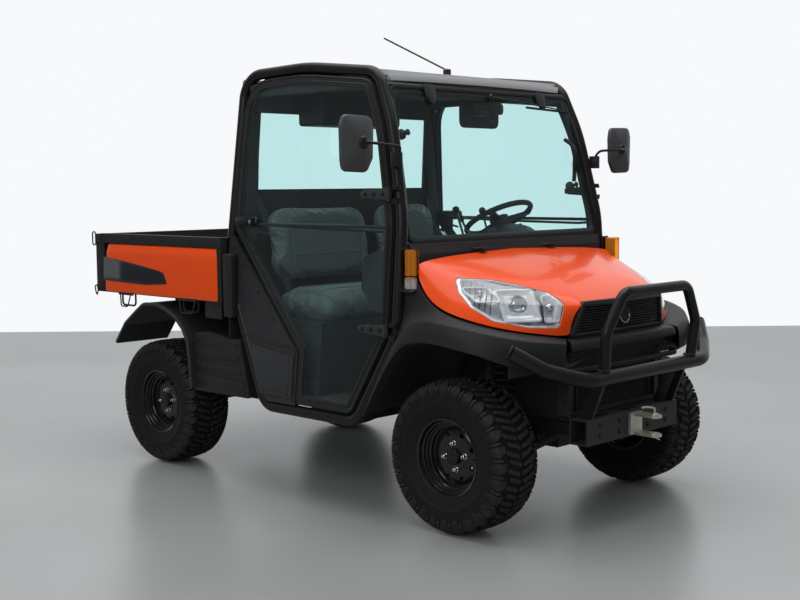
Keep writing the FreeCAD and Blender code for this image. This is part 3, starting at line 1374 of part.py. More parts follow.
def lift_foot():
    """The cross tube and the two ears that carry the lift cylinder's foot"""
    foot = lift_foot_place(0)
    half = LIFT_EYE_WIDTH / 2 + SEAT_GAP
    radius = LIFT_EYE_DIAMETER / 2
    pieces = []
    for side in (-1, 1):
        y0 = side * half
        y1 = side * (half + LIFT_EAR_THICKNESS)
        ear = block(foot.x - radius, foot.x + radius, min(y0, y1), max(y0, y1), RAIL_TOP_Z - RAIL_HEIGHT / 6, foot.z)
        pieces.append(ear)
        pieces.append(rod(vec(foot.x, y0, foot.z), vec(foot.x, y1, foot.z), LIFT_EYE_DIAMETER))
    reach = half + LIFT_EAR_THICKNESS
    pieces.append(rod(lift_foot_place(-reach), lift_foot_place(reach), LIFT_PIN_DIAMETER))
    pieces.append(block(
        foot.x - radius, foot.x + radius, -RAIL_HALF_SPACING, RAIL_HALF_SPACING,
        RAIL_TOP_Z - RAIL_HEIGHT / 6, RAIL_TOP_Z))
    return pieces


def lift_foot_place(y):
    return vec(ahead(LIFT_FOOT_STATION), y, LIFT_FOOT_Z)


def lift_eye_place(y):
    return vec(ahead(LIFT_EYE_STATION), y, LIFT_EYE_Z)


def towers():
    """The front strut towers and the tube between them"""
    x = FRONT_AXLE_X - SPRING_DIAMETER * 0.7
    z1 = strut_top().z + SUBFRAME_TUBE
    low = vec(x, RAIL_HALF_SPACING, RAIL_TOP_Z - SUBFRAME_TUBE / 2)
    high = vec(x, strut_top().y - SPRING_DIAMETER / 2, z1 - SUBFRAME_TUBE / 2)
    end = strut_top().y + STRUT_DIAMETER / 2
    return pair(rod(low, high, SUBFRAME_TUBE)) + [
        block(x - SUBFRAME_TUBE / 2, x + SUBFRAME_TUBE / 2, -end, end, z1 - SUBFRAME_TUBE + SEAT_GAP, z1)]


def strut_top():
    return vec(FRONT_AXLE_X - SPRING_DIAMETER * 0.7, STRUT_TOP_Y, STRUT_TOP_Z)


def drawbar():
    """The rear towing tongue with its hole"""
    x1 = ahead(RAIL_REAR) + RAIL_WIDTH
    x0 = ahead(RAIL_REAR) - DRAWBAR_LENGTH
    z0 = RAIL_BASE_Z
    tongue = block(x0, x1, -DRAWBAR_WIDTH / 2, DRAWBAR_WIDTH / 2, z0, z0 + DRAWBAR_THICKNESS)
    hole = rod(drawbar_place(z0 - CUT_OVERRUN), drawbar_place(z0 + CUT_OVERRUN), DRAWBAR_HOLE_DIAMETER)
    cross = block(
        x1 - RAIL_WIDTH, x1, -RAIL_HALF_SPACING, RAIL_HALF_SPACING, z0, z0 + RAIL_HEIGHT)
    return tongue.cut(hole).fuse(cross)


def drawbar_place(z):
    return vec(ahead(RAIL_REAR) - DRAWBAR_LENGTH + DRAWBAR_WIDTH / 2, 0, z)


def make_rear_axle():
    """The transaxle with its two axle tubes, flanges and hub noses"""
    half = RAIL_INSIDE - SEAT_GAP
    x0 = REAR_AXLE_X - TRANSAXLE_LENGTH / 2
    case = block(x0, x0 + TRANSAXLE_LENGTH, -half, half, TRANSAXLE_BASE_Z, TRANSAXLE_BASE_Z + TRANSAXLE_HEIGHT)
    case = case.makeFillet(SOFT_FILLET, [edge for edge in case.Edges if edge.Length > TRANSAXLE_LENGTH - 1])
    centre = vec(REAR_AXLE_X, 0, WHEEL_CENTRE_Z)
    face = HALF_TRACK + HUB_FACE_OFFSET - RIM_WALL - SEAT_GAP
    flange = face - RIM_WALL * 2
    pieces = [case]
    for side in (-1, 1):
        out = vec(0, side, 0)
        pieces.append(rod(centre, centre + out * flange, AXLE_TUBE_DIAMETER))
        pieces.append(rod(centre + out * flange, centre + out * face, HUB_DIAMETER - RIM_WALL * 3))
        pieces.append(rod(centre, centre + out * (face + RIM_WALL * 3), HUB_BORE_DIAMETER - PIN_GAP * 2))
    return joined(pieces)


def make_rear_springs():
    """A coil spring and damper at each side, as their outer forms, from the axle up to the subframe"""
    low = WHEEL_CENTRE_Z + AXLE_TUBE_DIAMETER / 2 + SEAT_GAP
    high = SUBFRAME_TOP_Z - SUBFRAME_TUBE - SEAT_GAP
    y = SUBFRAME_HALF_SPACING - SUBFRAME_TUBE / 2
    shaft = rod(vec(REAR_AXLE_X, y, low), vec(REAR_AXLE_X, y, high), STRUT_DIAMETER)
    middle = (low + high) / 2
    coil = rod(vec(REAR_AXLE_X, y, middle), vec(REAR_AXLE_X, y, middle + SPRING_LENGTH), SPRING_DIAMETER * 0.8)
    return pair(joined([shaft, coil]))


def make_front_axle():
    """The front differential on its cross plate, with a jointed shaft out to each knuckle"""
    centre = vec(FRONT_AXLE_X, 0, WHEEL_CENTRE_Z)
    half = DIFFERENTIAL_WIDTH / 2
    x0 = FRONT_AXLE_X - DIFFERENTIAL_LENGTH / 2
    z0 = DIFFERENTIAL_BASE_Z
    case = block(x0, x0 + DIFFERENTIAL_LENGTH, -half, half, z0, z0 + DIFFERENTIAL_HEIGHT)
    case = case.makeFillet(SOFT_FILLET, [edge for edge in case.Edges if edge.Length > DIFFERENTIAL_LENGTH - 1])
    plate_half = RAIL_INSIDE - SEAT_GAP
    plate = block(x0, x0 + DIFFERENTIAL_LENGTH / 2, -plate_half, plate_half, RAIL_BASE_Z, RAIL_BASE_Z + RAIL_WIDTH / 2)
    pieces = [case, plate]
    shaft_end = HALF_TRACK - KINGPIN_INSET - KNUCKLE_WIDTH / 2 - RUNNING_GAP
    for side in (-1, 1):
        out = vec(0, side, 0)
        end = centre + out * shaft_end
        pieces.append(rod(centre, end, HALF_SHAFT_DIAMETER))
        pieces.append(rod(centre + out * half, centre + out * (half + BOOT_LENGTH), BOOT_DIAMETER))
        pieces.append(rod(end - out * BOOT_LENGTH, end, BOOT_DIAMETER))
    rack = RACK_LENGTH / 2
    pieces.append(rod(rack_place(-rack), rack_place(rack), RACK_DIAMETER))
    bore = rod(rack_place(-HALF_TRACK), rack_place(HALF_TRACK), TIE_ROD_DIAMETER + SEAT_GAP * 2)
    return joined(pieces).cut(bore)


def kingpin_place(z):
    return vec(FRONT_AXLE_X, HALF_TRACK - KINGPIN_INSET, z)


def make_suspension():
    """The front lower arms and struts and the rear spring units"""
    knuckle_low = WHEEL_CENTRE_Z - KNUCKLE_DROP
    stud = vec(0, 0, BALL_STUD_LENGTH)
    tip = kingpin_place(knuckle_low - SEAT_GAP) - stud - vec(0, 0, ARM_TUBE_DIAMETER / 2)
    lift = vec(0, 0, ARM_TUBE_DIAMETER / 2)
    pieces = [rod(tip - lift, tip + lift, ARM_TUBE_DIAMETER * 1.3), rod(tip, tip + lift + stud, BALL_STUD_DIAMETER)]
    for side in (-1, 1):
        root = vec(FRONT_AXLE_X + side * ARM_SPREAD, RAIL_HALF_SPACING, RAIL_BASE_Z - ARM_TUBE_DIAMETER / 2 - SEAT_GAP)
        pieces.append(rod(root, tip, ARM_TUBE_DIAMETER))
        pieces.append(rod(root, root + lift, ARM_TUBE_DIAMETER))
    top = strut_top()
    foot = vec(top.x, STRUT_FOOT_Y, STRUT_FOOT_Z)
    along = top - foot
    along = along * (1 / along.Length)
    cap = STRUT_DIAMETER / 2
    pieces.append(rod(foot, top - along * cap / 2, STRUT_DIAMETER * 0.8))
    pieces.append(rod(top - along * (SPRING_LENGTH + cap), top - along * cap, SPRING_DIAMETER * 0.8))
    pieces.append(rod(top - vec(0, 0, cap), top, STRUT_DIAMETER))
    return pair(joined(pieces)) + make_rear_springs()


def make_knuckle():
    """The left steering knuckle: upright, hub flange and nose, and the arm for the tie rod"""
    low = kingpin_place(WHEEL_CENTRE_Z - KNUCKLE_DROP)
    upright = rod(low, kingpin_place(WHEEL_CENTRE_Z + KNUCKLE_RISE), KNUCKLE_WIDTH)
    centre = vec(FRONT_AXLE_X, 0, WHEEL_CENTRE_Z)
    face = HALF_TRACK + HUB_FACE_OFFSET - RIM_WALL - SEAT_GAP
    flange = face - RIM_WALL * 2
    root = HALF_TRACK - KINGPIN_INSET
    out = vec(0, 1, 0)
    stub = rod(centre + out * root, centre + out * flange, AXLE_TUBE_DIAMETER)
    disc = rod(centre + out * flange, centre + out * face, HUB_DIAMETER - RIM_WALL * 3)
    nose = rod(centre + out * flange, centre + out * (face + RIM_WALL * 3), HUB_BORE_DIAMETER - PIN_GAP * 2)
    z0 = WHEEL_CENTRE_Z + KNUCKLE_RISE / 2
    width = STEER_ARM_WIDTH / 2
    arm = block(
        FRONT_AXLE_X - STEER_ARM_LENGTH, FRONT_AXLE_X, root - width, root + width, z0, z0 + STEER_ARM_THICKNESS)
    end = vec(FRONT_AXLE_X - STEER_ARM_LENGTH, root, z0)
    eye = rod(end, end + vec(0, 0, STEER_ARM_THICKNESS), STEER_ARM_WIDTH)
    return joined([upright, stub, disc, nose, arm, eye])


def rack_place(y):
    """A point of the tie rods' line, below the steering arms"""
    z = WHEEL_CENTRE_Z + KNUCKLE_RISE / 2 - TIE_ROD_EYE_HEIGHT / 2 - SEAT_GAP
    return vec(FRONT_AXLE_X - STEER_ARM_LENGTH, y, z)


def make_steering_rack():
    """The rack and the two tie rods, which slide together"""
    y = HALF_TRACK - KINGPIN_INSET
    lift = vec(0, 0, TIE_ROD_EYE_HEIGHT / 2)
    pieces = [rod(rack_place(-y), rack_place(y), TIE_ROD_DIAMETER)]
    for side in (-1, 1):
        pieces.append(rod(rack_place(side * y) - lift, rack_place(side * y) + lift, STEER_ARM_WIDTH))
    return joined(pieces)


def make_engine_block():
    """The engine behind the seats, a clearance behind the sloping rear wall"""
    half = RAIL_INSIDE - SEAT_GAP
    top = ENGINE_BASE_Z + ENGINE_HEIGHT
    outline = ring_outline()
    x1 = at_height(outline[1], outline[2], top)[0] + CAB_TUBE / 2 - ENGINE_CLEARANCE
    return block(x1 - ENGINE_LENGTH, x1, -half, half, ENGINE_BASE_Z, top)


# Wheels


def wheel_centre(x, side):
    return vec(x, side * HALF_TRACK, WHEEL_CENTRE_Z)


def faceted_ring(profile, centre, axis, sides):
    """A closed outline of (distance along the axis, radius), carried round the axis in flat facets"""
    across = vec(1, 0, 0)
    upward = axis.cross(across)
    rings = []
    for step in range(sides):
        angle = 2 * math.pi * step / sides
        spoke = across * math.cos(angle) + upward * math.sin(angle)
        rings.append([centre + axis * along + spoke * radius for along, radius in profile])
    faces = []
    for near, far in zip(rings, rings[1:] + rings[:1]):
        for index in range(len(profile)):
            before = index - 1
            corners = [near[before], near[index], far[index], far[before]]
            faces.append(Part.Face(Part.makePolygon(corners + corners[:1])))
    ring = Part.makeSolid(Part.makeShell(faces))
    if ring.Volume < 0:
        ring.reverse()
    return ring


def make_tyre(x, side):
    """The tyre's carcass, with a shoulder at each side of the tread"""
    spread = 1 / math.cos(math.pi / TYRE_SIDES)
    tread = TYRE_DIAMETER / 2
    bead = TYRE_BEAD_DIAMETER / 2 * spread
    half = TYRE_WIDTH / 2
    seat = RIM_WIDTH / 2 - RIM_WALL - SEAT_GAP
    lip = (RIM_DIAMETER / 2 + SEAT_GAP) * spread
    outer = [(seat, bead), (seat, lip)] + in_box(TYRE_OUTER_SHARES, 0, half, bead, tread - bead)
    inner = in_box(TYRE_INNER_SHARES, 0, half, bead, tread - bead)
    around = [(-along, radius) for along, radius in outer]
    around += [(along, radius) for along, radius in reversed(outer)]
    around += [(along, radius) for along, radius in reversed(inner)]
    around += [(-along, radius) for along, radius in inner]
    return faceted_ring(around, wheel_centre(x, side), vec(0, side, 0), TYRE_SIDES)


def make_rim(x, side):
    """The pressed steel wheel: barrel with its well, and a dished disc with holes"""
    flange = RIM_DIAMETER / 2
    half = RIM_WIDTH / 2
    wall = RIM_WALL
    seat = TYRE_BEAD_DIAMETER / 2 - wall - SEAT_GAP * 4
    well = RIM_WELL_DIAMETER / 2
    outer = [
        (-half, flange), (-half + wall, flange), (-half + wall, seat + wall), (-half * 0.5, seat + wall),
        (-half * 0.3, well), (half * 0.4, well), (half * 0.55, seat + wall), (half - wall, seat + wall),
        (half - wall, flange), (half, flange),
    ]
    foot = half * 0.4 + wall
    drop = well - wall - seat
    inner = in_box(RIM_STEP_SHARES, half, foot - half, seat, drop)
    inner += [(-half * 0.3 - wall, well - wall), (-half * 0.5 - wall, seat), (-half, seat)]
    centre = wheel_centre(x, side)
    axis = vec(0, side, 0)
    barrel = turned(outer + inner, centre, axis)
    face = HUB_FACE_OFFSET
    bore = HUB_BORE_DIAMETER / 2
    hub = HUB_DIAMETER / 2
    disc = turned([
        (face - wall, bore), (face, bore), (face, hub), (half * 0.24 + wall, well - wall / 2),
        (half * 0.24, well - wall / 2), (face - wall, hub - wall)], centre, axis)
    wheel = barrel.fuse(disc).removeSplitter()
    for index in range(DISC_HOLE_COUNT):
        angle = 2 * math.pi * index / DISC_HOLE_COUNT
        spoke = vec(math.cos(angle), 0, math.sin(angle)) * (DISC_HOLE_CIRCLE / 2)
        wheel = wheel.cut(rod(centre + spoke, centre + spoke + axis * half, DISC_HOLE_DIAMETER))
    return wheel


# Fenders, covers, mirrors and lamps


def make_rear_fenders():
    line = in_box(FENDER_SHARES, ahead(FENDER_REAR), FENDER_LENGTH, FENDER_BASE_Z, FENDER_HEIGHT)
    bottom = [(x, z) for x, z in reversed(line)]
    shrink = FENDER_THICKNESS
    centre = (line[0][0] + line[-1][0]) / 2
    inner = []
    for x, z in bottom:
        away = math.hypot(x - centre, z - WHEEL_CENTRE_Z)
        inner.append((x - (x - centre) / away * shrink, z - (z - WHEEL_CENTRE_Z) / away * shrink))
    fender = side_prism(line + inner, 0, -SILL_HALF_WIDTH, -FENDER_INNER_HALF_WIDTH)
    return pair(fender)


def make_side_covers():
    """Moulded covers behind the cab's sills, open towards the frame"""
    rear = ahead(FENDER_REAR) + FENDER_LENGTH + SEAT_GAP
    outline = in_box(COVER_SHARES, rear, COVER_LENGTH, COVER_BASE_Z, COVER_HEIGHT)
    outer = -COVER_HALF_WIDTH
    cover = side_prism(outline, SOFT_FILLET / 2, outer, outer + COVER_DEPTH)
    hollow_bend = SOFT_FILLET / 2 - COVER_WALL
    inside = outer + COVER_DEPTH + CUT_OVERRUN
    cover = cover.cut(side_prism(inset(outline, COVER_WALL), hollow_bend, outer + COVER_WALL, inside))
    keep_out = leaned(side_prism(inset(ring_outline(), -CAB_TUBE / 2 - SEAT_GAP), ring_bends(CAB_TUBE / 2),
                                 -CUT_OVERRUN * 3, SILL_HALF_WIDTH))
    return pair(cover.cut(keep_out))


def make_mirrors():
    x = ahead(MIRROR_STATION)
    y0 = -MIRROR_Y - MIRROR_WIDTH / 2
    y1 = -MIRROR_Y + MIRROR_WIDTH / 2
    z1 = MIRROR_BASE_Z + MIRROR_HEIGHT
    front = [(y0, MIRROR_BASE_Z), (y1, MIRROR_BASE_Z), (y1, z1), (y0, z1)]
    head = front_prism(front, MIRROR_FILLET * 2, x - MIRROR_DEPTH / 2, x + MIRROR_DEPTH / 2)
    foot = side_place(front_pillar_x(MIRROR_ARM_Z), MIRROR_ARM_Z, CAB_TUBE / 2)
    elbow = foot + vec(CAB_TUBE / 2 + MIRROR_ARM_DIAMETER * 2, 0, 0)
    end = vec(x, -MIRROR_Y + MIRROR_WIDTH / 4, MIRROR_ARM_Z)
    arm = tube([foot, elbow, end], MIRROR_ARM_DIAMETER, MIRROR_ARM_DIAMETER * 1.2)
    span = (MIRROR_ARM_Z - CAB_TUBE, MIRROR_ARM_Z + CAB_TUBE)
    ends = [side_place(front_pillar_x(z), z, CAB_TUBE / 2) for z in span]
    clear = rod(ends[0], ends[1], CAB_TUBE + SEAT_GAP * 2)
    return pair(joined([head, arm.cut(clear)]))


def make_signal_lamps():
    x = ahead(SIGNAL_STATION)
    inner = -SKIRT_HALF_WIDTH - SEAT_GAP
    outer = inner - SIGNAL_WIDTH
    plan = [(x - SIGNAL_LENGTH / 2, inner), (x - SIGNAL_LENGTH / 2, outer), (x + SIGNAL_LENGTH / 2, outer),
            (x + SIGNAL_LENGTH / 2, inner)]
    bends = [0, SIGNAL_FILLET, SIGNAL_FILLET, 0]
    return pair(plan_prism(plan, bends, SIGNAL_BASE_Z, SIGNAL_BASE_Z + SIGNAL_HEIGHT))


# Bed, tailgate and lift


def make_bed_tray():
    """Floor, front wall, rails and posts, with the beams and hinge lugs below"""
    x0 = ahead(BED_REAR)
    x1 = ahead(BED_FRONT)
    half = BED_HALF_WIDTH
    floor_top = BED_FLOOR_Z + BED_FLOOR_THICKNESS
    inside = half - BED_WALL
    pieces = [block(x0, bed_head(), -half, half, BED_FLOOR_Z, floor_top)]
    head = bed_head()
    pieces.append(block(head - BED_WALL, head, -inside, inside, BED_FLOOR_Z, BED_RIM_Z))
    for y0, y1 in ((-half, -inside), (inside, half)):
        pieces.append(block(x0, x1, y0, y1, BED_RIM_Z - BED_RIM_HEIGHT, BED_RIM_Z))
        pieces.append(block(x0, x1, y0, y1, BED_FLOOR_Z, BED_FLOOR_Z + BED_SILL_HEIGHT))
        pieces.append(block(x0, x0 + BED_POST, y0, y1, BED_FLOOR_Z, BED_RIM_Z))
        pieces.append(block(x1 - BED_WALL, x1, y0, y1, BED_FLOOR_Z, BED_RIM_Z))
        inner = -inside - BED_SKIN if y0 < 0 else inside
        pieces.append(block(x0, x1, inner, inner + BED_SKIN, BED_FLOOR_Z, BED_RIM_Z))
    z0 = SUBFRAME_TOP_Z + SEAT_GAP
    for y in (-SUBFRAME_HALF_SPACING + SUBFRAME_TUBE / 2, SUBFRAME_HALF_SPACING - SUBFRAME_TUBE / 2):
        pieces.append(block(x0, bed_head(), y - BED_BEAM_WIDTH / 2, y + BED_BEAM_WIDTH / 2, z0, BED_FLOOR_Z))
    pieces += pair(bed_lug()) + lift_ears() + tie_loops()
    for ear in tailgate_ears():
        pieces += pair(ear)
    return joined(pieces)


def bed_head():
    """X of the bed's front wall, a running gap behind the cab's rings"""
    return ahead(RING_REAR) - CAB_TUBE / 2 - RUNNING_GAP * 1.5


def tailgate_pin_place(y):
    """The tailgate's hinge axis at its lower edge"""
    x = ahead(BED_REAR) - TAILGATE_GAP - TAILGATE_THICKNESS / 2
    return vec(x, y, BED_FLOOR_Z + RUNNING_GAP + TAILGATE_THICKNESS / 2)


def tailgate_ears():
    """The ear and pin beside the tailgate's left lower corner"""
    pin = tailgate_pin_place(0)
    y1 = BED_HALF_WIDTH
    y0 = y1 - BED_EAR_THICKNESS
    ear = block(pin.x, ahead(BED_REAR) + BED_POST, y0, y1, BED_FLOOR_Z, pin.z + TAILGATE_PIN_DIAMETER)
    shaft = rod(vec(pin.x, y0 - TAILGATE_PIN_LENGTH, pin.z), vec(pin.x, y1, pin.z), TAILGATE_PIN_DIAMETER)
    return [ear, shaft]


def bed_lug():
    """A hinge lug under the bed, outside the subframe"""
    centre = bed_pivot_place(BED_PIVOT_Y)
    radius = BED_LUG_RADIUS
    plate = block(
        centre.x - radius, centre.x + radius, centre.y, centre.y + BED_LUG_THICKNESS, centre.z, BED_FLOOR_Z)
    boss = rod(centre, centre + vec(0, BED_LUG_THICKNESS, 0), radius * 2)
    hole = rod(centre - vec(0, CUT_OVERRUN, 0), centre + vec(0, CUT_OVERRUN, 0), BED_PIVOT_DIAMETER + PIN_GAP * 2)
    return plate.fuse(boss).cut(hole)


def lift_ears():
    """The ears under the bed beside the lift rod's eye"""
    eye = lift_eye_place(0)
    half = LIFT_EYE_WIDTH / 2 + RUNNING_GAP / 2
    radius = LIFT_EYE_DIAMETER / 2
    ears = []
    for side in (-1, 1):
        y0 = min(side * half, side * (half + LIFT_EAR_THICKNESS))
        y1 = y0 + LIFT_EAR_THICKNESS
        ears.append(block(eye.x - radius, eye.x + radius, y0, y1, eye.z, BED_FLOOR_Z))
        ears.append(rod(vec(eye.x, y0, eye.z), vec(eye.x, y1, eye.z), LIFT_EYE_DIAMETER))
    return ears


def tie_loops():
    """Bent rod loops under the bed's sides"""
    loops = []
    for station in (BED_FRONT - TIE_LOOP_FRONT_INSET, BED_REAR + TIE_LOOP_REAR_INSET):
        x = ahead(station)
        half = TIE_LOOP_WIDTH / 2
        z0 = BED_FLOOR_Z + TIE_LOOP_DIAMETER
        z1 = BED_FLOOR_Z - TIE_LOOP_DROP
        y = -BED_HALF_WIDTH + BED_WALL / 2
        line = [vec(x - half, y, z0), vec(x - half, y, z1), vec(x + half, y, z1), vec(x + half, y, z0)]
        loops += pair(tube(line, TIE_LOOP_DIAMETER, TIE_LOOP_DIAMETER * 2))
    return loops


def make_bed_sides():
    x0 = ahead(BED_REAR) + BED_POST + SEAT_GAP
    x1 = ahead(BED_FRONT) - BED_WALL - SEAT_GAP
    z0 = BED_FLOOR_Z + BED_SILL_HEIGHT + SEAT_GAP
    z1 = BED_RIM_Z - BED_RIM_HEIGHT - SEAT_GAP
    middle = z1 - BED_RIM_HEIGHT
    outer = BED_HALF_WIDTH - BED_PANEL_BULGE
    inner = BED_HALF_WIDTH - BED_WALL + BED_SKIN + SEAT_GAP
    outline = [(inner, z0), (outer, z0), (BED_HALF_WIDTH, middle), (outer, z1), (inner, z1)]
    return pair(front_prism(outline, 0, x0, x1))


def tailgate_pressings(x0, half):
    """The shallow panels between the ribs of the tailgate's outer face"""
    low = tailgate_pin_place(0).z + TAILGATE_THICKNESS
    high = BED_RIM_Z - TAILGATE_RIB
    pitch = (half * 2 - TAILGATE_RIB) / TAILGATE_PANEL_COUNT
    panels = []
    for index in range(TAILGATE_PANEL_COUNT):
        y0 = -half + TAILGATE_RIB + pitch * index
        y1 = y0 + pitch - TAILGATE_RIB
        corners = [(y0, low), (y1, low), (y1, high), (y0, high)]
        panels.append(front_prism(corners, TAILGATE_RIB / 2, x0 - CUT_OVERRUN, x0 + TAILGATE_PRESS))
    return panels


def make_tailgate():
    x0 = ahead(BED_REAR) - TAILGATE_GAP - TAILGATE_THICKNESS
    x1 = ahead(BED_REAR) - TAILGATE_GAP
    half = BED_HALF_WIDTH - RUNNING_GAP
    roll = rod(tailgate_pin_place(-half), tailgate_pin_place(half), TAILGATE_THICKNESS)
    gate = block(x0, x1, -half, half, tailgate_pin_place(0).z, BED_RIM_Z).fuse(roll)
    for panel in tailgate_pressings(x0, half):
        gate = gate.cut(panel)
    reach = TAILGATE_PIN_LENGTH + RUNNING_GAP
    for side in (-1, 1):
        start = tailgate_pin_place(side * (half - reach))
        gate = gate.cut(rod(start, tailgate_pin_place(side * BED_HALF_WIDTH), TAILGATE_PIN_DIAMETER + PIN_GAP * 2))
    return gate


def lift_direction():
    along = lift_eye_place(0) - lift_foot_place(0)
    return along * (1 / along.Length)


def make_lift_barrel():
    """The cylinder's barrel on a neck, with its foot eye"""
    foot = lift_foot_place(0)
    along = lift_direction()
    start = foot + along * (LIFT_EYE_DIAMETER / 2 + RUNNING_GAP)
    end = start + along * LIFT_BARREL_LENGTH
    side = vec(0, LIFT_EYE_WIDTH / 2, 0)
    pieces = [
        rod(start, end, LIFT_BARREL_DIAMETER), rod(foot, start + along, LIFT_EYE_WIDTH - RUNNING_GAP / 4),
        rod(foot - side, foot + side, LIFT_EYE_DIAMETER),
    ]
    bore = rod(start + along * LIFT_EYE_DIAMETER / 2, end + along, LIFT_ROD_DIAMETER + SEAT_GAP * 2)
    hole = rod(foot - side * 2, foot + side * 2, LIFT_PIN_DIAMETER + PIN_GAP * 2)
    return joined(pieces).cut(bore).cut(hole)


def make_lift_rod():
    foot = lift_foot_place(0)
    eye = lift_eye_place(0)
    along = lift_direction()
    side = vec(0, LIFT_EYE_WIDTH / 2, 0)
    shaft = rod(foot + along * (LIFT_EYE_DIAMETER + RUNNING_GAP * 2), eye, LIFT_ROD_DIAMETER)
    knob = rod(eye - side, eye + side, LIFT_EYE_DIAMETER)
    return shaft.fuse(knob)


def build():
    """Every piece under its own name"""
    knuckle = make_knuckle()
    door_frame = make_door_frame()
    door_glass = make_door_glass()
    pieces = {
        "main_frame": make_main_frame(),
        "cab_frame": make_cab_frame(),
        "cab_floor": make_cab_floor(),
        "side_panels": make_side_panels(),
        "roof": make_roof(),
        "windshield": make_windshield(),
        "rear_wall": make_rear_wall(),
        "rear_window": make_rear_window(),
        "seat_base": make_seat_base(),
        "seat_cushions": make_seat_cushions(),
        "seat_backs": make_seat_backs(),
        "dashboard": make_dashboard(),
        "cowl": make_cowl(),
        "front_skirt": make_front_skirt(),
        "brush_guard": make_brush_guard(),
        "receiver_beam": make_receiver_beam(),
        "tow_clevis": make_tow_clevis(),
        "front_axle": make_front_axle(),
        "suspension": make_suspension(),
        "rear_axle": make_rear_axle(),
        "engine_block": make_engine_block(),
        "rear_fenders": make_rear_fenders(),
        "side_covers": make_side_covers(),
        "mirrors": make_mirrors(),
        "signal_lamps": make_signal_lamps(),
        "hood": make_hood(),
        "headlamps": make_headlamps(),
        "grille": make_grille(),
        "door_right_frame": door_frame,
        "door_right_glass": door_glass,
        "door_left_frame": mirrored(door_frame),
        "door_left_glass": mirrored(door_glass),
        "steering_wheel": make_steering_wheel(),
        "steering_rack": make_steering_rack(),
        "knuckle_right": mirrored(knuckle),
        "knuckle_left": knuckle,
        "bed_tray": make_bed_tray(),
        "bed_sides": make_bed_sides(),
        "tailgate": make_tailgate(),
        "lift_barrel": make_lift_barrel(),
        "lift_rod": make_lift_rod(),
    }
    corners = {
        "front_right": (FRONT_AXLE_X, -1), "front_left": (FRONT_AXLE_X, 1),
        "rear_right": (REAR_AXLE_X, -1), "rear_left": (REAR_AXLE_X, 1),
    }
    for name, (x, side) in corners.items():
        pieces["tyre_" + name] = make_tyre(x, side)
        pieces["rim_" + name] = make_rim(x, side)
    return pieces


def save(name, shape):
    """Writes one piece as its own STEP file"""
    solids = []
    for item in shape if isinstance(shape, list) else [shape]:
        solids += item.Solids
    whole = solids[0] if len(solids) == 1 else Part.makeCompound(solids)
    whole.exportStep(os.path.join("parts", name + ".step"))


os.makedirs("parts", exist_ok=True)
for piece_name, piece_shape in build().items():
    save(piece_name, piece_shape)
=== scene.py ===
# %% [markdown]
# # A side by side utility vehicle, dressed for the camera
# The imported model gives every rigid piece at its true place, in metres, with +X forward, +Y to the
# vehicle's left and +Z up. This script keeps that frame and adds what a CAD solid doesn't show: pressed
# creases, tread, seams, lenses, seals, fasteners and finishes. Each cell makes one piece or one finish.

# %% Load the frame
import math

import bmesh
import bpy
from mathutils import Matrix, Vector


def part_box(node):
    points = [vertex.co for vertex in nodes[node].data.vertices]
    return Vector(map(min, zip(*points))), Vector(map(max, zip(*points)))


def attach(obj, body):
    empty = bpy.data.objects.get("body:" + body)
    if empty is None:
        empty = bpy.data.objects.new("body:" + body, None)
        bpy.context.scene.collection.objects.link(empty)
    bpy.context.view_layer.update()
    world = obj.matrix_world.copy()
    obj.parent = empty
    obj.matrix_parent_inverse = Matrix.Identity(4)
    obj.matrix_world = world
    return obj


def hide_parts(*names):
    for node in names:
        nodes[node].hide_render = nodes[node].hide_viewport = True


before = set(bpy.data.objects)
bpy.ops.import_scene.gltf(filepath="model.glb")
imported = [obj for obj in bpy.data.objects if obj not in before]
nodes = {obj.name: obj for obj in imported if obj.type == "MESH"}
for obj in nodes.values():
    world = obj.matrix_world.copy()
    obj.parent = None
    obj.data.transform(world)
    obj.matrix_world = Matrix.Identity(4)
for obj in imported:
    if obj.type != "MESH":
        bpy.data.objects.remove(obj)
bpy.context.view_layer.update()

# %% [markdown]
# Stations along the vehicle are easiest to read as distances ahead of the rear axle, because that is how
# they were measured in the photograph. One function turns a station into a point of the frame, and the
# rear axle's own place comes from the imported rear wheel, so nothing here has to be fitted by hand.

# %% Stations ahead of the rear axle
def middle(node):
    """The middle of a CAD node's box"""
    low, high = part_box(node)
    return (low + high) / 2


rear_axle = middle("rim_rear_right").x
front_axle = middle("rim_front_right").x
half_track = -middle("rim_front_right").y
wheel_height = middle("rim_front_right").z


def at(station, y, z):
    """The point at a station ahead of the rear axle"""
    return Vector((rear_axle + station, y, z))


print("wheelbase", round(front_axle - rear_axle, 3), "half track", round(half_track, 3))

# %% [markdown]
# The camera stands low in front of the right-hand corner. Its place, direction and focal length were
# solved from the wheelbase, the track and the tyres, and they are written as plain numbers: a place, two
# angles and a slight roll. The sensor is 36 mm wide, so the focal length in pixels gives the lens.

# %% Camera
IMAGE_WIDTH = 800
SENSOR_WIDTH = 36.0
FOCAL_PIXELS = 1230.4
CAMERA_PLACE = at(5.3195, -4.3644, 1.4208)
CAMERA_YAW = 2.34526
CAMERA_PITCH = -0.09236
CAMERA_ROLL = -0.00836

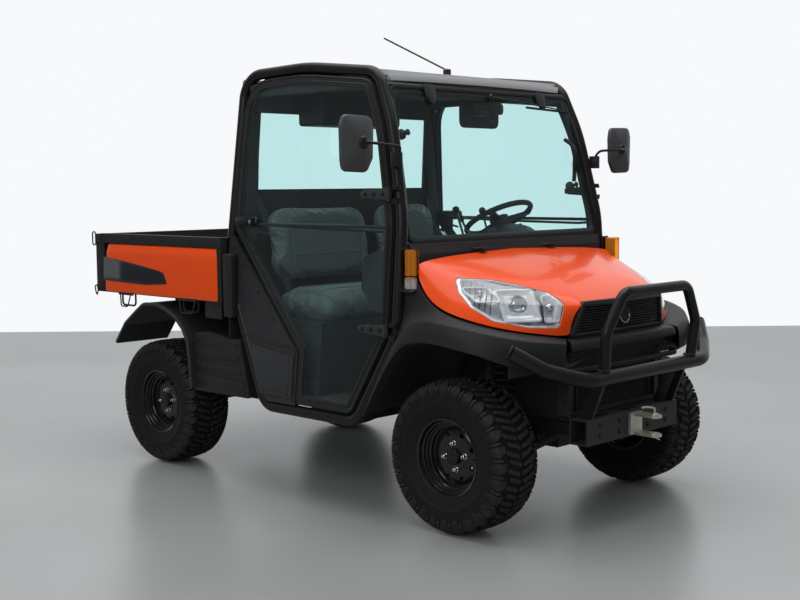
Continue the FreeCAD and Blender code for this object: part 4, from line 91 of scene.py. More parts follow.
camera = bpy.data.objects.new("camera", bpy.data.cameras.new("camera"))
bpy.context.scene.collection.objects.link(camera)
camera.data.sensor_width = SENSOR_WIDTH
camera.data.lens = FOCAL_PIXELS / IMAGE_WIDTH * SENSOR_WIDTH
heading = Vector((math.cos(CAMERA_YAW), math.sin(CAMERA_YAW), 0))
forward = heading * math.cos(CAMERA_PITCH) + Vector((0, 0, math.sin(CAMERA_PITCH)))
level = Vector((math.sin(CAMERA_YAW), -math.cos(CAMERA_YAW), 0))
upward = level.cross(forward)
right = level * math.cos(CAMERA_ROLL) + upward * math.sin(CAMERA_ROLL)
above = upward * math.cos(CAMERA_ROLL) - level * math.sin(CAMERA_ROLL)
turn = Matrix((right, above, -forward)).transposed().to_4x4()
camera.matrix_world = Matrix.Translation(CAMERA_PLACE) @ turn
bpy.context.scene.camera = camera
bpy.context.scene.view_settings.view_transform = "Standard"
print("lens", round(camera.data.lens, 1), "mm")

# %% [markdown]
# Most pieces here are made of a few kinds of form: a bent rod or tube, a turned form, a flat plate with a
# shaped outline, and a sheet drawn through rows of points. Each helper returns plain points and faces, so
# that several forms can be joined before they become one piece.

# %% Forms: points and faces
AHEAD, BACK = Vector((1, 0, 0)), Vector((-1, 0, 0))
LEFTWARD, OUT = Vector((0, 1, 0)), Vector((0, -1, 0))
UP = Vector((0, 0, 1))
TURN = 2 * math.pi
TIP = 0.0001  # the radius that closes a turned form at its axis
ARC_SHARE = 0.49  # how much of an edge one rounded corner may take


def metres(table):
    """A table of millimetres in metres"""
    return [metres(row) if isinstance(row, (list, tuple)) else row / 1000 for row in table]


def rounded(points, bend, steps=5, closed=False):
    """The points with each corner turned into a tangent arc"""
    count = len(points)
    bends = bend if isinstance(bend, (list, tuple)) else [bend] * count
    path = []
    for index, corner in enumerate(points):
        if not closed and index in (0, count - 1):
            path.append(corner.copy())
            continue
        back = points[index - 1] - corner
        onward = points[(index + 1) % count] - corner
        wanted = bends[index] / max(math.tan(back.angle(onward) / 2), 1e-6)
        reach = min(wanted, back.length * ARC_SHARE, onward.length * ARC_SHARE)
        start = corner + back.normalized() * reach
        end = corner + onward.normalized() * reach
        for step in range(steps + 1):
            share = step / steps
            rest = 1 - share
            path.append((start * rest + corner * share) * rest + (corner * rest + end * share) * share)
    return path


def directions(path, closed=False):
    """The direction of travel at each point of a path"""
    count = len(path)
    found = []
    for index in range(count):
        before = path[index - 1] if closed or index else path[0]
        after = path[(index + 1) % count] if closed or index < count - 1 else path[-1]
        found.append((after - before).normalized())
    return found


def frames(path, closed=False):
    """A pair of cross directions at each point of a path, carried along without twist"""
    tangents = directions(path, closed)
    side = tangents[0].orthogonal().normalized()
    pairs = []
    for tangent in tangents:
        side = (side - tangent * side.dot(tangent)).normalized()
        pairs.append((side, tangent.cross(side)))
    return pairs


def spokes(one, two, steps):
    """Directions spread evenly around the plane of two unit vectors"""
    angles = [TURN * step / steps for step in range(steps)]
    return [one * math.cos(angle) + two * math.sin(angle) for angle in angles]


def rows_to_faces(rows, around=False, along=False):
    """Quads between rows of points; around joins each row to itself, along the last row to the first"""
    width = len(rows[0])
    faces = []
    for i in range(len(rows) if along else len(rows) - 1):
        here, there = i * width, (i + 1) % len(rows) * width
        for j in range(width if around else width - 1):
            after = (j + 1) % width
            faces.append((here + j, here + after, there + after, there + j))
    return [point for row in rows for point in row], faces


def rings(rows, closed=False, first=True):
    """A form drawn through rings of points, with lids on its open ends"""
    points, faces = rows_to_faces(rows, around=True, along=closed)
    count = len(rows[0])
    if not closed:
        faces += [tuple(range(count))[::-1]] if first else []
        faces.append(tuple(range(len(points) - count, len(points))))
    return points, faces


def tube(path, radius, sides=12, closed=False):
    """A round bar along a path, with closed ends; radius may be a list, one for each point"""
    radii = radius if isinstance(radius, (list, tuple)) else [radius] * len(path)
    rows = []
    for point, (one, two), size in zip(path, frames(path, closed), radii):
        rows.append([point + spoke * size for spoke in spokes(one, two, sides)])
    return rings(rows, closed)


def bent(points, bend, size, steps=4, sides=8, closed=False):
    """A round bar with bent corners"""
    return tube(rounded(points, bend, steps, closed), size, sides, closed)


def section_sweep(path, section, across, closed=False):
    """Carries a flat section of (inward, across) offsets along a path that stays square to one direction"""
    rows = []
    for point, tangent in zip(path, directions(path, closed)):
        inward = across.cross(tangent)
        rows.append([point + inward * u + across * v for u, v in section])
    return rings(rows, closed)


def turned(profile, centre, axis, steps=48):
    """Turns a profile of (distance along the axis, radius) about the axis"""
    axis = axis.normalized()
    one = axis.orthogonal().normalized()
    rows = []
    for spoke in spokes(one, axis.cross(one), steps):
        rows.append([centre + axis * along + spoke * radius for along, radius in profile])
    return rows_to_faces(rows, along=True)


def plate(outline, normal, thickness):
    """A flat plate: an outline of points, carried along its normal"""
    count = len(outline)
    points = [point.copy() for point in outline] + [point + normal * thickness for point in outline]
    faces = [tuple(range(count))[::-1], tuple(range(count, count * 2))]
    for index in range(count):
        after = (index + 1) % count
        faces.append((index, after, after + count, index + count))
    return points, faces


def rod(points, bend, size, steps=4, sides=8, closed=False):
    """A bent bar through (station, y, height) points"""
    return bent([at(*point) for point in points], bend, size, steps, sides, closed)


def soft_plate(outline, bend, normal, thickness, steps=3):
    """A plate with rounded corners"""
    return plate(rounded(outline, bend, steps, closed=True), normal, thickness)


def box_form(low, high):
    """A block between two corners"""
    corners = ((low.x, low.y), (high.x, low.y), (high.x, high.y), (low.x, high.y))
    return plate([Vector((x, y, low.z)) for x, y in corners], UP, high.z - low.z)


def slab(x0, x1, y0, y1, z0, z1):
    """A block between two stations, sides and heights"""
    return box_form(at(x0, y0, z0), at(x1, y1, z1))


def joined(forms):
    """Several forms as one"""
    points, faces = [], []
    for more_points, more_faces in forms:
        start = len(points)
        points += more_points
        faces += [tuple(start + index for index in face) for face in more_faces]
    return points, faces


def mirrored(form):
    """The same form on the other side of the vehicle"""
    points, faces = form
    return [Vector((p.x, -p.y, p.z)) for p in points], [tuple(reversed(face)) for face in faces]


def pair(*forms):
    """Forms of the right-hand side and their mirror images, as one"""
    form = joined(forms)
    return joined([form, mirrored(form)])

# %% [markdown]
# A form becomes a piece when it has a name, a finish and a body to ride on. Sharp real edges are never quite
# sharp, so a narrow bevel that catches the light is part of making a piece, and shading stays smooth except
# over true corners.

# %% Pieces: objects with a body and a finish
SHARP_ANGLE = math.radians(32)


def apply_modifiers(obj):
    """Replaces an object's mesh by what its modifiers make of it"""
    graph = bpy.context.evaluated_depsgraph_get()
    made = bpy.data.meshes.new_from_object(obj.evaluated_get(graph))
    obj.modifiers.clear()
    obj.data = made


def add_modifier(obj, kind, **values):
    modifier = obj.modifiers.new(kind.lower(), kind)
    for name, value in values.items():
        setattr(modifier, name, value)
    return modifier


def smooth(obj, angle=SHARP_ANGLE):
    obj.data.shade_smooth()
    obj.data.set_sharp_from_angle(angle=angle)


def new_object(name, data):
    """A new object in the scene"""
    obj = bpy.data.objects.new(name, data)
    bpy.context.scene.collection.objects.link(obj)
    return obj


def mesh_object(name, form):
    """A bare object from points and faces, with its normals turned outward"""
    mesh = bpy.data.meshes.new(name)
    mesh.from_pydata([tuple(p) for p in form[0]], [], form[1])
    sheet = bmesh.new()
    sheet.from_mesh(mesh)
    bmesh.ops.recalc_face_normals(sheet, faces=sheet.faces)
    sheet.to_mesh(mesh)
    sheet.free()
    return new_object(name, mesh)


def dress(obj, finish, body="chassis", replaces=()):
    """Gives a piece its finish and its body, and hides the nodes it replaces"""
    obj.data.materials.clear()
    obj.data.materials.append(finish)
    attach(obj, body)
    if replaces:
        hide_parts(*replaces)
    return obj


def piece(name, form, finish, bevel=0.0, segments=2, body="chassis", replaces=()):
    """A piece from one form, with its edges rounded where bevel is given"""
    obj = mesh_object(name, form)
    if bevel:
        add_modifier(obj, "BEVEL", width=bevel, segments=segments, limit_method="ANGLE",
                     harden_normals=False)
        apply_modifiers(obj)
    smooth(obj)
    return dress(obj, finish, body, replaces)


def cut(obj, cutter, operation="DIFFERENCE"):
    """Takes a cutter away from a piece, or keeps only what is in both"""
    add_modifier(obj, "BOOLEAN", object=cutter, operation=operation, solver="EXACT")
    apply_modifiers(obj)
    bpy.data.objects.remove(cutter)


print("helpers ready")

# %% [markdown]
# The studio is plain: a pale polished floor that ends in white some metres behind the vehicle. The white
# isn't a bright wall, because that would flood the paint with light. It is the world, which is white where
# the camera or glass looks at it, and a plain level for everything else. Reflections see that white behind
# the vehicle and a darker room on the near side, as paint does in a real studio.

# %% Floor
FLOOR_BEHIND = 6.1
FLOOR_AHEAD = 14.0
FLOOR_SIDE = 16.0
FLOOR_SHADES = [(0.3, (0.33, 0.345, 0.34, 1)), (0.72, (0.42, 0.435, 0.43, 1))]


def new_material(name):
    """An empty material with its output and its tree"""
    material = bpy.data.materials.new(name)
    material.use_nodes = True
    material.node_tree.nodes.clear()
    output = material.node_tree.nodes.new("ShaderNodeOutputMaterial")
    return material, material.node_tree, output


def node(tree, kind, **values):
    """A shader node with some of its settings and input values"""
    made = tree.nodes.new("ShaderNode" + kind)
    for name, value in values.items():
        if hasattr(made, name):
            setattr(made, name, value)
        else:
            made.inputs[name.replace("_", " ")].default_value = value
    return made


def wire(tree, *runs):
    """Links sockets; a run is a node, its output, the next node and that one's input"""
    for source, output, target, socket in runs:
        tree.links.new(source.outputs[output], target.inputs[socket])


def principled(tree, output, **values):
    """The surface shader of a material"""
    shader = node(tree, "BsdfPrincipled", **values)
    wire(tree, (shader, "BSDF", output, "Surface"))
    return shader


floor_finish, tree, output = new_material("polished_concrete")
shader = principled(tree, output, Roughness=0.3)
clouds = node(tree, "TexNoise", Scale=0.55, Detail=6.0)
place = node(tree, "TexCoord")
shade = node(tree, "ValToRGB")
for stop, (position, colour) in zip(shade.color_ramp.elements, FLOOR_SHADES):
    stop.position = position
    stop.color = colour
wire(tree, (place, "Object", clouds, "Vector"), (clouds, "Fac", shade, "Fac"),
     (shade, "Color", shader, "Base Color"))

across = heading.cross(UP)
corners = []
for ahead, side in ((1, -1), (1, 1), (-1, 1), (-1, -1)):
    reach = FLOOR_BEHIND if ahead > 0 else FLOOR_AHEAD
    corners.append(heading * (reach * ahead) + across * (FLOOR_SIDE * side))
floor = mesh_object("floor", (corners, [(0, 1, 2, 3)]))
floor.data.materials.append(floor_finish)
print("floor", FLOOR_BEHIND + FLOOR_AHEAD, "m deep")

# %% [markdown]
# The world tells three kinds of ray apart. A ray straight from the camera, or one that only passed through
# glass, sees white. A mirrored ray sees white beyond the vehicle and a dark room on the near side. Every
# other ray gets one plain level, which lights the shadows.

# %% World and lamps
WHITE = (0.93, 0.945, 0.965, 1)
WORLD_LEVEL = 0.42
NEAR_ROOM_LEVEL = 0.14

world = bpy.data.worlds.new("studio")
bpy.context.scene.world = world
world.use_nodes = True
tree = world.node_tree
tree.nodes.clear()
output = node(tree, "OutputWorld")
seen = node(tree, "Background", Color=WHITE, Strength=1.0)
lit = node(tree, "Background", Color=WHITE, Strength=WORLD_LEVEL)
mirrored_room = node(tree, "Background", Color=WHITE)
place = node(tree, "TexCoord")
depth = node(tree, "VectorMath", operation="DOT_PRODUCT")
depth.inputs[1].default_value = heading
near_to_far = node(tree, "MapRange", interpolation_type="SMOOTHSTEP", From_Min=0.2, From_Max=0.75,
                   To_Min=NEAR_ROOM_LEVEL, To_Max=1.0)
path = node(tree, "LightPath")
through = node(tree, "Math", operation="MAXIMUM")
bounces = node(tree, "Math", operation="MAXIMUM")
unbounced = node(tree, "Math", operation="LESS_THAN")
background = node(tree, "Math", operation="MULTIPLY")
direct = node(tree, "MixShader")
choose = node(tree, "MixShader")
wire(tree, (place, "Generated", depth, 0), (depth, "Value", near_to_far, "Value"),
     (near_to_far, "Result", mirrored_room, "Strength"))
wire(tree, (path, "Is Camera Ray", through, 0), (path, "Is Transmission Ray", through, 1),
     (path, "Diffuse Depth", bounces, 0), (path, "Glossy Depth", bounces, 1),
     (bounces, 0, unbounced, 0), (through, 0, background, 0), (unbounced, 0, background, 1))
wire(tree, (path, "Glossy Depth", direct, "Fac"), (lit, 0, direct, 1), (mirrored_room, 0, direct, 2),
     (background, 0, choose, "Fac"), (direct, 0, choose, 1), (seen, 0, choose, 2),
     (choose, 0, output, "Surface"))


def softbox(name, place, aim, width, height, power):
    """A large area lamp that faces a point"""
    lamp = new_object(name, bpy.data.lights.new(name, "AREA"))
    lamp.data.shape = "RECTANGLE"
    lamp.data.size, lamp.data.size_y = width, height
    lamp.data.energy = power
    direction = (aim - place).to_track_quat("-Z", "Y").to_matrix().to_4x4()
    lamp.matrix_world = Matrix.Translation(place) @ direction


softbox("overhead_light", Vector((0.4, -0.3, 4.6)), Vector((0.1, 0, 0.6)), 5.0, 3.6, 130)
softbox("side_light", Vector((1.5, -5.6, 3.4)), Vector((0.1, 0, 0.8)), 3.6, 2.2, 60)
print("world", WORLD_LEVEL, "and two softboxes")

# %% [markdown]
# Every finish is built from the same few effects: a moulded or cast grain that catches light, slow changes
# of shade and gloss, wear where edges are rubbed, and dust that settles low down and on upward faces. Each
# effect is one node group with named sockets, placed in a material with that material's own values.

# %% Effects as node groups
def new_group(name, inputs, outputs):
    """A shader node group with named value or colour sockets"""
    group = bpy.data.node_groups.new(name, "ShaderNodeTree")
    for socket, kind, value in inputs:
        made = group.interface.new_socket(socket, in_out="INPUT", socket_type="NodeSocket" + kind)
        made.default_value = value
    for socket, kind in outputs:
        group.interface.new_socket(socket, in_out="OUTPUT", socket_type="NodeSocket" + kind)
    place = node(group, "TexCoord")
    return group, place, group.nodes.new("NodeGroupInput"), group.nodes.new("NodeGroupOutput")


def use_group(tree, group, **values):
    """A group placed in a material's tree, with this material's values"""
    made = tree.nodes.new("ShaderNodeGroup")
    made.node_tree = group
    for name, value in values.items():
        made.inputs[name.replace("_", " ")].default_value = value
    return made


def link(tree, output, target):
    tree.links.new(output, target)


def math_node(tree, operation, first, second):
    """A Math node between two sockets or numbers"""
    made = node(tree, "Math", operation=operation)
    for index, value in enumerate((first, second)):
        if isinstance(value, (int, float)):
            made.inputs[index].default_value = value
        else:
            link(tree, value, made.inputs[index])
    return made.outputs[0]


def noise(tree, place, given, scale, **values):
    """Noise over the object, with its scale from one of the group's sockets"""
    made = node(tree, "TexNoise", **values)
    wire(tree, (place, "Object", made, "Vector"), (given, scale, made, "Scale"))
    return made.outputs["Fac"]


grain_group, place, given, result = new_group(
    "moulded_grain", [("Cells per metre", "Float", 900.0), ("Softness", "Float", 0.5)],
    [("Height", "Float")])
cells = node(grain_group, "TexVoronoi", feature="SMOOTH_F1")
wire(grain_group, (place, "Object", cells, "Vector"), (given, "Cells per metre", cells, "Scale"),
     (given, "Softness", cells, "Smoothness"), (cells, "Distance", result, "Height"))

shade_group, place, given, result = new_group(
    "shade_change",
    [("Colour", "Color", (0.5, 0.5, 0.5, 1)), ("Amount", "Float", 0.15), ("Roughness", "Float", 0.5),
     ("Spread", "Float", 0.1), ("Patches per metre", "Float", 3.0)],
    [("Colour", "Color"), ("Roughness", "Float")])
patches = noise(shade_group, place, given, "Patches per metre", Detail=5.0, Roughness=0.6)
signed = math_node(shade_group, "SUBTRACT", patches, 0.5)
strength = math_node(shade_group, "MULTIPLY", signed, given.outputs["Amount"])
swing = math_node(shade_group, "MULTIPLY", signed, given.outputs["Spread"])
toned = node(shade_group, "HueSaturation")
wire(shade_group, (given, "Colour", toned, "Color"), (toned, "Color", result, "Colour"))
link(shade_group, math_node(shade_group, "ADD", strength, 1.0), toned.inputs["Value"])
link(shade_group, math_node(shade_group, "ADD", swing, given.outputs["Roughness"]),
     result.inputs["Roughness"])

wear_group, place, given, result = new_group(
    "edge_wear", [("Amount", "Float", 0.5), ("Marks per metre", "Float", 60.0)], [("Mask", "Float")])
marks = noise(wear_group, place, given, "Marks per metre", Detail=4.0)
shape = node(wear_group, "NewGeometry")
sharp = node(wear_group, "MapRange", From_Min=0.53, From_Max=0.62)
wire(wear_group, (shape, "Pointiness", sharp, "Value"))
broken = math_node(wear_group, "MULTIPLY", sharp.outputs["Result"], marks)
link(wear_group, math_node(wear_group, "MULTIPLY", broken, given.outputs["Amount"]), result.inputs["Mask"])

dust_group, place, given, result = new_group(
    "settled_dust",
    [("Amount", "Float", 0.3), ("Highest", "Float", 0.9), ("Specks per metre", "Float", 25.0)],
    [("Mask", "Float")])
specks = noise(dust_group, place, given, "Specks per metre", Detail=8.0, Roughness=0.65)
shape = node(dust_group, "NewGeometry")
position = node(dust_group, "SeparateXYZ")
facing = node(dust_group, "SeparateXYZ")
low_down = node(dust_group, "MapRange", To_Min=1.0, To_Max=0.15)
upward_face = node(dust_group, "MapRange", From_Min=-0.4, To_Min=0.25)
wire(dust_group, (place, "Object", position, "Vector"), (position, "Z", low_down, "Value"),
     (given, "Highest", low_down, "From Max"), (shape, "Normal", facing, "Vector"),
     (facing, "Z", upward_face, "Value"))
layer = math_node(dust_group, "MULTIPLY", low_down.outputs["Result"], upward_face.outputs["Result"])
spotted = math_node(dust_group, "MULTIPLY", layer, specks)
link(dust_group, math_node(dust_group, "MULTIPLY", spotted, given.outputs["Amount"]), result.inputs["Mask"])
print("effects:", [group.name for group in (grain_group, shade_group, wear_group, dust_group)])

# %% [markdown]
# A finish joins these effects to one Principled shader. Powder-coated steel, moulded plastic, cast iron and
# rubber differ only in colour, gloss, grain and how much they wear, so one function makes them all.

# %% Finishes for paint, plastic and castings
DUST_COLOUR = (0.19, 0.175, 0.155, 1)


def covered(tree, mask, under, colour):
    """A colour covered with another one where a mask says so"""
    made = node(tree, "Mix", data_type="RGBA")
    link(tree, mask, made.inputs[0])
    link(tree, under, made.inputs[6])
    made.inputs[7].default_value = colour
    return made.outputs[2]


def bump(tree, shader, height, strength, depth):
    """Lets a height bend the light on a shader's surface"""
    made = node(tree, "Bump", Strength=strength, Distance=depth)
    link(tree, height, made.inputs["Height"])
    wire(tree, (made, "Normal", shader, "Normal"))


def finish(name, colour, roughness, cells=0.0, depth=0.0, dust=0.25, metallic=0.0, coat=0.0, change=0.15,
           spread=0.12, wear=0.3, worn=(0.09, 0.09, 0.095), specular=0.3, patches=3.0):
    """A surface with changing shade, grain, worn edges and settled dust"""
    material, tree, output = new_material(name)
    shader = principled(tree, output, Metallic=metallic, Coat_Weight=coat, Coat_Roughness=0.04,
                        Specular_IOR_Level=specular)
    shade = use_group(tree, shade_group, Colour=(*colour, 1), Amount=change, Roughness=roughness,
                      Spread=spread, Patches_per_metre=patches)
    rubbed = use_group(tree, wear_group, Amount=wear).outputs["Mask"]
    dusty = use_group(tree, dust_group, Amount=dust).outputs["Mask"]
    bright = covered(tree, rubbed, shade.outputs["Colour"], (*worn, 1))
    link(tree, covered(tree, dusty, bright, DUST_COLOUR), shader.inputs["Base Color"])
    dull = math_node(tree, "MULTIPLY", dusty, 0.5)
    link(tree, math_node(tree, "ADD", shade.outputs["Roughness"], dull), shader.inputs["Roughness"])
    if depth:
        grain = use_group(tree, grain_group, Cells_per_metre=cells, Softness=0.5)
        bump(tree, shader, grain.outputs["Height"], 0.6, depth)
    return material


powder_black = finish("powder_coat_black", (0.01, 0.0105, 0.0115), 0.34, 700, 0.00012, 0.12)
frame_finish = finish("frame_paint_black", (0.012, 0.012, 0.013), 0.45, 500, 0.0002, 0.45)
bed_finish = finish("bed_coat_black", (0.014, 0.0145, 0.016), 0.5, 420, 0.0003, 0.2)
body_orange = finish("body_orange", (0.98, 0.082, 0.002), 0.3, coat=0.3, change=0.05, spread=0.06, wear=0.05,
                     worn=(0.9, 0.2, 0.08), dust=0.02, specular=0.25)
moulded_black = finish("moulded_black", (0.016, 0.017, 0.019), 0.5, 1100, 0.00022, 0.18)
moulded_grey = finish("moulded_grey", (0.033, 0.036, 0.04), 0.48, 1100, 0.00025, 0.1)
# painted highlight: a lighter copy of the moulded grey for the mirror heads, so they look as if lit by a
# soft highlight
mirror_shell = finish("mirror_shell", (0.062, 0.066, 0.072), 0.42, 1100, 0.0002, 0.05)
satin_black = finish("satin_black", (0.013, 0.0135, 0.015), 0.3, 900, 0.00006, 0.08)
floor_mat = finish("ribbed_floor", (0.014, 0.014, 0.015), 0.75, 140, 0.0002, 0.25)
roof_grey = finish("roof_grey", (0.52, 0.53, 0.54), 0.35, coat=0.3, cells=300, depth=0.00015, dust=0.15)
liner_grey = finish("headliner_felt", (0.04, 0.041, 0.043), 0.9, 2200, 0.0005, 0.0, wear=0.0)
zinc_plate = finish("zinc_plate", (0.74, 0.73, 0.62), 0.34, metallic=0.75, cells=260, depth=0.0003,
                    change=0.5, spread=0.25, wear=0.2, worn=(0.7, 0.7, 0.66), dust=0.15, patches=28.0)
bright_steel = finish("bright_steel", (0.66, 0.67, 0.69), 0.22, metallic=1.0, change=0.2, dust=0.1)
chrome = finish("chrome", (0.86, 0.87, 0.89), 0.07, metallic=1.0, change=0.05, spread=0.03, wear=0.0,
                dust=0.0)
lamp_silver = finish("lamp_silver", (0.66, 0.68, 0.7), 0.22, metallic=0.35, coat=0.4, change=0.1,
                     spread=0.05, wear=0.0, dust=0.0)
cast_iron = finish("cast_iron", (0.045, 0.046, 0.05), 0.62, metallic=0.3, cells=380, depth=0.0009, dust=0.55)
rim_finish = finish("rim_gloss_black", (0.008, 0.008, 0.009), 0.2, coat=0.5, change=0.2, spread=0.1,
                    wear=0.1, dust=0.08)
rubber_seal = finish("rubber_seal", (0.012, 0.012, 0.012), 0.65, 1500, 0.0001, 0.1)
print(len(bpy.data.materials), "finishes so far")

# %% [markdown]
# On the real tyre the tread is dull and the side walls are glossier. The two are the same compound, so one
# finish does for both: its gloss changes strongly from patch to patch, its sharp edges are worn paler, and
# dust makes it slightly browner low down.

# %% Rubber and vinyl
tyre_rubber = finish("tyre_rubber", (0.009, 0.0092, 0.0105), 0.6, cells=900, depth=0.0003, change=0.35,
                     spread=0.3, wear=0.8, worn=(0.07, 0.069, 0.066), dust=0.08, specular=0.2, patches=9.0)


def seat_vinyl_finish():
    """Grained vinyl: a pebbled skin over slight folds, with a soft sheen"""
    material, tree, output = new_material("seat_vinyl")
    shader = principled(tree, output, Sheen_Weight=0.2, Sheen_Roughness=0.5)
    shade = use_group(tree, shade_group, Colour=(0.085, 0.088, 0.092, 1), Amount=0.3, Roughness=0.46,
                      Spread=0.2, Patches_per_metre=5.0)
    pebbles = use_group(tree, grain_group, Cells_per_metre=420.0, Softness=0.7)
    folds = use_group(tree, grain_group, Cells_per_metre=38.0, Softness=1.0)
    fold_height = math_node(tree, "MULTIPLY", folds.outputs["Height"], 0.8)
    bump(tree, shader, math_node(tree, "ADD", pebbles.outputs["Height"], fold_height), 0.5, 0.0009)
    wire(tree, (shade, "Colour", shader, "Base Color"), (shade, "Roughness", shader, "Roughness"))
    return material


seat_vinyl = seat_vinyl_finish()
print("rubber and vinyl ready")

# %% [markdown]
# Glass has to do three things: tint what is behind it, reflect the room, and let the lamps in. Lamp light
# would pass a refracting pane only by chance, so for shadow rays the material turns into a plain
# transparent sheet of the same tint. The pane's blue-green comes from its base colour.

# %% Glass, lenses and mirrors
PANE_TINT = (0.8, 0.985, 0.975)


def clear_finish(name, tint, roughness=0.0, ior=1.45, grain=0.0):
    """A transparent finish that lamps shine through"""
    material, tree, output = new_material(name)
    shader = node(tree, "BsdfPrincipled", Transmission_Weight=1.0, IOR=ior, Roughness=roughness,
                  Base_Color=(*tint, 1))
    shade = use_group(tree, shade_group, Colour=(*tint, 1), Amount=0.02, Roughness=roughness, Spread=0.01,
                      Patches_per_metre=2.0)
    open_way = node(tree, "BsdfTransparent", Color=(*[part ** 0.5 for part in tint], 1))
    path = node(tree, "LightPath")
    choose = node(tree, "MixShader")
    wire(tree, (shade, "Colour", shader, "Base Color"), (path, "Is Shadow Ray", choose, "Fac"),
         (shader, "BSDF", choose, 1), (open_way, "BSDF", choose, 2), (choose, "Shader", output, "Surface"))
    if grain:
        bars = use_group(tree, grain_group, Cells_per_metre=grain, Softness=0.3)
        bump(tree, shader, bars.outputs["Height"], 0.5, 0.001)
    return material


pane_glass = clear_finish("pane_glass", PANE_TINT)
lamp_lens = clear_finish("lamp_lens", (0.93, 0.95, 0.97))
amber_lens = clear_finish("amber_lens", (1.0, 0.32, 0.03), roughness=0.12, ior=1.2, grain=260.0)
milky_lens = clear_finish("milky_lens", (0.85, 0.86, 0.84), roughness=0.2, ior=1.3, grain=260.0)
mirror_glass = finish("mirror_glass", (0.75, 0.78, 0.8), 0.03, metallic=1.0, change=0.02, spread=0.01,
                      wear=0.0, dust=0.02)
print("glass and lenses ready")

# %% [markdown]
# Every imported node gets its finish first, so that nothing is left bare while the pieces are built. Nodes
# whose shape is right keep showing; the others are replaced further down by a piece made here.

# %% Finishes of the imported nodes
NODE_FINISHES = {
    frame_finish: ["main_frame", "receiver_beam", "suspension"],
    powder_black: ["cab_frame", "brush_guard", "door_right_frame", "door_left_frame"],
    bed_finish: ["bed_tray", "tailgate", "lift_barrel"],
    moulded_black: [
        "side_panels", "rear_wall", "seat_base", "dashboard", "cowl", "front_skirt", "rear_fenders",
        "side_covers", "mirrors", "grille", "steering_wheel",
    ],
    body_orange: ["hood", "bed_sides"],
    floor_mat: ["cab_floor"],
    roof_grey: ["roof"],
    pane_glass: ["windshield", "rear_window", "door_right_glass", "door_left_glass"],
    seat_vinyl: ["seat_cushions", "seat_backs"],
    zinc_plate: ["tow_clevis", "steering_rack"],
    bright_steel: ["lift_rod"],
    cast_iron: ["front_axle", "rear_axle", "engine_block", "knuckle_right", "knuckle_left"],
    amber_lens: ["signal_lamps"], lamp_lens: ["headlamps"],
    tyre_rubber: [name for name in nodes if name.startswith("tyre_")],
    rim_finish: [name for name in nodes if name.startswith("rim_")],
}
for material, names in NODE_FINISHES.items():
    for name in names:
        nodes[name].data.materials.clear()
        nodes[name].data.materials.append(material)
        smooth(nodes[name])
print(sum(len(names) for names in NODE_FINISHES.values()), "of", len(nodes), "nodes have their finish")

# %% [markdown]
# The hood is one moulded shell: a broad middle panel between two creases that open towards the grille,
# shoulders that roll down over the wheels, and a hem that climbs steeply beside the windshield. It is drawn
# as rows of points across its right half, smoothed as a subdivision surface, mirrored and given the
# thickness of the real moulding. The creases stay because their edges carry a crease weight.

# %% Sheets drawn through rows of points
def sheet_object(name, rows, thickness, levels=2, creases=(), mirror=True):
    """A smooth sheet through rows of points, thickened inward; creases names columns kept sharp"""
    width = len(rows[0])
    points, faces = rows_to_faces(rows)
    mesh = bpy.data.meshes.new(name)
    mesh.from_pydata([tuple(p) for p in points], [], faces)
    obj = new_object(name, mesh)
    sharp = mesh.attributes.new("crease_edge", "FLOAT", "EDGE")
    weights = dict(creases)
    for edge in mesh.edges:
        first, second = (vertex % width for vertex in edge.vertices)
        sharp.data[edge.index].value = weights.get(first, 0.0) if first == second else 0.0
    if mirror:
        add_modifier(obj, "MIRROR", use_axis=(False, True, False), merge_threshold=0.0005)
    add_modifier(obj, "SUBSURF", levels=levels, render_levels=levels)
    apply_modifiers(obj)
    face_outward(obj)
    add_modifier(obj, "SOLIDIFY", thickness=thickness, offset=-1.0, use_even_offset=True)
    apply_modifiers(obj)
    return obj


def duplicate(obj, name):
    """A second object with its own copy of the mesh"""
    return new_object(name, obj.data.copy())


def face_outward(obj):
    """Turns the faces of an open sheet so that most of them look away from the vehicle's middle"""
    sheet = bmesh.new()
    sheet.from_mesh(obj.data)
    bmesh.ops.recalc_face_normals(sheet, faces=sheet.faces)
    places = [face.calc_center_median() for face in sheet.faces]
    centre = Vector((sum(place.x for place in places) / len(places), 0, 0.6))
    facing = [face.normal.dot(place - centre) * face.calc_area() for face, place in zip(sheet.faces, places)]
    if sum(facing) < 0:
        bmesh.ops.reverse_faces(sheet, faces=sheet.faces)
    sheet.to_mesh(obj.data)
    sheet.free()


def stations(table):
    """Rows of (station, half width, height) as points of the right-hand side"""
    return [[at(x, -y, z) for x, y, z in row] for row in table]

# %% Hood pressing
HOOD_WALL = 0.008
HOOD_ROWS = metres([
    [(1772, 0, 1137), (1774, 100, 1132), (1790, 320, 1127), (1804, 500, 1120), (1815, 630, 1108),
     (1822, 680, 1098), (1822, 692, 1080)],
    [(1905, 0, 1115), (1905, 108, 1110), (1908, 320, 1105), (1905, 500, 1096), (1895, 620, 1075),
     (1880, 688, 1035), (1872, 706, 990)],
    [(2045, 0, 1078), (2045, 155, 1070), (2045, 330, 1064), (2035, 490, 1052), (2015, 610, 1018),
     (1985, 692, 960), (1954, 710, 925)],
    [(2180, 0, 1035), (2185, 228, 1025), (2180, 360, 1018), (2165, 480, 1003), (2140, 580, 968),
     (2105, 665, 915), (2080, 695, 890)],
    [(2290, 0, 988), (2292, 272, 981), (2275, 370, 974), (2255, 450, 952), (2235, 520, 915),
     (2215, 580, 872), (2205, 610, 850)],
    [(2362, 0, 946), (2356, 285, 944), (2340, 345, 930), (2325, 385, 905), (2312, 420, 875),
     (2300, 450, 843), (2292, 470, 824)],
    [(2372, 0, 938), (2366, 288, 936), (2358, 318, 905), (2352, 328, 880), (2347, 334, 855),
     (2343, 336, 828), (2340, 336, 805)],
])
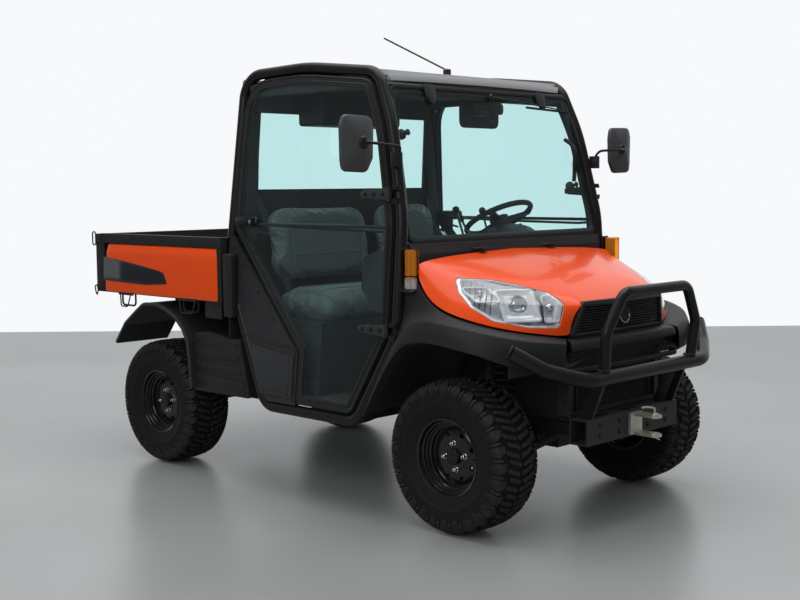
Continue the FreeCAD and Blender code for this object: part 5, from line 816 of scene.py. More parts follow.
hood = sheet_object("hood_pressing", stations(HOOD_ROWS), HOOD_WALL, levels=3,
                    creases=[(1, 0.75), (4, 0.35)])
print("hood", len(hood.data.polygons), "faces")

# %% [markdown]
# Each headlamp sits in a window of the hood's corner. Its outline is a flat shape seen square to the lens,
# carried through the shell as a cutter. The lens is the part of the shell inside that outline, so it lies
# flush with the paint; behind it stand a bright tray, reflector bowls and small round projectors.

# %% Headlamp windows
LAMP_PLACE = at(2.05, -0.67, 0.842)
LAMP_TURN = math.radians(33.3)
LAMP_LENGTH = 0.42
LAMP_HEIGHT = 0.21
LAMP_MIDDLE = (0.5, 0.45)
LAMP_REACH = 0.3
LAMP_SHARES = [
    (0.0, 0.97), (0.35, 0.92), (0.6, 0.82), (0.88, 0.67), (1.0, 0.48), (0.93, 0.0), (0.62, 0.03),
    (0.27, 0.17), (0.08, 0.42), (0.0, 0.7),
]
lamp_along = Vector((math.sin(LAMP_TURN), math.cos(LAMP_TURN), 0))
lamp_out = Vector((math.cos(LAMP_TURN), -math.sin(LAMP_TURN), 0))


def lamp_point(u, v, out=0.0):
    """A point of the right-hand lamp, as shares of its length and height"""
    return LAMP_PLACE + lamp_along * (u * LAMP_LENGTH) + UP * (v * LAMP_HEIGHT) + lamp_out * out


def lamp_shares(inset):
    """The lamp's outline moved towards its middle by a share"""
    middle_u, middle_v = LAMP_MIDDLE
    return [(u + (middle_u - u) * inset, v + (middle_v - v) * inset) for u, v in LAMP_SHARES]


def lamp_prism(name, inset):
    """The lamp's outline carried through the hood from behind"""
    corners = [lamp_point(u, v) for u, v in lamp_shares(inset)]
    outline = [point - lamp_out * LAMP_REACH for point in rounded(corners, 0.018, steps=4, closed=True)]
    return mesh_object(name, pair(plate(outline, lamp_out, LAMP_REACH * 2)))


lens = duplicate(hood, "headlamp_lenses")
skin = duplicate(hood, "uncut_hood")
bpy.context.view_layer.update()
cut(hood, lamp_prism("lamp_cutter", 0.0))
cut(lens, lamp_prism("lens_cutter", 0.015), "INTERSECT")
smooth(hood)
smooth(lens)
dress(hood, body_orange, "hood", ("hood",))
dress(lens, lamp_lens, "hood", ("headlamps",))
print("lamp windows cut, lenses", len(lens.data.polygons), "faces")

# %% Headlamp insides
FRAME_DEPTH = 0.015
BOWLS = [  # place and size, lean, radius of the projector, radius of the frame's bar
    ((0.555, 0.43, 0.36, 0.56), -0.04, 0.027, 0.0055), ((0.865, 0.36, 0.15, 0.48), 0.0, 0.012, 0.004),
    ((0.215, 0.64, 0.24, 0.26), -0.12, 0.01, 0.003),
]
BOWL_STEPS = [(1.0, 0.016), (0.94, 0.022), (0.86, 0.036), (0.8, 0.037), (0.66, 0.047), (0.6, 0.047),
              (0.44, 0.052)]


def on_skin(u, v, depth):
    """A point a depth behind the hood's outer skin, at a share of the lamp's length and height"""
    hit, place, _, _ = skin.ray_cast(lamp_point(u, v, LAMP_REACH), -lamp_out)
    return (place if hit else lamp_point(u, v)) - lamp_out * depth


def lamp_ring(inset, depth):
    """One ring of points of the lamp's tray, an inset inside its outline and a depth behind the skin"""
    ring = [on_skin(u, v, depth) for u, v in lamp_shares(inset)]
    return rounded(ring, 0.02, steps=3, closed=True)


def bowl_ring(u, v, width, height, depth, lean, size):
    """A rounded square inside the lamp; lean slides its upper side backward along the lamp"""
    ring = []
    for su, sv in ((-1, -1), (1, -1), (1, 1), (-1, 1)):
        ring.append(on_skin(u + (su * width + sv * lean) * size / 2, v + sv * height * size / 2, depth))
    return rounded(ring, 0.014 * size, steps=4, closed=True)


def bowl(place, lean):
    """A reflector: stepped facets that narrow towards its projector"""
    return rings([bowl_ring(*place, back, lean, size) for size, back in BOWL_STEPS], first=False)


def projector(place, radius):
    """A round glass lens in a bright collar"""
    profile = [(0.0, radius * 1.5), (0.01, radius * 1.45), (0.014, radius * 1.2), (0.014, radius),
               (0.01, radius * 0.98), (0.017, radius * 0.6), (0.02, TIP)]
    return turned(profile, on_skin(*place[:2], 0.05), lamp_out, 28)


def lamp_piece(name, forms, finish=lamp_silver):
    return piece("headlamp_" + name, pair(*forms), finish, body="hood")


lamp_piece("trays", [rings([lamp_ring(0.1, 0.013), lamp_ring(0.13, 0.03), lamp_ring(0.2, 0.062)],
                           first=False)])
surround_rings = [(0.012, 0.0095), (0.05, 0.0095), (0.085, 0.012), (0.13, 0.026)]
lamp_piece("surrounds", [rows_to_faces([lamp_ring(inset, depth) for inset, depth in surround_rings],
                                       around=True)])
lamp_piece("reflectors", [bowl(place, lean) for place, lean, _, _ in BOWLS])
lamp_piece("projectors", [projector(place, radius) for place, _, radius, _ in BOWLS], chrome)
lamp_piece("frames", [tube(bowl_ring(*place, FRAME_DEPTH, lean, 1.0), bar, 8, closed=True)
                      for place, lean, _, bar in BOWLS])
divider_line = [on_skin(u, v, 0.018) for u, v in ((0.765, 0.12), (0.775, 0.42), (0.75, 0.72))]
divider = bent(divider_line, 0.03, 0.006, 5)
fins = []
for step in range(5):
    u = 0.045 * step
    low, high = on_skin(0.08 + u, 0.5 - 0.05 * step, 0.022), on_skin(0.16 + u, 0.86 - 0.03 * step, 0.022)
    fins.append(tube([low, high], 0.0022, 6))
lamp_piece("dividers", [divider] + fins, moulded_black)
bpy.data.objects.remove(skin)
print("headlamp insides:", len(BOWLS), "reflector bowls")

# %% [markdown]
# Below the hood everything is black moulded plastic: fender sides that start as a narrow strip beside the
# door, open into a flare over the wheel and run round into the bumper cover. Each row of points goes from
# the seam under the hood, over the shoulder and the flare's crease, down to the arch and back inside it.

# %% Fenders and bumper cover
SKIRT_WALL = 0.005
FENDER_ROWS = metres([
    [(1556, 716, 478), (1560, 722, 474), (1565, 735, 470), (1571, 760, 462), (1578, 780, 452),
     (1586, 782, 444), (1592, 745, 441)],
    [(1606, 714, 575), (1612, 720, 572), (1619, 735, 568), (1627, 762, 558), (1635, 780, 547),
     (1643, 782, 536), (1650, 745, 532)],
    [(1668, 712, 705), (1676, 718, 703), (1688, 735, 699), (1701, 762, 690), (1713, 780, 679),
     (1724, 782, 668), (1731, 745, 662)],
    [(1728, 708, 880), (1738, 714, 850), (1752, 735, 820), (1768, 762, 793), (1783, 780, 771),
     (1796, 782, 749), (1802, 745, 743)],
    [(1774, 702, 1085), (1790, 706, 1000), (1800, 718, 905), (1809, 764, 838), (1826, 781, 808),
     (1842, 783, 778), (1848, 745, 771)],
    [(1815, 698, 1068), (1845, 706, 982), (1862, 724, 908), (1878, 768, 870), (1900, 781, 834),
     (1927, 783, 792), (1929, 745, 784)],
    [(1866, 705, 982), (1905, 714, 925), (1930, 732, 896), (1955, 769, 879), (1992, 781, 842),
     (2036, 783, 786), (2036, 745, 778)],
    [(1952, 707, 914), (1990, 716, 900), (2022, 735, 886), (2060, 766, 868), (2100, 776, 828),
     (2134, 775, 770), (2134, 738, 762)],
    [(2078, 691, 880), (2110, 700, 873), (2138, 714, 866), (2168, 736, 852), (2195, 748, 812),
     (2213, 746, 756), (2213, 712, 748)],
    [(2202, 606, 842), (2222, 632, 840), (2240, 658, 838), (2256, 684, 830), (2268, 700, 786),
     (2272, 702, 724), (2262, 672, 716)],
    [(2289, 468, 817), (2310, 500, 814), (2326, 530, 812), (2340, 565, 803), (2348, 592, 762),
     (2348, 592, 694), (2330, 570, 686)],
    [(2334, 352, 799), (2350, 372, 797), (2366, 392, 794), (2380, 410, 786), (2388, 424, 755),
     (2386, 424, 684), (2366, 412, 676)],
])
fenders = sheet_object("front_fenders", stations(FENDER_ROWS), SKIRT_WALL, levels=3,
                       creases=[(3, 0.6), (5, 0.8)])
smooth(fenders)
dress(fenders, moulded_black, replaces=("front_skirt",))
print("fenders", len(fenders.data.polygons), "faces")

# %% Wheel-arch liners
LINER_INNER = 0.26
LINER_WAVE = 0.004
LINER_STEPS = 12


def liner_rows():
    """The arch's edge carried inward to the frame, with shallow ribs"""
    rows = []
    for x, y, z in (row[5] for row in FENDER_ROWS):
        row = []
        for step in range(LINER_STEPS + 1):
            share = step / LINER_STEPS
            rib = LINER_WAVE * (step % 2)
            row.append(at(x, -(y - 0.03) * (1 - share) - LINER_INNER * share,
                          z + 0.004 + rib + 0.03 * share))
        rows.append(row)
    return rows


liners = sheet_object("arch_liners", liner_rows(), 0.003, levels=1)
smooth(liners)
dress(liners, moulded_black)
print("liners", len(liners.data.polygons), "faces")

# %% [markdown]
# Between the fenders the cover turns into a plain bar under the grille, with a wide mesh inlet below it and
# a lip that meets the bumper tube. Behind the mesh and behind the guard's posts stands the radiator, which
# closes the view into the front of the frame.

# %% Bumper bar, inlet and radiator
BAR_ROWS = metres([
    [(2334, 352, 799), (2350, 362, 797), (2368, 372, 794), (2384, 380, 786), (2392, 384, 770),
     (2390, 384, 752), (2368, 372, 746)],
    [(2346, 200, 799), (2364, 204, 797), (2382, 208, 794), (2396, 212, 787), (2402, 213, 770),
     (2400, 213, 752), (2378, 208, 746)],
    [(2348, 0, 799), (2366, 0, 797), (2384, 0, 794), (2398, 0, 787), (2404, 0, 770), (2402, 0, 752),
     (2380, 0, 746)],
])
bar = sheet_object("bumper_bar", stations(BAR_ROWS), 0.005, levels=3, creases=[(3, 0.4), (5, 0.8)])
smooth(bar)
dress(bar, moulded_black)

INLET_HALF = 0.385
INLET_LOW, INLET_HIGH = 0.678, 0.748
INLET_PITCH = 0.0165
LIP_SECTION = [(-0.016, -0.01), (0.01, -0.012), (0.014, -0.004), (0.01, 0.008), (-0.016, 0.006)]


def inlet_mesh():
    """Crossed slanting bars inside the inlet"""
    bars = []
    tall = INLET_HIGH - INLET_LOW
    count = int(2 * INLET_HALF / INLET_PITCH)
    for index in range(count + 1):
        y = -INLET_HALF + index * INLET_PITCH
        for lean in (-1, 1):
            other = max(-INLET_HALF, min(INLET_HALF, y + lean * tall))
            share = abs(other - y) / tall
            station = 2.372 - 0.002 * lean
            bars.append(tube([at(station, y, INLET_LOW), at(station, other, INLET_LOW + tall * share)],
                             0.0016, 5))
    return joined(bars)


def radiator():
    """The radiator's tank, its frame and the fins across it"""
    low, high = at(2.262, -0.315, 0.47), at(2.318, 0.315, 0.742)
    face = high.x
    blocks = [(low, high)]
    for side in (-1, 1):
        y = side * high.y
        blocks.append((Vector((face, y - 0.014, low.z)), Vector((face + 0.018, y + 0.014, high.z))))
    for z in (low.z, high.z - 0.02):
        blocks.append((Vector((face, low.y, z)), Vector((face + 0.016, high.y, z + 0.02))))
    for step in range(34):
        z = low.z + 0.026 + step * 0.0068
        blocks.append((Vector((face, low.y + 0.014, z)), Vector((face + 0.008, high.y - 0.014, z + 0.0022))))
    return joined([box_form(*block) for block in blocks])


piece("inlet_mesh", inlet_mesh(), satin_black)
lip = [(2.345, -0.425, 0.684), (2.385, -0.38, 0.676), (2.398, 0, 0.674), (2.385, 0.38, 0.676),
       (2.345, 0.425, 0.684)]
lip_line = rounded([at(*point) for point in lip], 0.2, 8)
piece("bumper_lip", section_sweep(lip_line, LIP_SECTION, UP), moulded_black, bevel=0.002)
piece("radiator", radiator(), frame_finish, bevel=0.0012, segments=1)
print("front end closed")

# %% [markdown]
# The grille is a trapezium of thin level slats in a heavier frame, with a plain bright ring at its middle.

# %% Grille
GRILLE_TOP, GRILLE_FOOT = 0.936, 0.806
GRILLE_TOP_HALF, GRILLE_FOOT_HALF = 0.283, 0.33
GRILLE_SLATS = 11
BADGE_RADIUS = 0.041


def grille_point(share, side, inset=0.0, depth=0.0):
    """A point of the grille's face: share up from its foot, side from -1 to 1"""
    half = GRILLE_FOOT_HALF + (GRILLE_TOP_HALF - GRILLE_FOOT_HALF) * share - inset
    station = 2.343 + 0.024 * share + 0.012 * (1 - side * side) - depth
    return at(station, side * half, GRILLE_FOOT + (GRILLE_TOP - GRILLE_FOOT) * share)


def grille_slat(share):
    """One thin slat across the grille"""
    line = [grille_point(share, side / 6, 0.004, 0.01) for side in range(-6, 7)]
    half = 0.0022
    section = [(-0.012, -half), (0.006, -half * 0.6), (0.008, 0), (0.006, half * 0.6), (-0.012, half)]
    return section_sweep(line, section, UP)


def grille_frame():
    """The heavier border round the slats"""
    corners = []
    for share, side in ((0, -1), (0, 0), (0, 1), (1, 1), (1, 0), (1, -1)):
        corners.append(grille_point(share, side, 0.004, 0.002))
    path = rounded(corners, [0.006, 0, 0.006, 0.006, 0, 0.006], 3, closed=True)
    section = [(-0.01, -0.014), (0.01, -0.014), (0.01, 0.01), (0.004, 0.014), (-0.01, 0.01)]
    return section_sweep(path, section, AHEAD, closed=True)


def badge_form(profile, steps):
    """A turned form at the badge's place; its radii are shares of the badge's own"""
    facing_out = Vector((1, 0, 0.16)).normalized()
    rows = [(out, radius * BADGE_RADIUS) for out, radius in profile]
    return turned(rows, grille_point(0.53, 0, 0, -0.004), facing_out, steps)


slats = [grille_slat((index + 1) / (GRILLE_SLATS + 1)) for index in range(GRILLE_SLATS)]
for side in (-0.66, -0.33, 0.33, 0.66):
    slats.append(tube([grille_point(0.02, side, 0, 0.02), grille_point(0.98, side, 0, 0.02)], 0.0028, 6))
backing = [grille_point(share, side, 0.002, 0.045) for share, side in ((0, -1), (0, 1), (1, 1), (1, -1))]
slats.append(plate(backing, BACK, 0.004))
piece("grille_slats", joined(slats), satin_black, body="hood", replaces=("grille",))
piece("grille_frame", grille_frame(), moulded_black, bevel=0.002, body="hood")
DISC = [(-0.02, 0.9), (-0.02, 1), (0.002, 1), (0.006, 0.95), (0.006, 0.9), (0.001, 0.86),
        (0.001, TIP / BADGE_RADIUS)]
RIM_OF_BADGE = [(0.0045, 0.97), (0.0075, 0.95), (0.0075, 0.86), (0.003, 0.84)]
piece("badge_plate", badge_form(DISC, 40), satin_black, body="hood")
piece("badge_ring", badge_form(RIM_OF_BADGE, 48), chrome, body="hood")
print("grille", GRILLE_SLATS, "slats")

# %% [markdown]
# A tyre is a smooth carcass with a lug pattern around it. A lug is built from two lines across the tread:
# the worn top and the groove's floor. Both run from the middle over the shoulder and down the side, so a
# lug only needs its place around the tyre at a few steps along those lines.

# %% Tyres
TREAD_TOP = metres([
    (0, 317.2), (42, 316.8), (80, 314.2), (103, 309), (116.5, 299), (122.5, 286), (123.5, 270),
    (122.8, 256),
])
TREAD_FLOOR = metres([
    (0, 305), (41, 304.6), (78, 302.2), (98, 297.5), (110, 289.5), (116, 279), (118.5, 265), (119, 253),
])
CARCASS = TREAD_FLOOR + metres([
    (118.8, 238), (117.2, 221), (118, 216.5), (115, 212.5), (111.5, 198), (106.5, 182), (103.5, 172.5),
    (100, 166.5), (93, 164), (90, 156),
])
PITCHES = 28
WHEELS = {"front_right": (front_axle, -1), "front_left": (front_axle, 1),
          "rear_right": (rear_axle, -1), "rear_left": (rear_axle, 1)}


def along_line(line, share):
    """The point a share of the way along a line of equal steps"""
    step = min(int(share * (len(line) - 1)), len(line) - 2)
    part = share * (len(line) - 1) - step
    (w0, r0), (w1, r1) = line[step], line[step + 1]
    return w0 + (w1 - w0) * part, r0 + (r1 - r0) * part


def around_axle(centre, side, w, radius, angle):
    """A point of the wheel from its place across the tread, radius and angle"""
    return centre + Vector((radius * math.cos(angle), side * w, radius * math.sin(angle)))


def lug(centre, hand, steps, turn):
    """A tread block; steps are (share across, middle, half width), both in shares of a pitch"""
    pitch = TURN / PITCHES
    rows = []
    for share, middle, half in steps:
        top = along_line(TREAD_TOP, share)
        low = along_line(TREAD_FLOOR, share)
        row = []
        for (w, radius), reach, sink in ((top, half, 0), (low, half * 1.15, 0.0012)):
            ends = (-1, 1) if sink == 0 else (1, -1)
            for end in ends:
                row.append(around_axle(centre, hand, w, radius - sink,
                                       turn + (middle + end * reach) * pitch))
        rows.append(row)
    points, faces = rows_to_faces(rows, around=True)
    last = len(points) - 4
    faces += [(3, 2, 1, 0), (last, last + 1, last + 2, last + 3)]
    return points, faces


SHOULDER_LUG = [(0.34, 0.1, 0.17), (0.43, 0.06, 0.25), (0.55, 0.0, 0.33), (0.66, 0.0, 0.34),
                (0.78, 0.0, 0.3), (0.9, 0.0, 0.22), (1.0, 0.0, 0.12)]
SHOULDER_BAR = [(0.45, 0.5, 0.07), (0.58, 0.5, 0.1), (0.72, 0.5, 0.1), (0.86, 0.5, 0.07)]
MIDDLE_BARS = [
    [(0.015, 0.06, 0.13), (0.12, 0.2, 0.13), (0.235, 0.36, 0.12)],
    [(0.05, 0.56, 0.11), (0.16, 0.7, 0.13), (0.3, 0.88, 0.12)],
]


def tyre_lugs(centre):
    """All the blocks of a tyre, the two hands half a pitch apart"""
    forms = []
    for index in range(PITCHES):
        for hand in (-1, 1):
            turn = TURN * (index + (0.5 if hand > 0 else 0)) / PITCHES
            for block in (SHOULDER_LUG, SHOULDER_BAR, *MIDDLE_BARS):
                forms.append(lug(centre, hand, block, turn))
    return joined(forms)


def carcass(centre):
    profile = [(-w, radius) for w, radius in reversed(CARCASS)] + CARCASS[1:]
    return turned(profile, centre, LEFTWARD, 96)


for name, (x, side) in WHEELS.items():
    centre = Vector((x, side * half_track, wheel_height))
    body = "wheel_" + name
    piece("tyre_carcass_" + name, carcass(centre), tyre_rubber, body=body,
          replaces=("tyre_" + name,))
    piece("tyre_lugs_" + name, tyre_lugs(centre), tyre_rubber, bevel=0.0016, segments=1, body=body)
print(len(WHEELS), "tyres with", PITCHES, "pitches")

# %% [markdown]
# The rims are pressed steel, seen from outside as a stepped barrel that goes in to a dished disc. Each step
# is a narrow flat with a rounded edge, so that it catches a thin bright line.

# %% Rims
RIM_PROFILE = metres([
    (-101, 151), (-101, 164), (-98, 165), (-93, 162), (-91, 156), (-50, 156), (-32, 131), (38, 131),
    (52, 156), (91, 156), (93, 162), (98.5, 165), (101.2, 164.5), (102, 161), (100, 156.5), (94, 153.5),
    (85, 152.5), (81.5, 150), (80, 145.5), (70, 144.5), (66.5, 142), (65.5, 137.5), (56, 136.5),
    (53, 133.5), (52, 129), (35, 127), (33, 123.5), (35, 118), (42, 108), (46.8, 98), (48, 86), (48, 58),
    (50, 56), (50, 33), (44, 30), (38, 30), (38, 90), (24, 123), (20, 125), (-26, 125), (-44, 150),
    (-98, 150),
])
NUT_CIRCLE = 0.054
NUT_COUNT = 4
NUT_RADIUS, NUT_HEIGHT = 0.0105, 0.014
VENT_CIRCLE = 0.098
VENT_COUNT = 8
VENT = [(0.0, TIP), (0.0, 0.011), (0.018, 0.0135), (0.03, 0.0135), (0.03, TIP)]
HUB_CAP = [(0.046, 0.034), (0.06, 0.0335), (0.066, 0.031), (0.069, 0.026), (0.07, TIP)]
VALVE = [(0.06, 0.132), (0.078, 0.13), (0.092, 0.133)]


def hexagon_nut(centre, axis):
    """A six-sided nut with a collar and the end of its stud"""
    radius, height = NUT_RADIUS, NUT_HEIGHT
    nut = [(0, TIP), (0, radius), (height * 0.8, radius), (height, radius * 0.86), (height, TIP)]
    collar = [(0, radius * 1.3), (0.0025, radius * 1.25), (0.0035, radius)]
    stud = [(height, radius * 0.5), (height * 1.45, radius * 0.5), (height * 1.55, radius * 0.4),
            (height * 1.55, TIP)]
    return joined([turned(profile, centre, axis, steps) for profile,
                   steps in ((nut, 6), (collar, 20), (stud, 14))])


def wheel_places(hub, circle, count, start):
    """Places spread on a circle around a wheel's hub, from a starting angle"""
    angles = [TURN * index / count + start for index in range(count)]
    return [hub + Vector((math.cos(angle), 0, math.sin(angle))) * circle for angle in angles]


for name, (x, side) in WHEELS.items():
    centre = Vector((x, side * half_track, wheel_height))
    axis = Vector((0, side, 0))
    body = "wheel_" + name
    rim = mesh_object("rim_" + name + "_pressing", turned(RIM_PROFILE + RIM_PROFILE[:1], centre, axis, 96))
    rim.data.validate()
    for place in wheel_places(centre + axis * 0.036, VENT_CIRCLE, VENT_COUNT, TURN / VENT_COUNT / 2):
        cut(rim, mesh_object("vent", turned(VENT, place, axis, 20)))
    smooth(rim)
    dress(rim, rim_finish, body, ("rim_" + name,))
    places = wheel_places(centre + axis * 0.048, NUT_CIRCLE, NUT_COUNT, 0.12)
    nuts = [hexagon_nut(place, axis) for place in places]
    piece("lug_nuts_" + name, joined(nuts), chrome, bevel=0.0006, segments=1, body=body)
    piece("hub_cap_" + name, turned(HUB_CAP, centre, axis, 36), powder_black, body=body)
    stem = [centre + axis * out + Vector((across, 0, 0.01)) for out, across in VALVE]
    piece("valve_stem_" + name, bent(stem, 0.02, 0.004, sides=10), rubber_seal, body=body)
print("rims with", NUT_COUNT, "nuts each")

# %% [markdown]
# The bed's side is an orange pressing set into a black frame. Above one long crease it leans outward and
# catches the sky; below it the sheet is upright. A flat black wedge is laid on its rear half. Both follow
# one curve of half width against height, so the wedge lies on the sheet everywhere.

# %% Bed sides
BED_REAR, BED_FRONT = -0.44, 0.619
BED_HALF = 0.777
SIDE_CURVE = metres([
    (1130, 768), (1125, 776.5), (1090, 785.5), (1050, 786.5), (960, 786.5), (885, 785), (876, 780),
    (872, 771),
])


def side_half(z):
    """Half width of the bed's side sheet at a height"""
    for (z1, y1), (z0, y0) in zip(SIDE_CURVE, SIDE_CURVE[1:]):
        if z >= z0:
            share = (z - z0) / (z1 - z0)
            return y0 + (y1 - y0) * share
    return SIDE_CURVE[-1][1]


def rear_edge(z):
    return -0.392 + (z - 0.872) * 0.11


side_rows = []
for share, tuck in ((0, 0.012), (0.006, 0.003), (0.02, 0), (0.25, 0), (0.5, 0), (0.75, 0), (0.98, 0),
                    (0.994, 0.003), (1, 0.012)):
    side_rows.append([(rear_edge(z) * (1 - share) + 0.59 * share, y - tuck, z) for z, y in SIDE_CURVE])
bed_side = sheet_object("bed_side_pressings", stations(side_rows), 0.0025, levels=2, mirror=False,
                        creases=[(1, 0.8), (2, 0.9), (6, 0.8)])
other = duplicate(bed_side, "bed_side_pressing_left")
other.data.transform(Matrix.Diagonal((1, -1, 1, 1)))
other.data.flip_normals()
for obj, replaced in ((bed_side, ("bed_sides",)), (other, ())):
    smooth(obj)
    dress(obj, body_orange, "bed", replaced)

WEDGE_TOP = metres([(-384, 1060), (-200, 1044), (0, 1021), (130, 1003), (160, 993), (186, 942)])
WEDGE_FOOT = metres([(-391, 935), (-200, 931), (0, 928), (130, 936), (160, 939), (186.5, 941)])


def wedge():
    """The black wedge on the right-hand side sheet"""
    rows = []
    for (x1, z1), (x0, z0) in zip(WEDGE_TOP, WEDGE_FOOT):
        row = []
        for step in range(7):
            share = step / 6
            z = z1 + (z0 - z1) * share
            row.append(at(x1 + (x0 - x1) * share, -side_half(z) - 0.0012, z))
        rows.append(row)
    return rows_to_faces(rows)


def thicken(obj, thickness, offset=0.0):
    """Gives an open sheet a thickness"""
    add_modifier(obj, "SOLIDIFY", thickness=thickness, offset=offset)
    apply_modifiers(obj)


thicken(piece("bed_side_wedges", pair(wedge()), satin_black, body="bed"), 0.0009)
print("bed sides", len(bed_side.data.polygons), "faces each")

# %% [markdown]
# The bed carries many small working parts: wire loops to tie a load to, latch rings at the rear corners,
# pressed ribs in the floor and front wall, studs on the posts and two paddle latches on the tailgate. A
# folded lip runs along the top of each wall.

# %% Bed fittings
LIP_HEIGHT = 1.1815
WIRE = 0.0036


def screw_head(centre, axis, radius=0.007, height=0.004):
    """A domed round head on a washer"""
    profile = [(-0.001, radius * 1.5), (0.001, radius * 1.5), (0.001, radius), (height * 0.7, radius * 0.85),
               (height, radius * 0.4), (height, TIP)]
    return turned(profile, centre, axis, 16)


def hex_head(centre, axis, radius=0.008, height=0.006):
    """A six-sided bolt head on a washer"""
    washer = turned([(0, radius * 1.45), (0.0018, radius * 1.42), (0.0018, radius)], centre, axis, 20)
    head = [(0.001, TIP), (0.001, radius), (height * 0.85, radius), (height, radius * 0.85), (height, TIP)]
    return joined([washer, turned(head, centre, axis, 6)])


loops = []
for first, last in ((-0.244, -0.148), (0.283, 0.416)):
    hook = [(first, -0.781, 0.872), (first + 0.016, -0.788, 0.806), (last - 0.02, -0.788, 0.806),
            (last, -0.781, 0.872)]
    loops.append(rod(hook, 0.016, WIRE))
for corners, bend in ((((-0.468, 1.12), (-0.498, 1.12), (-0.498, 1.19), (-0.468, 1.19)), 0.014),
                      (((-0.452, 0.902), (-0.492, 0.902), (-0.47, 0.838)), 0.012)):
    loops.append(rod([(x, -0.781, z) for x, z in corners], bend, WIRE, closed=True))
piece("bed_wire_loops", pair(*loops), bed_finish, body="bed")

studs = [screw_head(at(x, -BED_HALF, z), OUT) for x in (-0.418, 0.605) for z in (0.905, 1.02, 1.135)]
for x in (-0.418, -0.15, 0.13, 0.36, 0.605):
    studs.append(screw_head(at(x, -BED_HALF, 1.156), OUT, 0.006, 0.003))
straps = [slab(x - 0.066, x + 0.066, -0.781, -0.774, 0.864, 0.88) for x in (-0.196, 0.35)]
straps.append(slab(-0.47, -0.43, -0.7815, -0.775, 1.14, 1.172))
straps.append(slab(-0.47, -0.432, -0.7815, -0.775, 0.884, 0.912))
piece("bed_studs", pair(*studs), bed_finish, body="bed")
piece("bed_side_straps", pair(*straps), bed_finish, bevel=0.0012, segments=1, body="bed")

rear, front = BED_REAR + 0.01, BED_FRONT - 0.018
lip_corners = ((rear, -0.76), (front, -0.76), (front, 0.76), (rear, 0.76))
lip = rounded([at(x, y, LIP_HEIGHT) for x, y in lip_corners], 0.012, 4)
lip_form = section_sweep(lip, [(-0.016, -0.002), (0.016, -0.002), (0.016, 0.0015), (-0.016, 0.0015)], UP)
piece("bed_top_lip", lip_form, bed_finish, bevel=0.001, segments=1, body="bed")
print("bed fittings placed")

# %% Bed floor and front wall ribs
FLOOR_TOP = 0.88
WALL_FOOT, WALL_TOP = 0.92, 1.115
GATE_OUT = -0.485

ribs = []
for index in range(11):
    y = -0.66 + index * 0.132
    ribs.append(slab(-0.405, 0.545, y - 0.021, y + 0.021, FLOOR_TOP - 0.002, FLOOR_TOP + 0.005))
for index in range(7):
    y = -0.6 + index * 0.2
    ribs.append(slab(0.558, 0.5655, y - 0.022, y + 0.022, WALL_FOOT, WALL_TOP))
for x in (-0.3, -0.08, 0.14, 0.36):
    for low, high in ((-0.742, -0.736), (0.736, 0.742)):
        ribs.append(slab(x - 0.022, x + 0.022, low, high, WALL_FOOT, WALL_TOP))
piece("bed_ribs", joined(ribs), bed_finish, bevel=0.0045, segments=3, body="bed")


def gate_corners(centre, half, low, high, out=0.0):
    """The corners of a rectangle on the tailgate's outer face"""
    corners = ((-half, low), (half, low), (half, high), (-half, high))
    return [centre + Vector((-out, u, v)) for u, v in corners]


def gate_latch(y):
    """A paddle latch in a shallow cup"""
    centre = at(GATE_OUT, y, 1.085)
    cup = rounded(gate_corners(centre, 0.06, -0.024, 0.024), 0.008, 3, closed=True)
    rim = section_sweep(cup, [(-0.004, -0.002), (0.004, -0.002), (0.004, 0.004), (-0.004, 0.004)], BACK,
                        closed=True)
    return joined([rim, plate(gate_corners(centre, 0.05, -0.016, 0.01, out=0.001), BACK, 0.006)])


latches = joined([gate_latch(-0.6), gate_latch(0.6)])
piece("tailgate_latches", latches, satin_black, bevel=0.0012, body="tailgate")
gate_studs = [screw_head(at(GATE_OUT, side * y, z), BACK, 0.006, 0.003)
              for side in (-1, 1) for y in (0.745, 0.7) for z in (0.905, 1.155)]
piece("tailgate_studs", joined(gate_studs), zinc_plate, body="tailgate")
print(len(ribs), "pressed ribs")

# %% [markdown]
# Between bed and cab stands a slim black air duct, and below it the side cover hides the tank and battery.
# The cover is moulded with long raised bands. The rear fender has a rolled edge that catches a bright line
# along the arch. The edge is also given a lighter grey than the black fender, so part of that line is a
# painted highlight.

# %% Duct, side covers and rear fender edges
COVER_EDGE = metres([(345, 420), (372, 716), (500, 722), (640, 700), (725, 704), (797, 424)])
COVER_MIDDLE = 0.57
COVER_BOLTS = [(0.4, 0.682), (0.7, 0.672), (0.4, 0.445), (0.757, 0.447)]
FENDER_EDGE = metres([
    (-286, 615), (-195, 723), (-99, 787), (-24, 834), (83, 840), (169, 820), (253, 785), (318, 730),
    (357, 663), (370, 575), (381, 437),
])
ROLLED_EDGE = metres([(-13, -12), (3, -4), (3, 4), (-4, 7), (-13, 7)])

duct = [at(x, -0.745, z) for x, z in ((0.64, 0.806), (0.706, 0.806), (0.7, 1.108), (0.64, 1.108))]
duct_form = soft_plate(duct, [0.01, 0.01, 0.014, 0.014], OUT, 0.04, steps=4)
piece("air_ducts", pair(duct_form), moulded_black, bevel=0.006, segments=3)


def cover_shell():
    """The right-hand side cover: an outer face that rolls over at the top and turns in at the ends"""
    rows = []
    for depth, inset in ((0.22, 0.01), (0.03, 0.006), (0.008, 0.002), (0.0, 0.012)):
        ring = []
        for x, z in COVER_EDGE:
            z += (COVER_MIDDLE - z) * inset * 2
            ring.append(at(x + (COVER_MIDDLE - x) * inset, -0.762 + depth, z))
        rows.append(rounded(ring, [0.02, 0.035, 0.25, 0.1, 0.035, 0.02], 4, closed=True))
    return rings(rows, first=False)


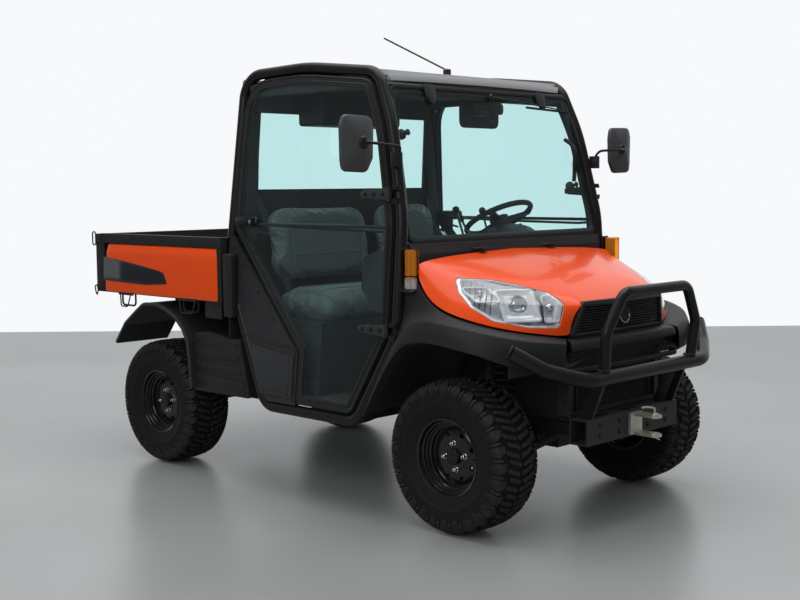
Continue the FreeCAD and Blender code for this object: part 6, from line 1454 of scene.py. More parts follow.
piece("side_cover_shells", pair(cover_shell()), moulded_black, bevel=0.003,
      replaces=("side_covers",))
bands = []
for z0, z1, x0, x1 in ((0.64, 0.606, 0.395, 0.715), (0.575, 0.54, 0.39, 0.735), (0.51, 0.474, 0.388, 0.752)):
    outline = ((x0, z0), (x1, z0 - 0.012), (x1 + 0.006, z1 - 0.012), (x0 - 0.002, z1))
    corners = [at(x, -0.7625, z) for x, z in outline]
    bands.append(soft_plate(corners, 0.008, OUT, 0.0035))
piece("side_cover_bands", pair(*bands), moulded_black, bevel=0.002)
cover_bolts = [screw_head(at(x, -0.7625, z), OUT) for x, z in COVER_BOLTS]
piece("side_cover_bolts", pair(*cover_bolts), satin_black)

fender_line = rounded([at(x, -0.788, z) for x, z in FENDER_EDGE], 0.09, 4)
fender_edge = section_sweep(fender_line, ROLLED_EDGE, OUT)
# painted highlight: the rolled edge is lighter grey than the black fender, so its bright line is partly
# painted and partly caught by its rounded section
piece("rear_fender_edges", pair(fender_edge), moulded_grey, bevel=0.002)
print("rear corner dressed")

# %% [markdown]
# The sides of the cab lean inward, so the doors' fittings are drawn in that leaning plane. A point there has
# a station, a height along the plane and a depth inside its outer face. The ring of tube around each side
# gives the door its outline, a running gap inside the ring and with its own step at the lower rear.

# %% The leaning side plane
SILL_HEIGHT, SILL_HALF = 0.43, 0.79
LEAN = math.radians(5.14)
RING_INSET = 0.033


def leaning(x, height, depth):
    """A point of the right-hand side plane, a depth inside its outer face"""
    rise = height - SILL_HEIGHT
    y = -SILL_HALF + depth * math.cos(LEAN) + rise * math.sin(LEAN)
    return at(x, y, SILL_HEIGHT - depth * math.sin(LEAN) + rise * math.cos(LEAN))


OUTSIDE = (leaning(1, 1, -1) - leaning(1, 1, 0)).normalized()
RING = metres([
    (1535, 415), (920, 415), (604, 1036), (655, 1955), (1100, 1965), (1555, 1915), (1655, 1680),
    (1742, 1280), (1745, 800),
])
RING_BENDS = metres([90, 100, 350, 230, 1193, 108, 775, 496, 100])


def inset_corners(corners, distance):
    """The corners of a closed outline moved inward by a distance"""
    moved = []
    for index, (x, z) in enumerate(corners):
        before, after = corners[index - 1], corners[(index + 1) % len(corners)]
        one = Vector((x - before[0], z - before[1])).normalized()
        two = Vector((after[0] - x, after[1] - z)).normalized()
        left_one, left_two = Vector((one.y, -one.x)), Vector((two.y, -two.x))
        spread = (left_one + left_two).normalized()
        reach = distance / max(spread.dot(left_one), 0.2)
        moved.append((x + spread.x * reach, z + spread.y * reach))
    return moved


def at_level(low, high, z):
    share = (z - low[1]) / (high[1] - low[1])
    return (low[0] + (high[0] - low[0]) * share, z)


ring_inner = inset_corners(RING, RING_INSET)
DOOR_CORNERS = [ring_inner[0], (1.16, ring_inner[0][1]), (1.16, 0.69),
                at_level(ring_inner[2], ring_inner[3], 1.24)] + ring_inner[3:]
DOOR_BENDS = [0.057, 0.02, 0.04, 0.11] + [bend - RING_INSET for bend in RING_BENDS[3:]]


def door_line(inset, depth, steps=6):
    """The door's outline, moved inward by a distance and set at a depth"""
    bends = [max(bend - inset, 0.014) for bend in DOOR_BENDS]
    corners = [leaning(x, z, depth) for x, z in inset_corners(DOOR_CORNERS, inset)]
    return rounded(corners, bends, steps, closed=True)


print("door outline", len(door_line(0, 0)), "points")

# %% [markdown]
# Around the pane runs a rubber glazing strip, and around the door a bulb seal that shows as a second thin
# line inside the ring. Hinge leaves are bolted through the door frame, with a fixed leaf on the pillar.

# %% Seals, hinges and handles
def glued_line(inset, width, low, high):
    """A strip that follows the door's outline; low and high are depths outward"""
    section = [(-width / 2, low), (width / 2, low), (width / 2, high), (-width / 2, high)]
    return section_sweep(door_line(inset, 0.0), section, OUTSIDE, closed=True)


def door_bar(inset, depth, size):
    """A thin bar that follows the door's outline"""
    return tube(door_line(inset, depth), size, 8, True)


HINGES = [(1.39, 1.692), (0.82, 1.718)]
HINGE_COVER = metres([
    (2, -26), (-60, -22), (-150, -16), (-168, -6), (-168, 8), (-150, 17), (-60, 22), (2, 26),
])
bolts, covers, feet = [], [], []
for height, x in HINGES:
    for back in (0.035, 0.088, 0.14):
        bolts.append(hex_head(leaning(x - back, height, -0.0165), OUTSIDE, 0.0075, 0.0055))
    outline = [leaning(x + u, height + v, -0.014) for u, v in HINGE_COVER]
    covers.append(soft_plate(outline, 0.007, OUTSIDE, 0.003))
    for middle_height in (height - 0.031, height + 0.031):
        feet.append(box_form(leaning(x + 0.014, middle_height - 0.008, -0.01),
                             leaning(x + 0.05, middle_height + 0.008, 0.004)))


def side_plate(corners, bend, depth, thickness, steps=3):
    """A plate in the side plane from (station, height) corners"""
    return soft_plate([leaning(x, z, depth) for x, z in corners], bend, OUTSIDE, thickness, steps)


def side_bar(points, bend, size, steps=4, sides=8):
    """A bent bar through (station, height, depth) points of the side plane"""
    return bent([leaning(*point) for point in points], bend, size, steps, sides)


handle_plate = joined([
    side_plate([(0.692, 1.243), (0.806, 1.243), (0.808, 1.283), (0.692, 1.283)], 0.007, -0.0225, 0.004),
    side_plate([(0.7, 1.251), (0.784, 1.248), (0.788, 1.274), (0.7, 1.274)], 0.006, -0.0285, 0.008),
])
handle_lock = turned([(0, TIP), (0, 0.0095), (0.004, 0.009), (0.005, 0.006), (0.003, TIP)],
                     leaning(0.797, 1.262, -0.0265), OUTSIDE, 20)
pull_bar = side_bar([(0.7, 1.262, 0.03), (0.76, 1.2545, 0.044), (1.2, 1.242, 0.046), (1.64, 1.236, 0.044),
                     (1.682, 1.238, 0.03)], 0.05, 0.0065, 5, 10)
latch_case = [leaning(x, z, 0.028) for x, z in ((0.705, 1.175), (0.78, 1.175), (0.79, 1.27), (0.705, 1.275))]
inside_latch = joined([
    soft_plate(latch_case, 0.01, -OUTSIDE, 0.016),
    side_bar([(0.765, 1.225, 0.04), (0.8, 1.215, 0.06), (0.85, 1.205, 0.062)], 0.02, 0.006),
])
door_seal = joined([glued_line(0.034, 0.01, -0.004, 0.0028), door_bar(0.003, 0.014, 0.0052)])
door_edge = joined([door_bar(0.006, 0.002, 0.0042), door_bar(0.0265, 0.001, 0.0036)])
DOOR_PARTS = {  # form, finish, bevel
    "door_seals_": (door_seal, rubber_seal, 0), "door_edges_": (door_edge, powder_black, 0),
    "hinge_covers_": (joined(covers), moulded_grey, 0.001), "hinge_bolts_": (joined(bolts), powder_black, 0),
    "door_handle_": (handle_plate, satin_black, 0.0015), "door_lock_": (handle_lock, chrome, 0),
    "door_pull_": (pull_bar, satin_black, 0), "door_latch_": (inside_latch, moulded_black, 0.002),
}
for side in ("right", "left"):
    for name, (form, material, bevel) in DOOR_PARTS.items():
        form = mirrored(form) if side == "left" else form
        piece(name + side, form, material, bevel=bevel, body="door_" + side)
piece("hinge_feet", pair(*feet), powder_black, bevel=0.002)
print("door fittings placed")

# %% [markdown]
# Behind each door a black corner panel fills the triangle. Its upper part is a plain sheet with a rolled
# edge along the slope; its lower part is a dark-grey moulding with a raised field. Studs hold both.

# %% Corner panels
LOWER_FIELD = [(0.905, 0.47), (1.128, 0.47), (1.128, 0.652), (0.8, 0.7)]
RAISED_FIELD = [(0.925, 0.492), (1.106, 0.492), (1.106, 0.628), (0.838, 0.668)]
SLOPE_LOW, SLOPE_HIGH = (1.13, 0.688), (0.671, 1.165)

lower = pair(side_plate(LOWER_FIELD, 0.018, -0.0005, 0.004, 4),
             side_plate(RAISED_FIELD, 0.014, -0.0045, 0.003, 4))
piece("corner_mouldings", lower, moulded_grey, bevel=0.0022)
seam = tube([leaning(0.742, 0.742, -0.001), leaning(1.13, 0.692, -0.001)], 0.0028, 8)
slope = side_bar([(1.136, 0.455, -0.001), (1.136, 0.69, -0.001), (0.668, 1.178, -0.001)], 0.04, 0.0034, 6)
piece("corner_panel_edges", pair(seam, slope), powder_black)
studs = []
for share in (0.06, 0.3, 0.55, 0.8, 0.97):
    x, z = (low + (high - low) * share for low, high in zip(SLOPE_LOW, SLOPE_HIGH))
    studs.append(screw_head(leaning(x - 0.022, z - 0.012, 0.0005), OUTSIDE, 0.0055, 0.003))
for x, z in ((0.93, 0.482), (1.1, 0.482), (0.83, 0.684), (1.1, 0.642)):
    studs.append(screw_head(leaning(x, z, -0.0035), OUTSIDE, 0.005, 0.003))
piece("corner_panel_studs", pair(*studs), satin_black)
print("corner panels dressed")

# %% [markdown]
# Dark sheets stand in for shade, as painted shade. They are put where only shade is seen: beside the rear
# wall, behind the running gap over each door, between the bed and the cab's lower corner, and inside the
# front wheels. There they close the openings that would show daylight.

# %% Painted shade: dark closing sheets
# painted shade: a dark sheet beside the rear wall and a dark strip behind the running gap, where only shade
# is seen
rear_shade_outline = [(0.92, 0.036), (1.86, 0.036), (1.86, 0.1), (0.92, 0.1)]
edge = plate([leaning(0.682, z, depth) for z, depth in rear_shade_outline], AHEAD, 0.008)
gap_line = rounded([leaning(x, z, 0) for x, z in ((0.64, 1.1), (0.683, 1.927), (1.1, 1.937), (1.5, 1.895))],
                   [0.01, 0.2, 1.0, 0.01], 6)
gap_shade_strip = section_sweep(gap_line, [(-0.022, -0.043), (0.022, -0.043), (0.022, -0.04), (-0.022, -0.04)],
                           OUTSIDE)
# painted shade: dark sheets where only shade is seen, also between the bed and the cab and inside the front
# wheels
SHADE_SHEETS = {
    "cab_edge_shade_sheets": ([edge, gap_shade_strip], "chassis"),
    "corner_shade_sheets": ([slab(0.628, 0.636, -0.745, -0.56, 0.6, 0.9)], "chassis"),
    "wheel_well_shade_sheets": ([slab(1.72, 2.33, -0.272, -0.266, 0.44, 0.8),
                       slab(2.25, 2.256, -0.62, -0.266, 0.655, 0.8)], "chassis"),
    "bed_corner_shade_sheets": ([slab(0.47, 0.6, -0.765, -0.757, 0.79, 0.915)], "bed"),
}
for name, (forms, body) in SHADE_SHEETS.items():
    piece(name, pair(*forms), moulded_black, bevel=0.0015, body=body)
print("openings closed")

# %% [markdown]
# The seats are grained vinyl over foam. Each cushion starts as a rounded block a little smaller than its
# CAD solid, is remeshed into an even skin and blown up by a cloth simulation, so that it crowns between its
# corners as a real one does. The seams come afterwards, as fine beads laid on the swollen skin.

# %% Cushions blown up by cloth
VOXEL = 0.006
CLOTH_FRAMES = 20
CLOTH_PRESSURE = 4.0
CUSHION_CAP = 0.024
BEAD_RADIUS = 0.0028
BEAD_STEPS = 26


def signed_power(value, power):
    """A power that keeps the value's sign"""
    return math.copysign(abs(value) ** (2 / power), value)


def soft_block(centre, size, axes, power, crown, steps=20):
    """A closed block with rounded sides: a superellipsoid along three axes, crowned at its front"""
    rows = []
    for i in range(steps + 1):
        polar = math.pi * (i / steps - 0.5)
        flat = signed_power(math.cos(polar), power)
        row = []
        for j in range(steps * 2):
            around = math.pi * j / steps
            u = flat * signed_power(math.cos(around), power)
            v = flat * signed_power(math.sin(around), power)
            w = signed_power(math.sin(polar), power) - crown * (u * u + v * v * 0.4)
            offsets = [axis * (share * length / 2) for axis, share, length in zip(axes, (u, v, w), size)]
            row.append(centre + offsets[0] + offsets[1] + offsets[2])
        rows.append(row)
    return rows_to_faces(rows, around=True)


def swell(obj):
    """Blows a piece up by cloth, no point further than the cap"""
    rest = [vertex.co.copy() for vertex in obj.data.vertices]
    cloth = add_modifier(obj, "CLOTH")
    cloth.settings.use_pressure = True
    cloth.settings.uniform_pressure_force = CLOTH_PRESSURE
    cloth.settings.effector_weights.gravity = 0.0
    cloth.settings.quality = 4
    cloth.point_cache.frame_start = 1
    cloth.point_cache.frame_end = CLOTH_FRAMES
    for step in range(1, CLOTH_FRAMES + 1):
        bpy.context.scene.frame_set(step)
    apply_modifiers(obj)
    bpy.context.scene.frame_set(1)
    for vertex, start in zip(obj.data.vertices, rest):
        shift = vertex.co - start
        if shift.length > CUSHION_CAP:
            vertex.co = start + shift.normalized() * CUSHION_CAP


def soft_piece(name, form, replaced):
    """A cushion: remeshed into an even skin, swollen and smoothed"""
    obj = mesh_object(name, form)
    add_modifier(obj, "REMESH", mode="VOXEL", voxel_size=VOXEL, use_smooth_shade=True)
    apply_modifiers(obj)
    swell(obj)
    add_modifier(obj, "SUBSURF", levels=1, render_levels=1)
    apply_modifiers(obj)
    obj.data.shade_smooth()
    dress(obj, seat_vinyl, replaces=replaced)
    return obj


def surface_bead(obj, start, line, aim):
    """A sewn bead on a swollen skin, found by casting rays from points along a line"""
    points = []
    for step in range(BEAD_STEPS + 1):
        hit, place, normal, _ = obj.ray_cast(start + line * (step / BEAD_STEPS), aim)
        if hit:
            points.append(place + normal * BEAD_RADIUS * 0.35)
    return tube(points, BEAD_RADIUS, 8)


def add_seams(name, obj, lines, aim):
    """The beads of one cushion, from starting points and lines"""
    beads = joined([surface_bead(obj, start, line, aim) for start, line in lines])
    piece(name, beads, seat_vinyl)


RECLINE = math.radians(8)
BACK_UP = Vector((-math.sin(RECLINE), 0, math.cos(RECLINE)))
BACK_FORWARD = Vector((math.cos(RECLINE), 0, math.sin(RECLINE)))
SEATS = {"passenger": (-0.625, 0.062), "driver": (0.108, 0.582)}
BACKS = {"passenger": (-0.59, 0.062), "driver": (0.13, 0.56)}
SEAM_INSET = 0.055
cushions = []
for name, (near, far) in SEATS.items():
    centre, width = at(1.004, (near + far) / 2, 0.872), far - near
    form = soft_block(centre, (0.432, width - 0.018, 0.106), (AHEAD, LEFTWARD, UP), 6.0, 0.1)
    cushion = soft_piece("seat_cushion_" + name, form, ("seat_cushions",) if name == "passenger" else ())
    lines = [(at(0.81, y, 1.2), AHEAD * 0.4) for y in (near + SEAM_INSET, far - SEAM_INSET)]
    for x in (0.93, 1.1):
        lines.append((at(x, near + SEAM_INSET, 1.2), LEFTWARD * (width - 2 * SEAM_INSET)))
    add_seams("seat_cushion_seams_" + name, cushion, lines, -UP)
    cushions.append(cushion)
for name, (near, far) in BACKS.items():
    centre, width = at(0.757, (near + far) / 2, 1.146), far - near
    form = soft_block(centre, (0.388, width, 0.08), (BACK_UP, LEFTWARD, BACK_FORWARD), 4.2, 0.12)
    cushion = soft_piece("seat_back_" + name, form, ("seat_backs",) if name == "passenger" else ())
    lines = []
    for share in (0.16, 0.84):
        start = at(0.757, near + width * share, 1.146) - BACK_UP * 0.165 + BACK_FORWARD * 0.3
        lines.append((start, BACK_UP * 0.335))
    for rise in (-0.06, 0.1):
        start = at(0.757, near + width * 0.16, 1.146) + BACK_UP * rise + BACK_FORWARD * 0.3
        lines.append((start, LEFTWARD * width * 0.68))
    add_seams("seat_back_seams_" + name, cushion, lines, -BACK_FORWARD)
    cushions.append(cushion)
print("cushions", [len(cushion.data.polygons) for cushion in cushions], "faces")

# %% [markdown]
# Inside the roof hangs a dark liner with a box across the rear wall's top, a sun visor and the wiper motor.
# The windshield has a black border and is held by clamps with knobs. Above it the roof shows a silver edge.

# %% Liner, roof box, visor and roof edge
LINER = metres([
    (668, 1515, -585, 585, 1868, 1893), (652, 700, -600, 600, 1776, 1900),
    (1480, 1548, -560, 560, 1812, 1880), (690, 1490, -640, -575, 1842, 1905),
    (690, 1490, 575, 640, 1842, 1905),
])
EDGE_HALF = metres([(1552, 585, 1888), (1562, 300, 1892), (1564, 0, 1893)])
EDGE_SECTION = metres([(-30, -18), (2, -18), (7, -10), (3, 2), (-30, 12)])
VISOR_HALF = metres([(1548, 600, 1850), (1566, 300, 1853), (1569, 0, 1854)])
VISOR_SECTION = metres([(-20, -46), (-2, -46), (3, 20), (-20, 20)])


def soft_slab(x0, x1, y0, y1, z0, z1, bend):
    """A slab whose outline seen from the front is rounded"""
    outline = [at(x0, y, z) for y, z in ((y0, z0), (y1, z0), (y1, z1), (y0, z1))]
    return soft_plate(outline, bend, AHEAD, x1 - x0, steps=5)


def front_moulding(half, section):
    """A moulding across the roof's front, from the (station, y, height) points of one half"""
    line = [at(x, -y, z) for x, y, z in half] + [at(*point) for point in half[-2::-1]]
    return section_sweep(rounded(line, 0.5, 4), section, UP)


liner = joined([slab(*sizes) for sizes in LINER])
piece("headliner", liner, liner_grey, bevel=0.008, segments=3)
roof_box = soft_slab(0.7, 0.88, -0.345, 0.185, 1.716, 1.872, 0.02)
piece("roof_box", roof_box, moulded_black, bevel=0.01, segments=3)
visor = soft_slab(1.486, 1.5, -0.05, 0.225, 1.688, 1.822, 0.035)
piece("sun_visor", visor, liner_grey, bevel=0.005, segments=3)
piece("roof_front_edge", front_moulding(EDGE_HALF, EDGE_SECTION), roof_grey, bevel=0.003)
piece("visor_band", front_moulding(VISOR_HALF, VISOR_SECTION), moulded_grey, bevel=0.003)
roof_ribs = [slab(0.76, 1.47, y - 0.022, y + 0.022, 1.916, 1.9245) for y in (-0.42, -0.21, 0.0, 0.21, 0.42)]
piece("roof_ribs", joined(roof_ribs), roof_grey, bevel=0.0035, segments=3)
aerial = joined([
    turned([(0, 0.0185), (0.028, 0.018), (0.032, 0.013), (0.034, TIP)], at(1.463, -0.1, 1.924), UP, 24),
    tube([at(1.463, -0.1, 1.95), at(1.056, -0.1, 2.131)], 0.0042, 8),
])
piece("aerial_sleeve", aerial, rubber_seal)
print("roof dressed")

# %% [markdown]
# The windshield leans back between two heights, so its fittings are placed by how far up and across the
# pane they are. The black border is printed on the inside of the glass and wider at its foot.

# %% Windshield fittings
SHIELD_FOOT = at(1.7555, 0, 1.18)
SHIELD_TOP = at(1.6055, 0, 1.85)
shield_up = (SHIELD_TOP - SHIELD_FOOT).normalized()
shield_out = Vector((shield_up.z, 0, -shield_up.x))
shield_length = (SHIELD_TOP - SHIELD_FOOT).length


def on_shield(y, share, out=0.0):
    """A point of the windshield: across, a share of the way up, and a distance out of the glass"""
    return SHIELD_FOOT + shield_up * (shield_length * share) + Vector((0, y, 0)) + shield_out * out


def shield_line(inset, out):
    """A rounded outline on the pane, an inset inside its edge"""
    low, high = inset / shield_length, 1 - inset / shield_length
    corners = [on_shield(-0.668 + inset, low, out), on_shield(0.668 - inset, low, out),
               on_shield(0.629 - inset, high, out), on_shield(-0.629 + inset, high, out)]
    return rounded(corners, [0.035, 0.035, 0.05, 0.05], 5, closed=True)


border = rows_to_faces([shield_line(0.002, -0.0045), shield_line(0.03, -0.0045)], around=True)
thicken(piece("windshield_border", border, satin_black), 0.0012)
trim_section = [(-0.006, -0.009), (0.009, -0.009), (0.009, 0.0055), (-0.006, 0.0055)]
trim = section_sweep(shield_line(0.004, 0.0), trim_section, shield_out, closed=True)
piece("windshield_seal", trim, rubber_seal, bevel=0.002)


def knob(y, share):
    """A round clamp knob on its stem, inside the pane, with its pad outside"""
    profile = [(-0.055, TIP), (-0.055, 0.019), (-0.046, 0.023), (-0.034, 0.023), (-0.026, 0.017),
               (-0.024, 0.007), (-0.004, 0.007), (-0.004, 0.014), (0.004, 0.014), (0.006, 0.01),
               (0.006, TIP)]
    return turned(profile, on_shield(y, share), shield_out, 20)


def top_clip(y):
    """A shaped clip over the top edge"""
    outline = [(-0.034, 0.01), (-0.022, -0.04), (0.0, -0.075), (0.022, -0.075), (0.036, -0.045),
               (0.034, 0.01)]
    corners = [on_shield(y + u, 1 + v / shield_length, 0.004) for u, v in outline]
    return soft_plate(corners, 0.012, shield_out, 0.012, steps=4)


clamps = joined([knob(-0.56, 0.7), top_clip(-0.39), top_clip(0.39), knob(0.575, 0.36)])
piece("windshield_clamps", clamps, moulded_grey, bevel=0.0015)

MOTOR = [(0, TIP), (0, 0.03), (0.012, 0.034), (0.085, 0.034), (0.095, 0.026), (0.095, TIP)]
HUB = [(-0.012, TIP), (-0.012, 0.016), (0.008, 0.015), (0.014, 0.009), (0.014, TIP)]
NOZZLE = [(0, TIP), (0, 0.011), (0.006, 0.01), (0.012, 0.006), (0.013, TIP)]


def wiper():
    """The wiper: a parked arm on its hub, and the motor behind the top edge with its gearbox and cable"""
    pivot = on_shield(0.02, 0.955, 0.01)
    tip = on_shield(0.52, 0.9, 0.014)
    cable = [(1.58, 0.02, 1.752), (1.585, 0.035, 1.715), (1.585, 0.085, 1.712), (1.575, 0.105, 1.75)]
    return joined([
        tube([pivot, pivot.lerp(tip, 0.5) + shield_out * 0.008, tip], [0.0065, 0.005, 0.0035], 8),
        turned(HUB, pivot, shield_out, 20),
        turned(MOTOR, at(1.56, -0.05, 1.772), LEFTWARD, 24),
        soft_slab(1.545, 1.59, 0.03, 0.15, 1.748, 1.8, 0.02),
        rod(cable, 0.018, 0.004),
    ])


piece("wiper", wiper(), satin_black, bevel=0.0015)
blade = section_sweep([on_shield(0.28, 0.905, 0.006), on_shield(0.6, 0.888, 0.006)],
                      [(-0.005, -0.004), (0.005, -0.004), (0.003, 0.006), (-0.003, 0.006)], shield_out)
piece("wiper_blade", blade, rubber_seal)
nozzles = [turned(NOZZLE, at(1.815, y, 1.141), Vector((0.3, 0, 1)), 14) for y in (-0.24, 0.16)]
piece("washer_nozzles", joined(nozzles), rubber_seal, body="hood")
print("windshield dressed")

# %% [markdown]
# The dash carries a gauge hood with a dial, a row of switches, vents and a glove box; levers stand beside
# the steering column, and two pedals hang in front of the driver. Everything is dark, and shows as shapes
# against the light behind it.

# %% Dash, levers and pedals
DRIVER_Y = 0.36
DASH_FOOT = 1.146
DIAL = [(0, TIP), (0, 0.052), (-0.008, 0.056), (-0.012, 0.052), (-0.012, TIP)]
LEVERS = [  # foot, top, size of the rod, size of the knob
    ((1.4, 0.1, 1.08), (1.33, 0.105, 1.3), 0.006, 0.018),
    ((1.395, 0.175, 1.08), (1.29, 0.19, 1.255), 0.006, 0.016),
    ((1.385, 0.48, 1.18), (1.345, 0.58, 1.215), 0.0045, 0.01),
    ((1.03, 0.085, 0.8), (1.11, 0.085, 1.01), 0.007, 0.018),
]


def gauge_hood():
    """The arched hood over the gauges"""
    rows = []
    angles = [math.pi * step / 12 for step in range(13)]
    for x, wide, tall in ((1.395, 0.135, 0.07), (1.43, 0.15, 0.09), (1.52, 0.15, 0.08), (1.6, 0.12, 0.03)):
        rows.append([at(x, DRIVER_Y - wide * math.cos(angle), DASH_FOOT + tall * math.sin(angle))
                     for angle in angles])
    return rows_to_faces(rows)


def lever(foot, top, size, knob_size):
    """A lever with a pear-shaped knob"""
    foot, top = at(*foot), at(*top)
    profile = [(-knob_size, size), (-knob_size * 0.4, knob_size * 0.75), (0.2 * knob_size, knob_size),
               (0.9 * knob_size, knob_size * 0.8), (knob_size * 1.25, TIP)]
    bow = foot.lerp(top, 0.5) + AHEAD * 0.01
    return joined([bent([foot, bow, top], 0.05, size), turned(profile, top, (top - foot).normalized(), 16)])


def pedal(y, wide):
    """A ribbed pad on its hanging arm"""
    pad = [at(1.47, y - wide, 0.59), at(1.47, y + wide, 0.59), at(1.5, y + wide, 0.655),
           at(1.5, y - wide, 0.655)]
    forms = [soft_plate(pad, 0.01, Vector((-0.9, 0, 0.42)).normalized(), 0.01),
             rod([(1.487, y, 0.625), (1.545, y, 0.66), (1.585, y, 0.86)], 0.05, 0.008)]
    for step in range(4):
        x, z = 1.474 + 0.0075 * step, 0.6 + 0.016 * step
        forms.append(tube([at(x, y - wide * 0.85, z), at(x, y + wide * 0.85, z)], 0.0035, 6))
    return joined(forms)


cluster = piece("gauge_hood", gauge_hood(), moulded_black)
thicken(cluster, 0.006, -1.0)
smooth(cluster)
dial = turned(DIAL, at(1.425, DRIVER_Y, 1.182), Vector((1, 0, -0.3)), 32)
piece("gauge_dial", dial, satin_black)
switches = []
for index in range(5):
    y = index * 0.042
    switches.append(slab(1.392, 1.402, -0.06 + y, -0.03 + y, 1.06, 1.09))
for y in (-0.5, -0.22, 0.56):
    for index in range(4):
        z = index * 0.013
        switches.append(slab(1.391, 1.399, y - 0.045, y + 0.045, 1.06 + z, 1.066 + z))
switches.append(soft_slab(1.386, 1.398, -0.56, -0.2, 0.92, 1.035, 0.015))
piece("dash_fittings", joined(switches), satin_black, bevel=0.0022)
piece("levers", joined([lever(*row) for row in LEVERS]), satin_black)
shroud = [rod([(1.372, DRIVER_Y, 1.232), (1.47, DRIVER_Y, 1.12), (1.6, DRIVER_Y, 0.98)], 0.1, 0.038, 5, 18)]
for index in range(5):
    centre = at(1.415 + 0.012 * index, DRIVER_Y, 1.184 - 0.013 * index)
    shroud.append(turned([(-0.006, 0.04), (0, 0.047), (0.006, 0.04)], centre, Vector((0.68, 0, -0.73)), 20))
piece("column_shroud", joined(shroud), moulded_black)
piece("pedals", joined([pedal(0.27, 0.042), pedal(0.43, 0.036)]), satin_black, bevel=0.0012)
grab = rod([(1.615, 0.596, 1.641), (1.7, 0.572, 1.6), (1.69, 0.575, 1.5), (1.668, 0.6, 1.44)],
           0.05, 0.01, 5, 10)
piece("grab_handle", grab, rubber_seal)
belts = []
for y, lean in ((-0.6, 0.06), (0.615, -0.05)):
    strap = [at(0.672, y, 1.385), at(0.705, y + lean * 0.4, 1.3), at(0.8, y + lean, 1.05),
             at(0.862, y + lean, 0.84)]
    belts.append(section_sweep(rounded(strap, 0.4, 5),
                               [(-0.001, -0.023), (0.001, -0.023), (0.001, 0.023), (-0.001, 0.023)],
                               LEFTWARD))
piece("seat_belts", joined(belts), rubber_seal)
print("cab dressed")

# %% [markdown]
# Each mirror head is a moulded shell, narrower at its foot, whose back rises to a ridge where the arm's
# ball joint sits. The pane is on the rear face. The arm is one bent rod from a clamp on the pillar.

# %% Mirrors
MIRROR_RINGS = [(0.0, 0.9, 0.0), (0.004, 0.98, 0.0), (0.012, 1.0, 0.0), (0.022, 0.97, 0.0),
                (0.034, 0.72, 0.004), (0.044, 0.3, 0.008)]
MIRROR_OUTLINE = metres([
    (-80, -112), (52, -116), (86, -60), (91, 60), (80, 112), (-75, 116), (-91, 70), (-88, -70),
])
MIRROR_CENTRE = at(1.7, -0.922, 1.592)
BALL_CUP = [(-0.006, 0.03), (0.004, 0.029), (0.014, 0.022), (0.018, 0.013), (0.018, TIP)]


def mirror_ring(ahead, size, lift=0.0):
    """The mirror's outline at a size, moved ahead and up"""
    return [MIRROR_CENTRE + Vector((ahead, u * size, v * size + lift)) for u, v in MIRROR_OUTLINE]


def mirror_head():
    """The shell, as rings from the pane's edge forward to the ridge"""
    rows = []
    for ahead, size, lift in MIRROR_RINGS:
        rows.append(rounded(mirror_ring(ahead, size, lift), 0.028 * size, 5, closed=True))
    return rings(rows)


def mirror_arm():
    """Ball cup, bent rod and pillar clamp"""
    joint = MIRROR_CENTRE + Vector((0.052, 0.012, 0.006))
    elbow = MIRROR_CENTRE + Vector((0.06, 0.06, 0.002))
    return joined([
        turned(BALL_CUP, MIRROR_CENTRE + Vector((0.038, 0.012, 0.006)), AHEAD, 24),
        bent([joint, elbow, at(1.748, -0.7, 1.585), at(1.722, -0.694, 1.545)], 0.03, 0.0065, 5, 10),
        slab(1.7, 1.742, -0.715, -0.684, 1.5, 1.56),
    ])


pane = soft_plate(mirror_ring(-0.0012, 0.86), 0.022, BACK, 0.0016, steps=5)
# the mirror heads' lighter grey is a painted highlight
piece("mirror_heads", pair(mirror_head()), mirror_shell, replaces=("mirrors",))
piece("mirror_panes", pair(pane), mirror_glass, bevel=0.0006, segments=1)
piece("mirror_arms", pair(mirror_arm()), satin_black, bevel=0.002)
print("mirrors made")

# %% [markdown]
# The signal lamps have an amber block above and a clear one below, on a black base. A reflector plate with
# pressed ribs stands inside each block and shows through it.

# %% Signal lamps
SIGNAL_LOW, SIGNAL_SPLIT, SIGNAL_HIGH = 0.992, 1.046, 1.16


def signal_block(z0, z1):
    """One lens: a block with rounded upright edges"""
    outline = [at(x, y, z0) for x, y in ((1.779, -0.749), (1.843, -0.749), (1.843, -0.69), (1.779, -0.69))]
    return soft_plate(outline, 0.012, UP, z1 - z0, steps=4)


def signal_ribs(z0, z1):
    """Reflector plate with upright ribs"""
    forms = [slab(1.788, 1.834, -0.712, -0.706, z0 + 0.006, z1 - 0.006)]
    for step in range(6):
        x = 1.792 + step * 0.0078
        forms.append(tube([at(x, -0.714, z0 + 0.008), at(x, -0.714, z1 - 0.008)], 0.003, 8))
    return joined(forms)


amber = signal_block(SIGNAL_SPLIT + 0.001, SIGNAL_HIGH)
clear = signal_block(SIGNAL_LOW, SIGNAL_SPLIT - 0.001)
ribs = pair(signal_ribs(SIGNAL_LOW, SIGNAL_SPLIT), signal_ribs(SIGNAL_SPLIT, SIGNAL_HIGH))
base = pair(slab(1.77, 1.779, -0.742, -0.69, 0.984, 1.166), slab(1.77, 1.836, -0.738, -0.69, 0.984, 0.991))
piece("signal_amber", pair(amber), amber_lens, bevel=0.003, replaces=("signal_lamps",))
piece("signal_clear", pair(clear), milky_lens, bevel=0.003)
piece("signal_ribs", ribs, lamp_silver)
piece("signal_bases", base, rubber_seal, bevel=0.003)
print("signal lamps made")

# %% [markdown]
# The brush guard's posts stand on the bumper tube with an uneven weld around each foot. The receiver beam
# has braces up to that tube and two rows of bolts, and the clevis has bosses around a pin with a handle.

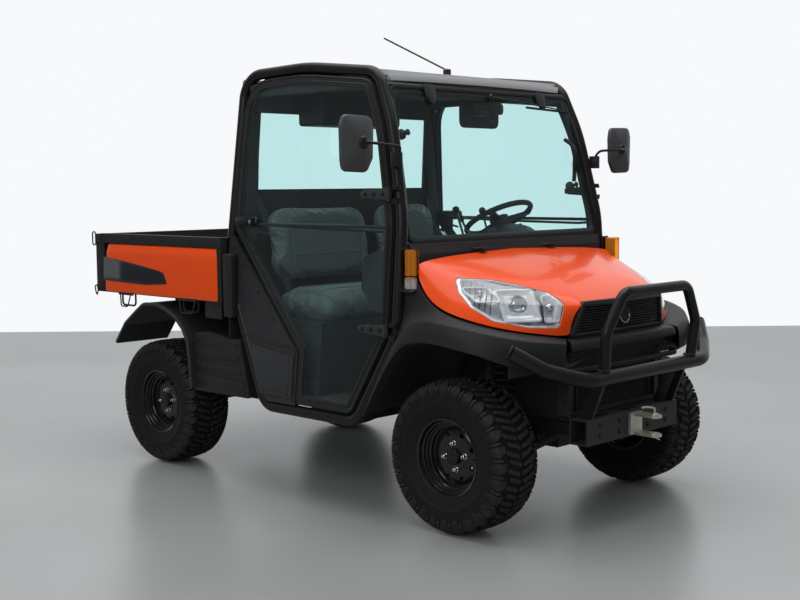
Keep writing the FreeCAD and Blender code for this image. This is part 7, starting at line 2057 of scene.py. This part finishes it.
# %% Guard, beam and clevis
BOSS = [(-0.05, 0.019), (-0.048, 0.021), (-0.032, 0.021), (-0.03, 0.019)]
PIN_HEAD = [(0.046, TIP), (0.046, 0.015), (0.052, 0.015), (0.054, 0.012), (0.054, TIP)]
TUBE_CAP = [(0, 0.03), (0.004, 0.0305), (0.009, 0.026), (0.011, TIP)]
BRACE = metres([(2360, 250, 470), (2410, 250, 470), (2478, 262, 640), (2420, 262, 640)])


def weld(centre, radius):
    """An uneven bead around the foot of an upright tube"""
    one = UP.orthogonal().normalized()
    ring = []
    for step, spoke in enumerate(spokes(one, UP.cross(one), 32)):
        ring.append(centre + spoke * radius * (1 + 0.02 * math.sin(TURN * step / 32 * 11)))
    return tube(ring, 0.0045, 8, closed=True)


welds = [weld(at(2.5, side * 0.32, 0.681), 0.024) for side in (-1, 1)]
piece("guard_welds", joined(welds), frame_finish)
caps = turned(TUBE_CAP, at(2.322, -0.69, 0.775), Vector((-0.7, -0.55, 0.45)), 28)
piece("bumper_tube_caps", pair(caps), rubber_seal)

braces = []
for side in (-1, 1):
    foot = [at(x, side * y, z) for x, y, z in BRACE]
    braces.append(soft_plate(foot, 0.006, Vector((0, side, 0)), 0.008))
beam_bolts = [hex_head(at(2.4305, y, z), AHEAD, 0.008, 0.007) for y in (-0.245, -0.105, 0.105, 0.245)
              for z in (0.394, 0.44)]
piece("beam_braces", joined(braces), frame_finish, bevel=0.0018)
piece("beam_bolts", joined(beam_bolts), frame_finish)
pin_line = at(2.531, 0, 0.416)
upper_boss = [(-out, radius) for out, radius in BOSS]
clevis = joined([
    turned(BOSS + BOSS[:1], pin_line, UP, 28),
    turned(upper_boss + upper_boss[:1], pin_line, UP, 28),
    turned(PIN_HEAD, pin_line, UP, 24),
    rod([(2.531, 0, 0.468), (2.531, 0.0, 0.49), (2.512, -0.03, 0.496), (2.5, -0.052, 0.494)], 0.01, 0.0045),
    rod([(2.536, 0.004, 0.362), (2.545, 0.022, 0.354), (2.525, 0.03, 0.352)], 0.008, 0.0025, 3, 6),
])
piece("clevis_pin_parts", clevis, zinc_plate, bevel=0.0008, segments=1)
print("front gear made")

# %% [markdown]
# Under the vehicle the struts have coil springs, the shafts have ribbed boots, and small lines run along
# the rails. The hood keeps the two barrels that turn on its hinge pins.

# %% Springs, boots, lines and hood hinges
BOOT_SMALL, BOOT_LARGE, BOOT_STEPS = 0.024, 0.042, 12
BOOT_ENDS = [((-0.205, 0.318), (-0.13, 0.33)), ((-0.4, 0.318), (-0.47, 0.318))]
SPRING_SEAT = [(0, 0.03), (0, 0.062), (0.005, 0.064), (0.008, 0.058), (0.008, 0.03)]
BARREL = [(-0.02, 0.0045), (-0.02, 0.007), (0.02, 0.007), (0.02, 0.0045)]
LINE = metres([(-200, 246, 430), (500, 246, 432), (1200, 246, 432), (1750, 246, 440), (1930, 255, 520)])


def coil(foot, top, radius, turns, size):
    """A spring wound between two points"""
    axis = (top - foot).normalized()
    one = axis.orthogonal().normalized()
    two = axis.cross(one)
    count = int(turns * 14)
    points = []
    for step in range(count + 1):
        angle = TURN * turns * step / count
        spoke = one * math.cos(angle) + two * math.sin(angle)
        points.append(foot.lerp(top, step / count) + spoke * radius)
    return tube(points, size, 8)


def boot(inner, outer):
    """A ribbed rubber boot that widens towards the joint"""
    axis = outer - inner
    profile = []
    for step in range(BOOT_STEPS + 1):
        share = step / BOOT_STEPS
        radius = BOOT_SMALL + (BOOT_LARGE - BOOT_SMALL) * share
        profile.append((axis.length * share, radius * (1.0 if step % 2 else 0.84)))
    return turned(profile, inner, axis, 28)


strut_foot = Vector((front_axle, -0.405, 0.3))
strut_top = Vector((front_axle, -0.345, 0.72))
spring = coil(strut_foot.lerp(strut_top, 0.46), strut_foot.lerp(strut_top, 0.9), 0.054, 6.5, 0.0065)
spring_seats = []
for share in (0.44, 0.92):
    spring_seats.append(turned(SPRING_SEAT, strut_foot.lerp(strut_top, share), strut_top - strut_foot, 28))
piece("front_springs", pair(spring), satin_black)
piece("spring_seats", pair(*spring_seats), frame_finish)
boots = [boot(Vector((front_axle, *inner)), Vector((front_axle, *outer))) for inner, outer in BOOT_ENDS]
piece("shaft_boots", pair(*boots), rubber_seal)
lines = [rod([(x, side * y, z - drop) for x, y, z in LINE], 0.08, 0.004, 5)
         for side in (-1, 1) for drop in (0.0, 0.014)]
piece("brake_lines", joined(lines), bright_steel)
hinges = []
for y in (-0.25, 0.25):
    hinges.append(turned(BARREL, at(1.78, y, 1.144), LEFTWARD, 20))
    hinges.append(slab(1.785, 1.812, y - 0.018, y + 0.018, 1.1275, 1.1315))
piece("hood_hinge_barrels", joined(hinges), satin_black, bevel=0.0008, segments=1,
      body="hood")
print("underside dressed")
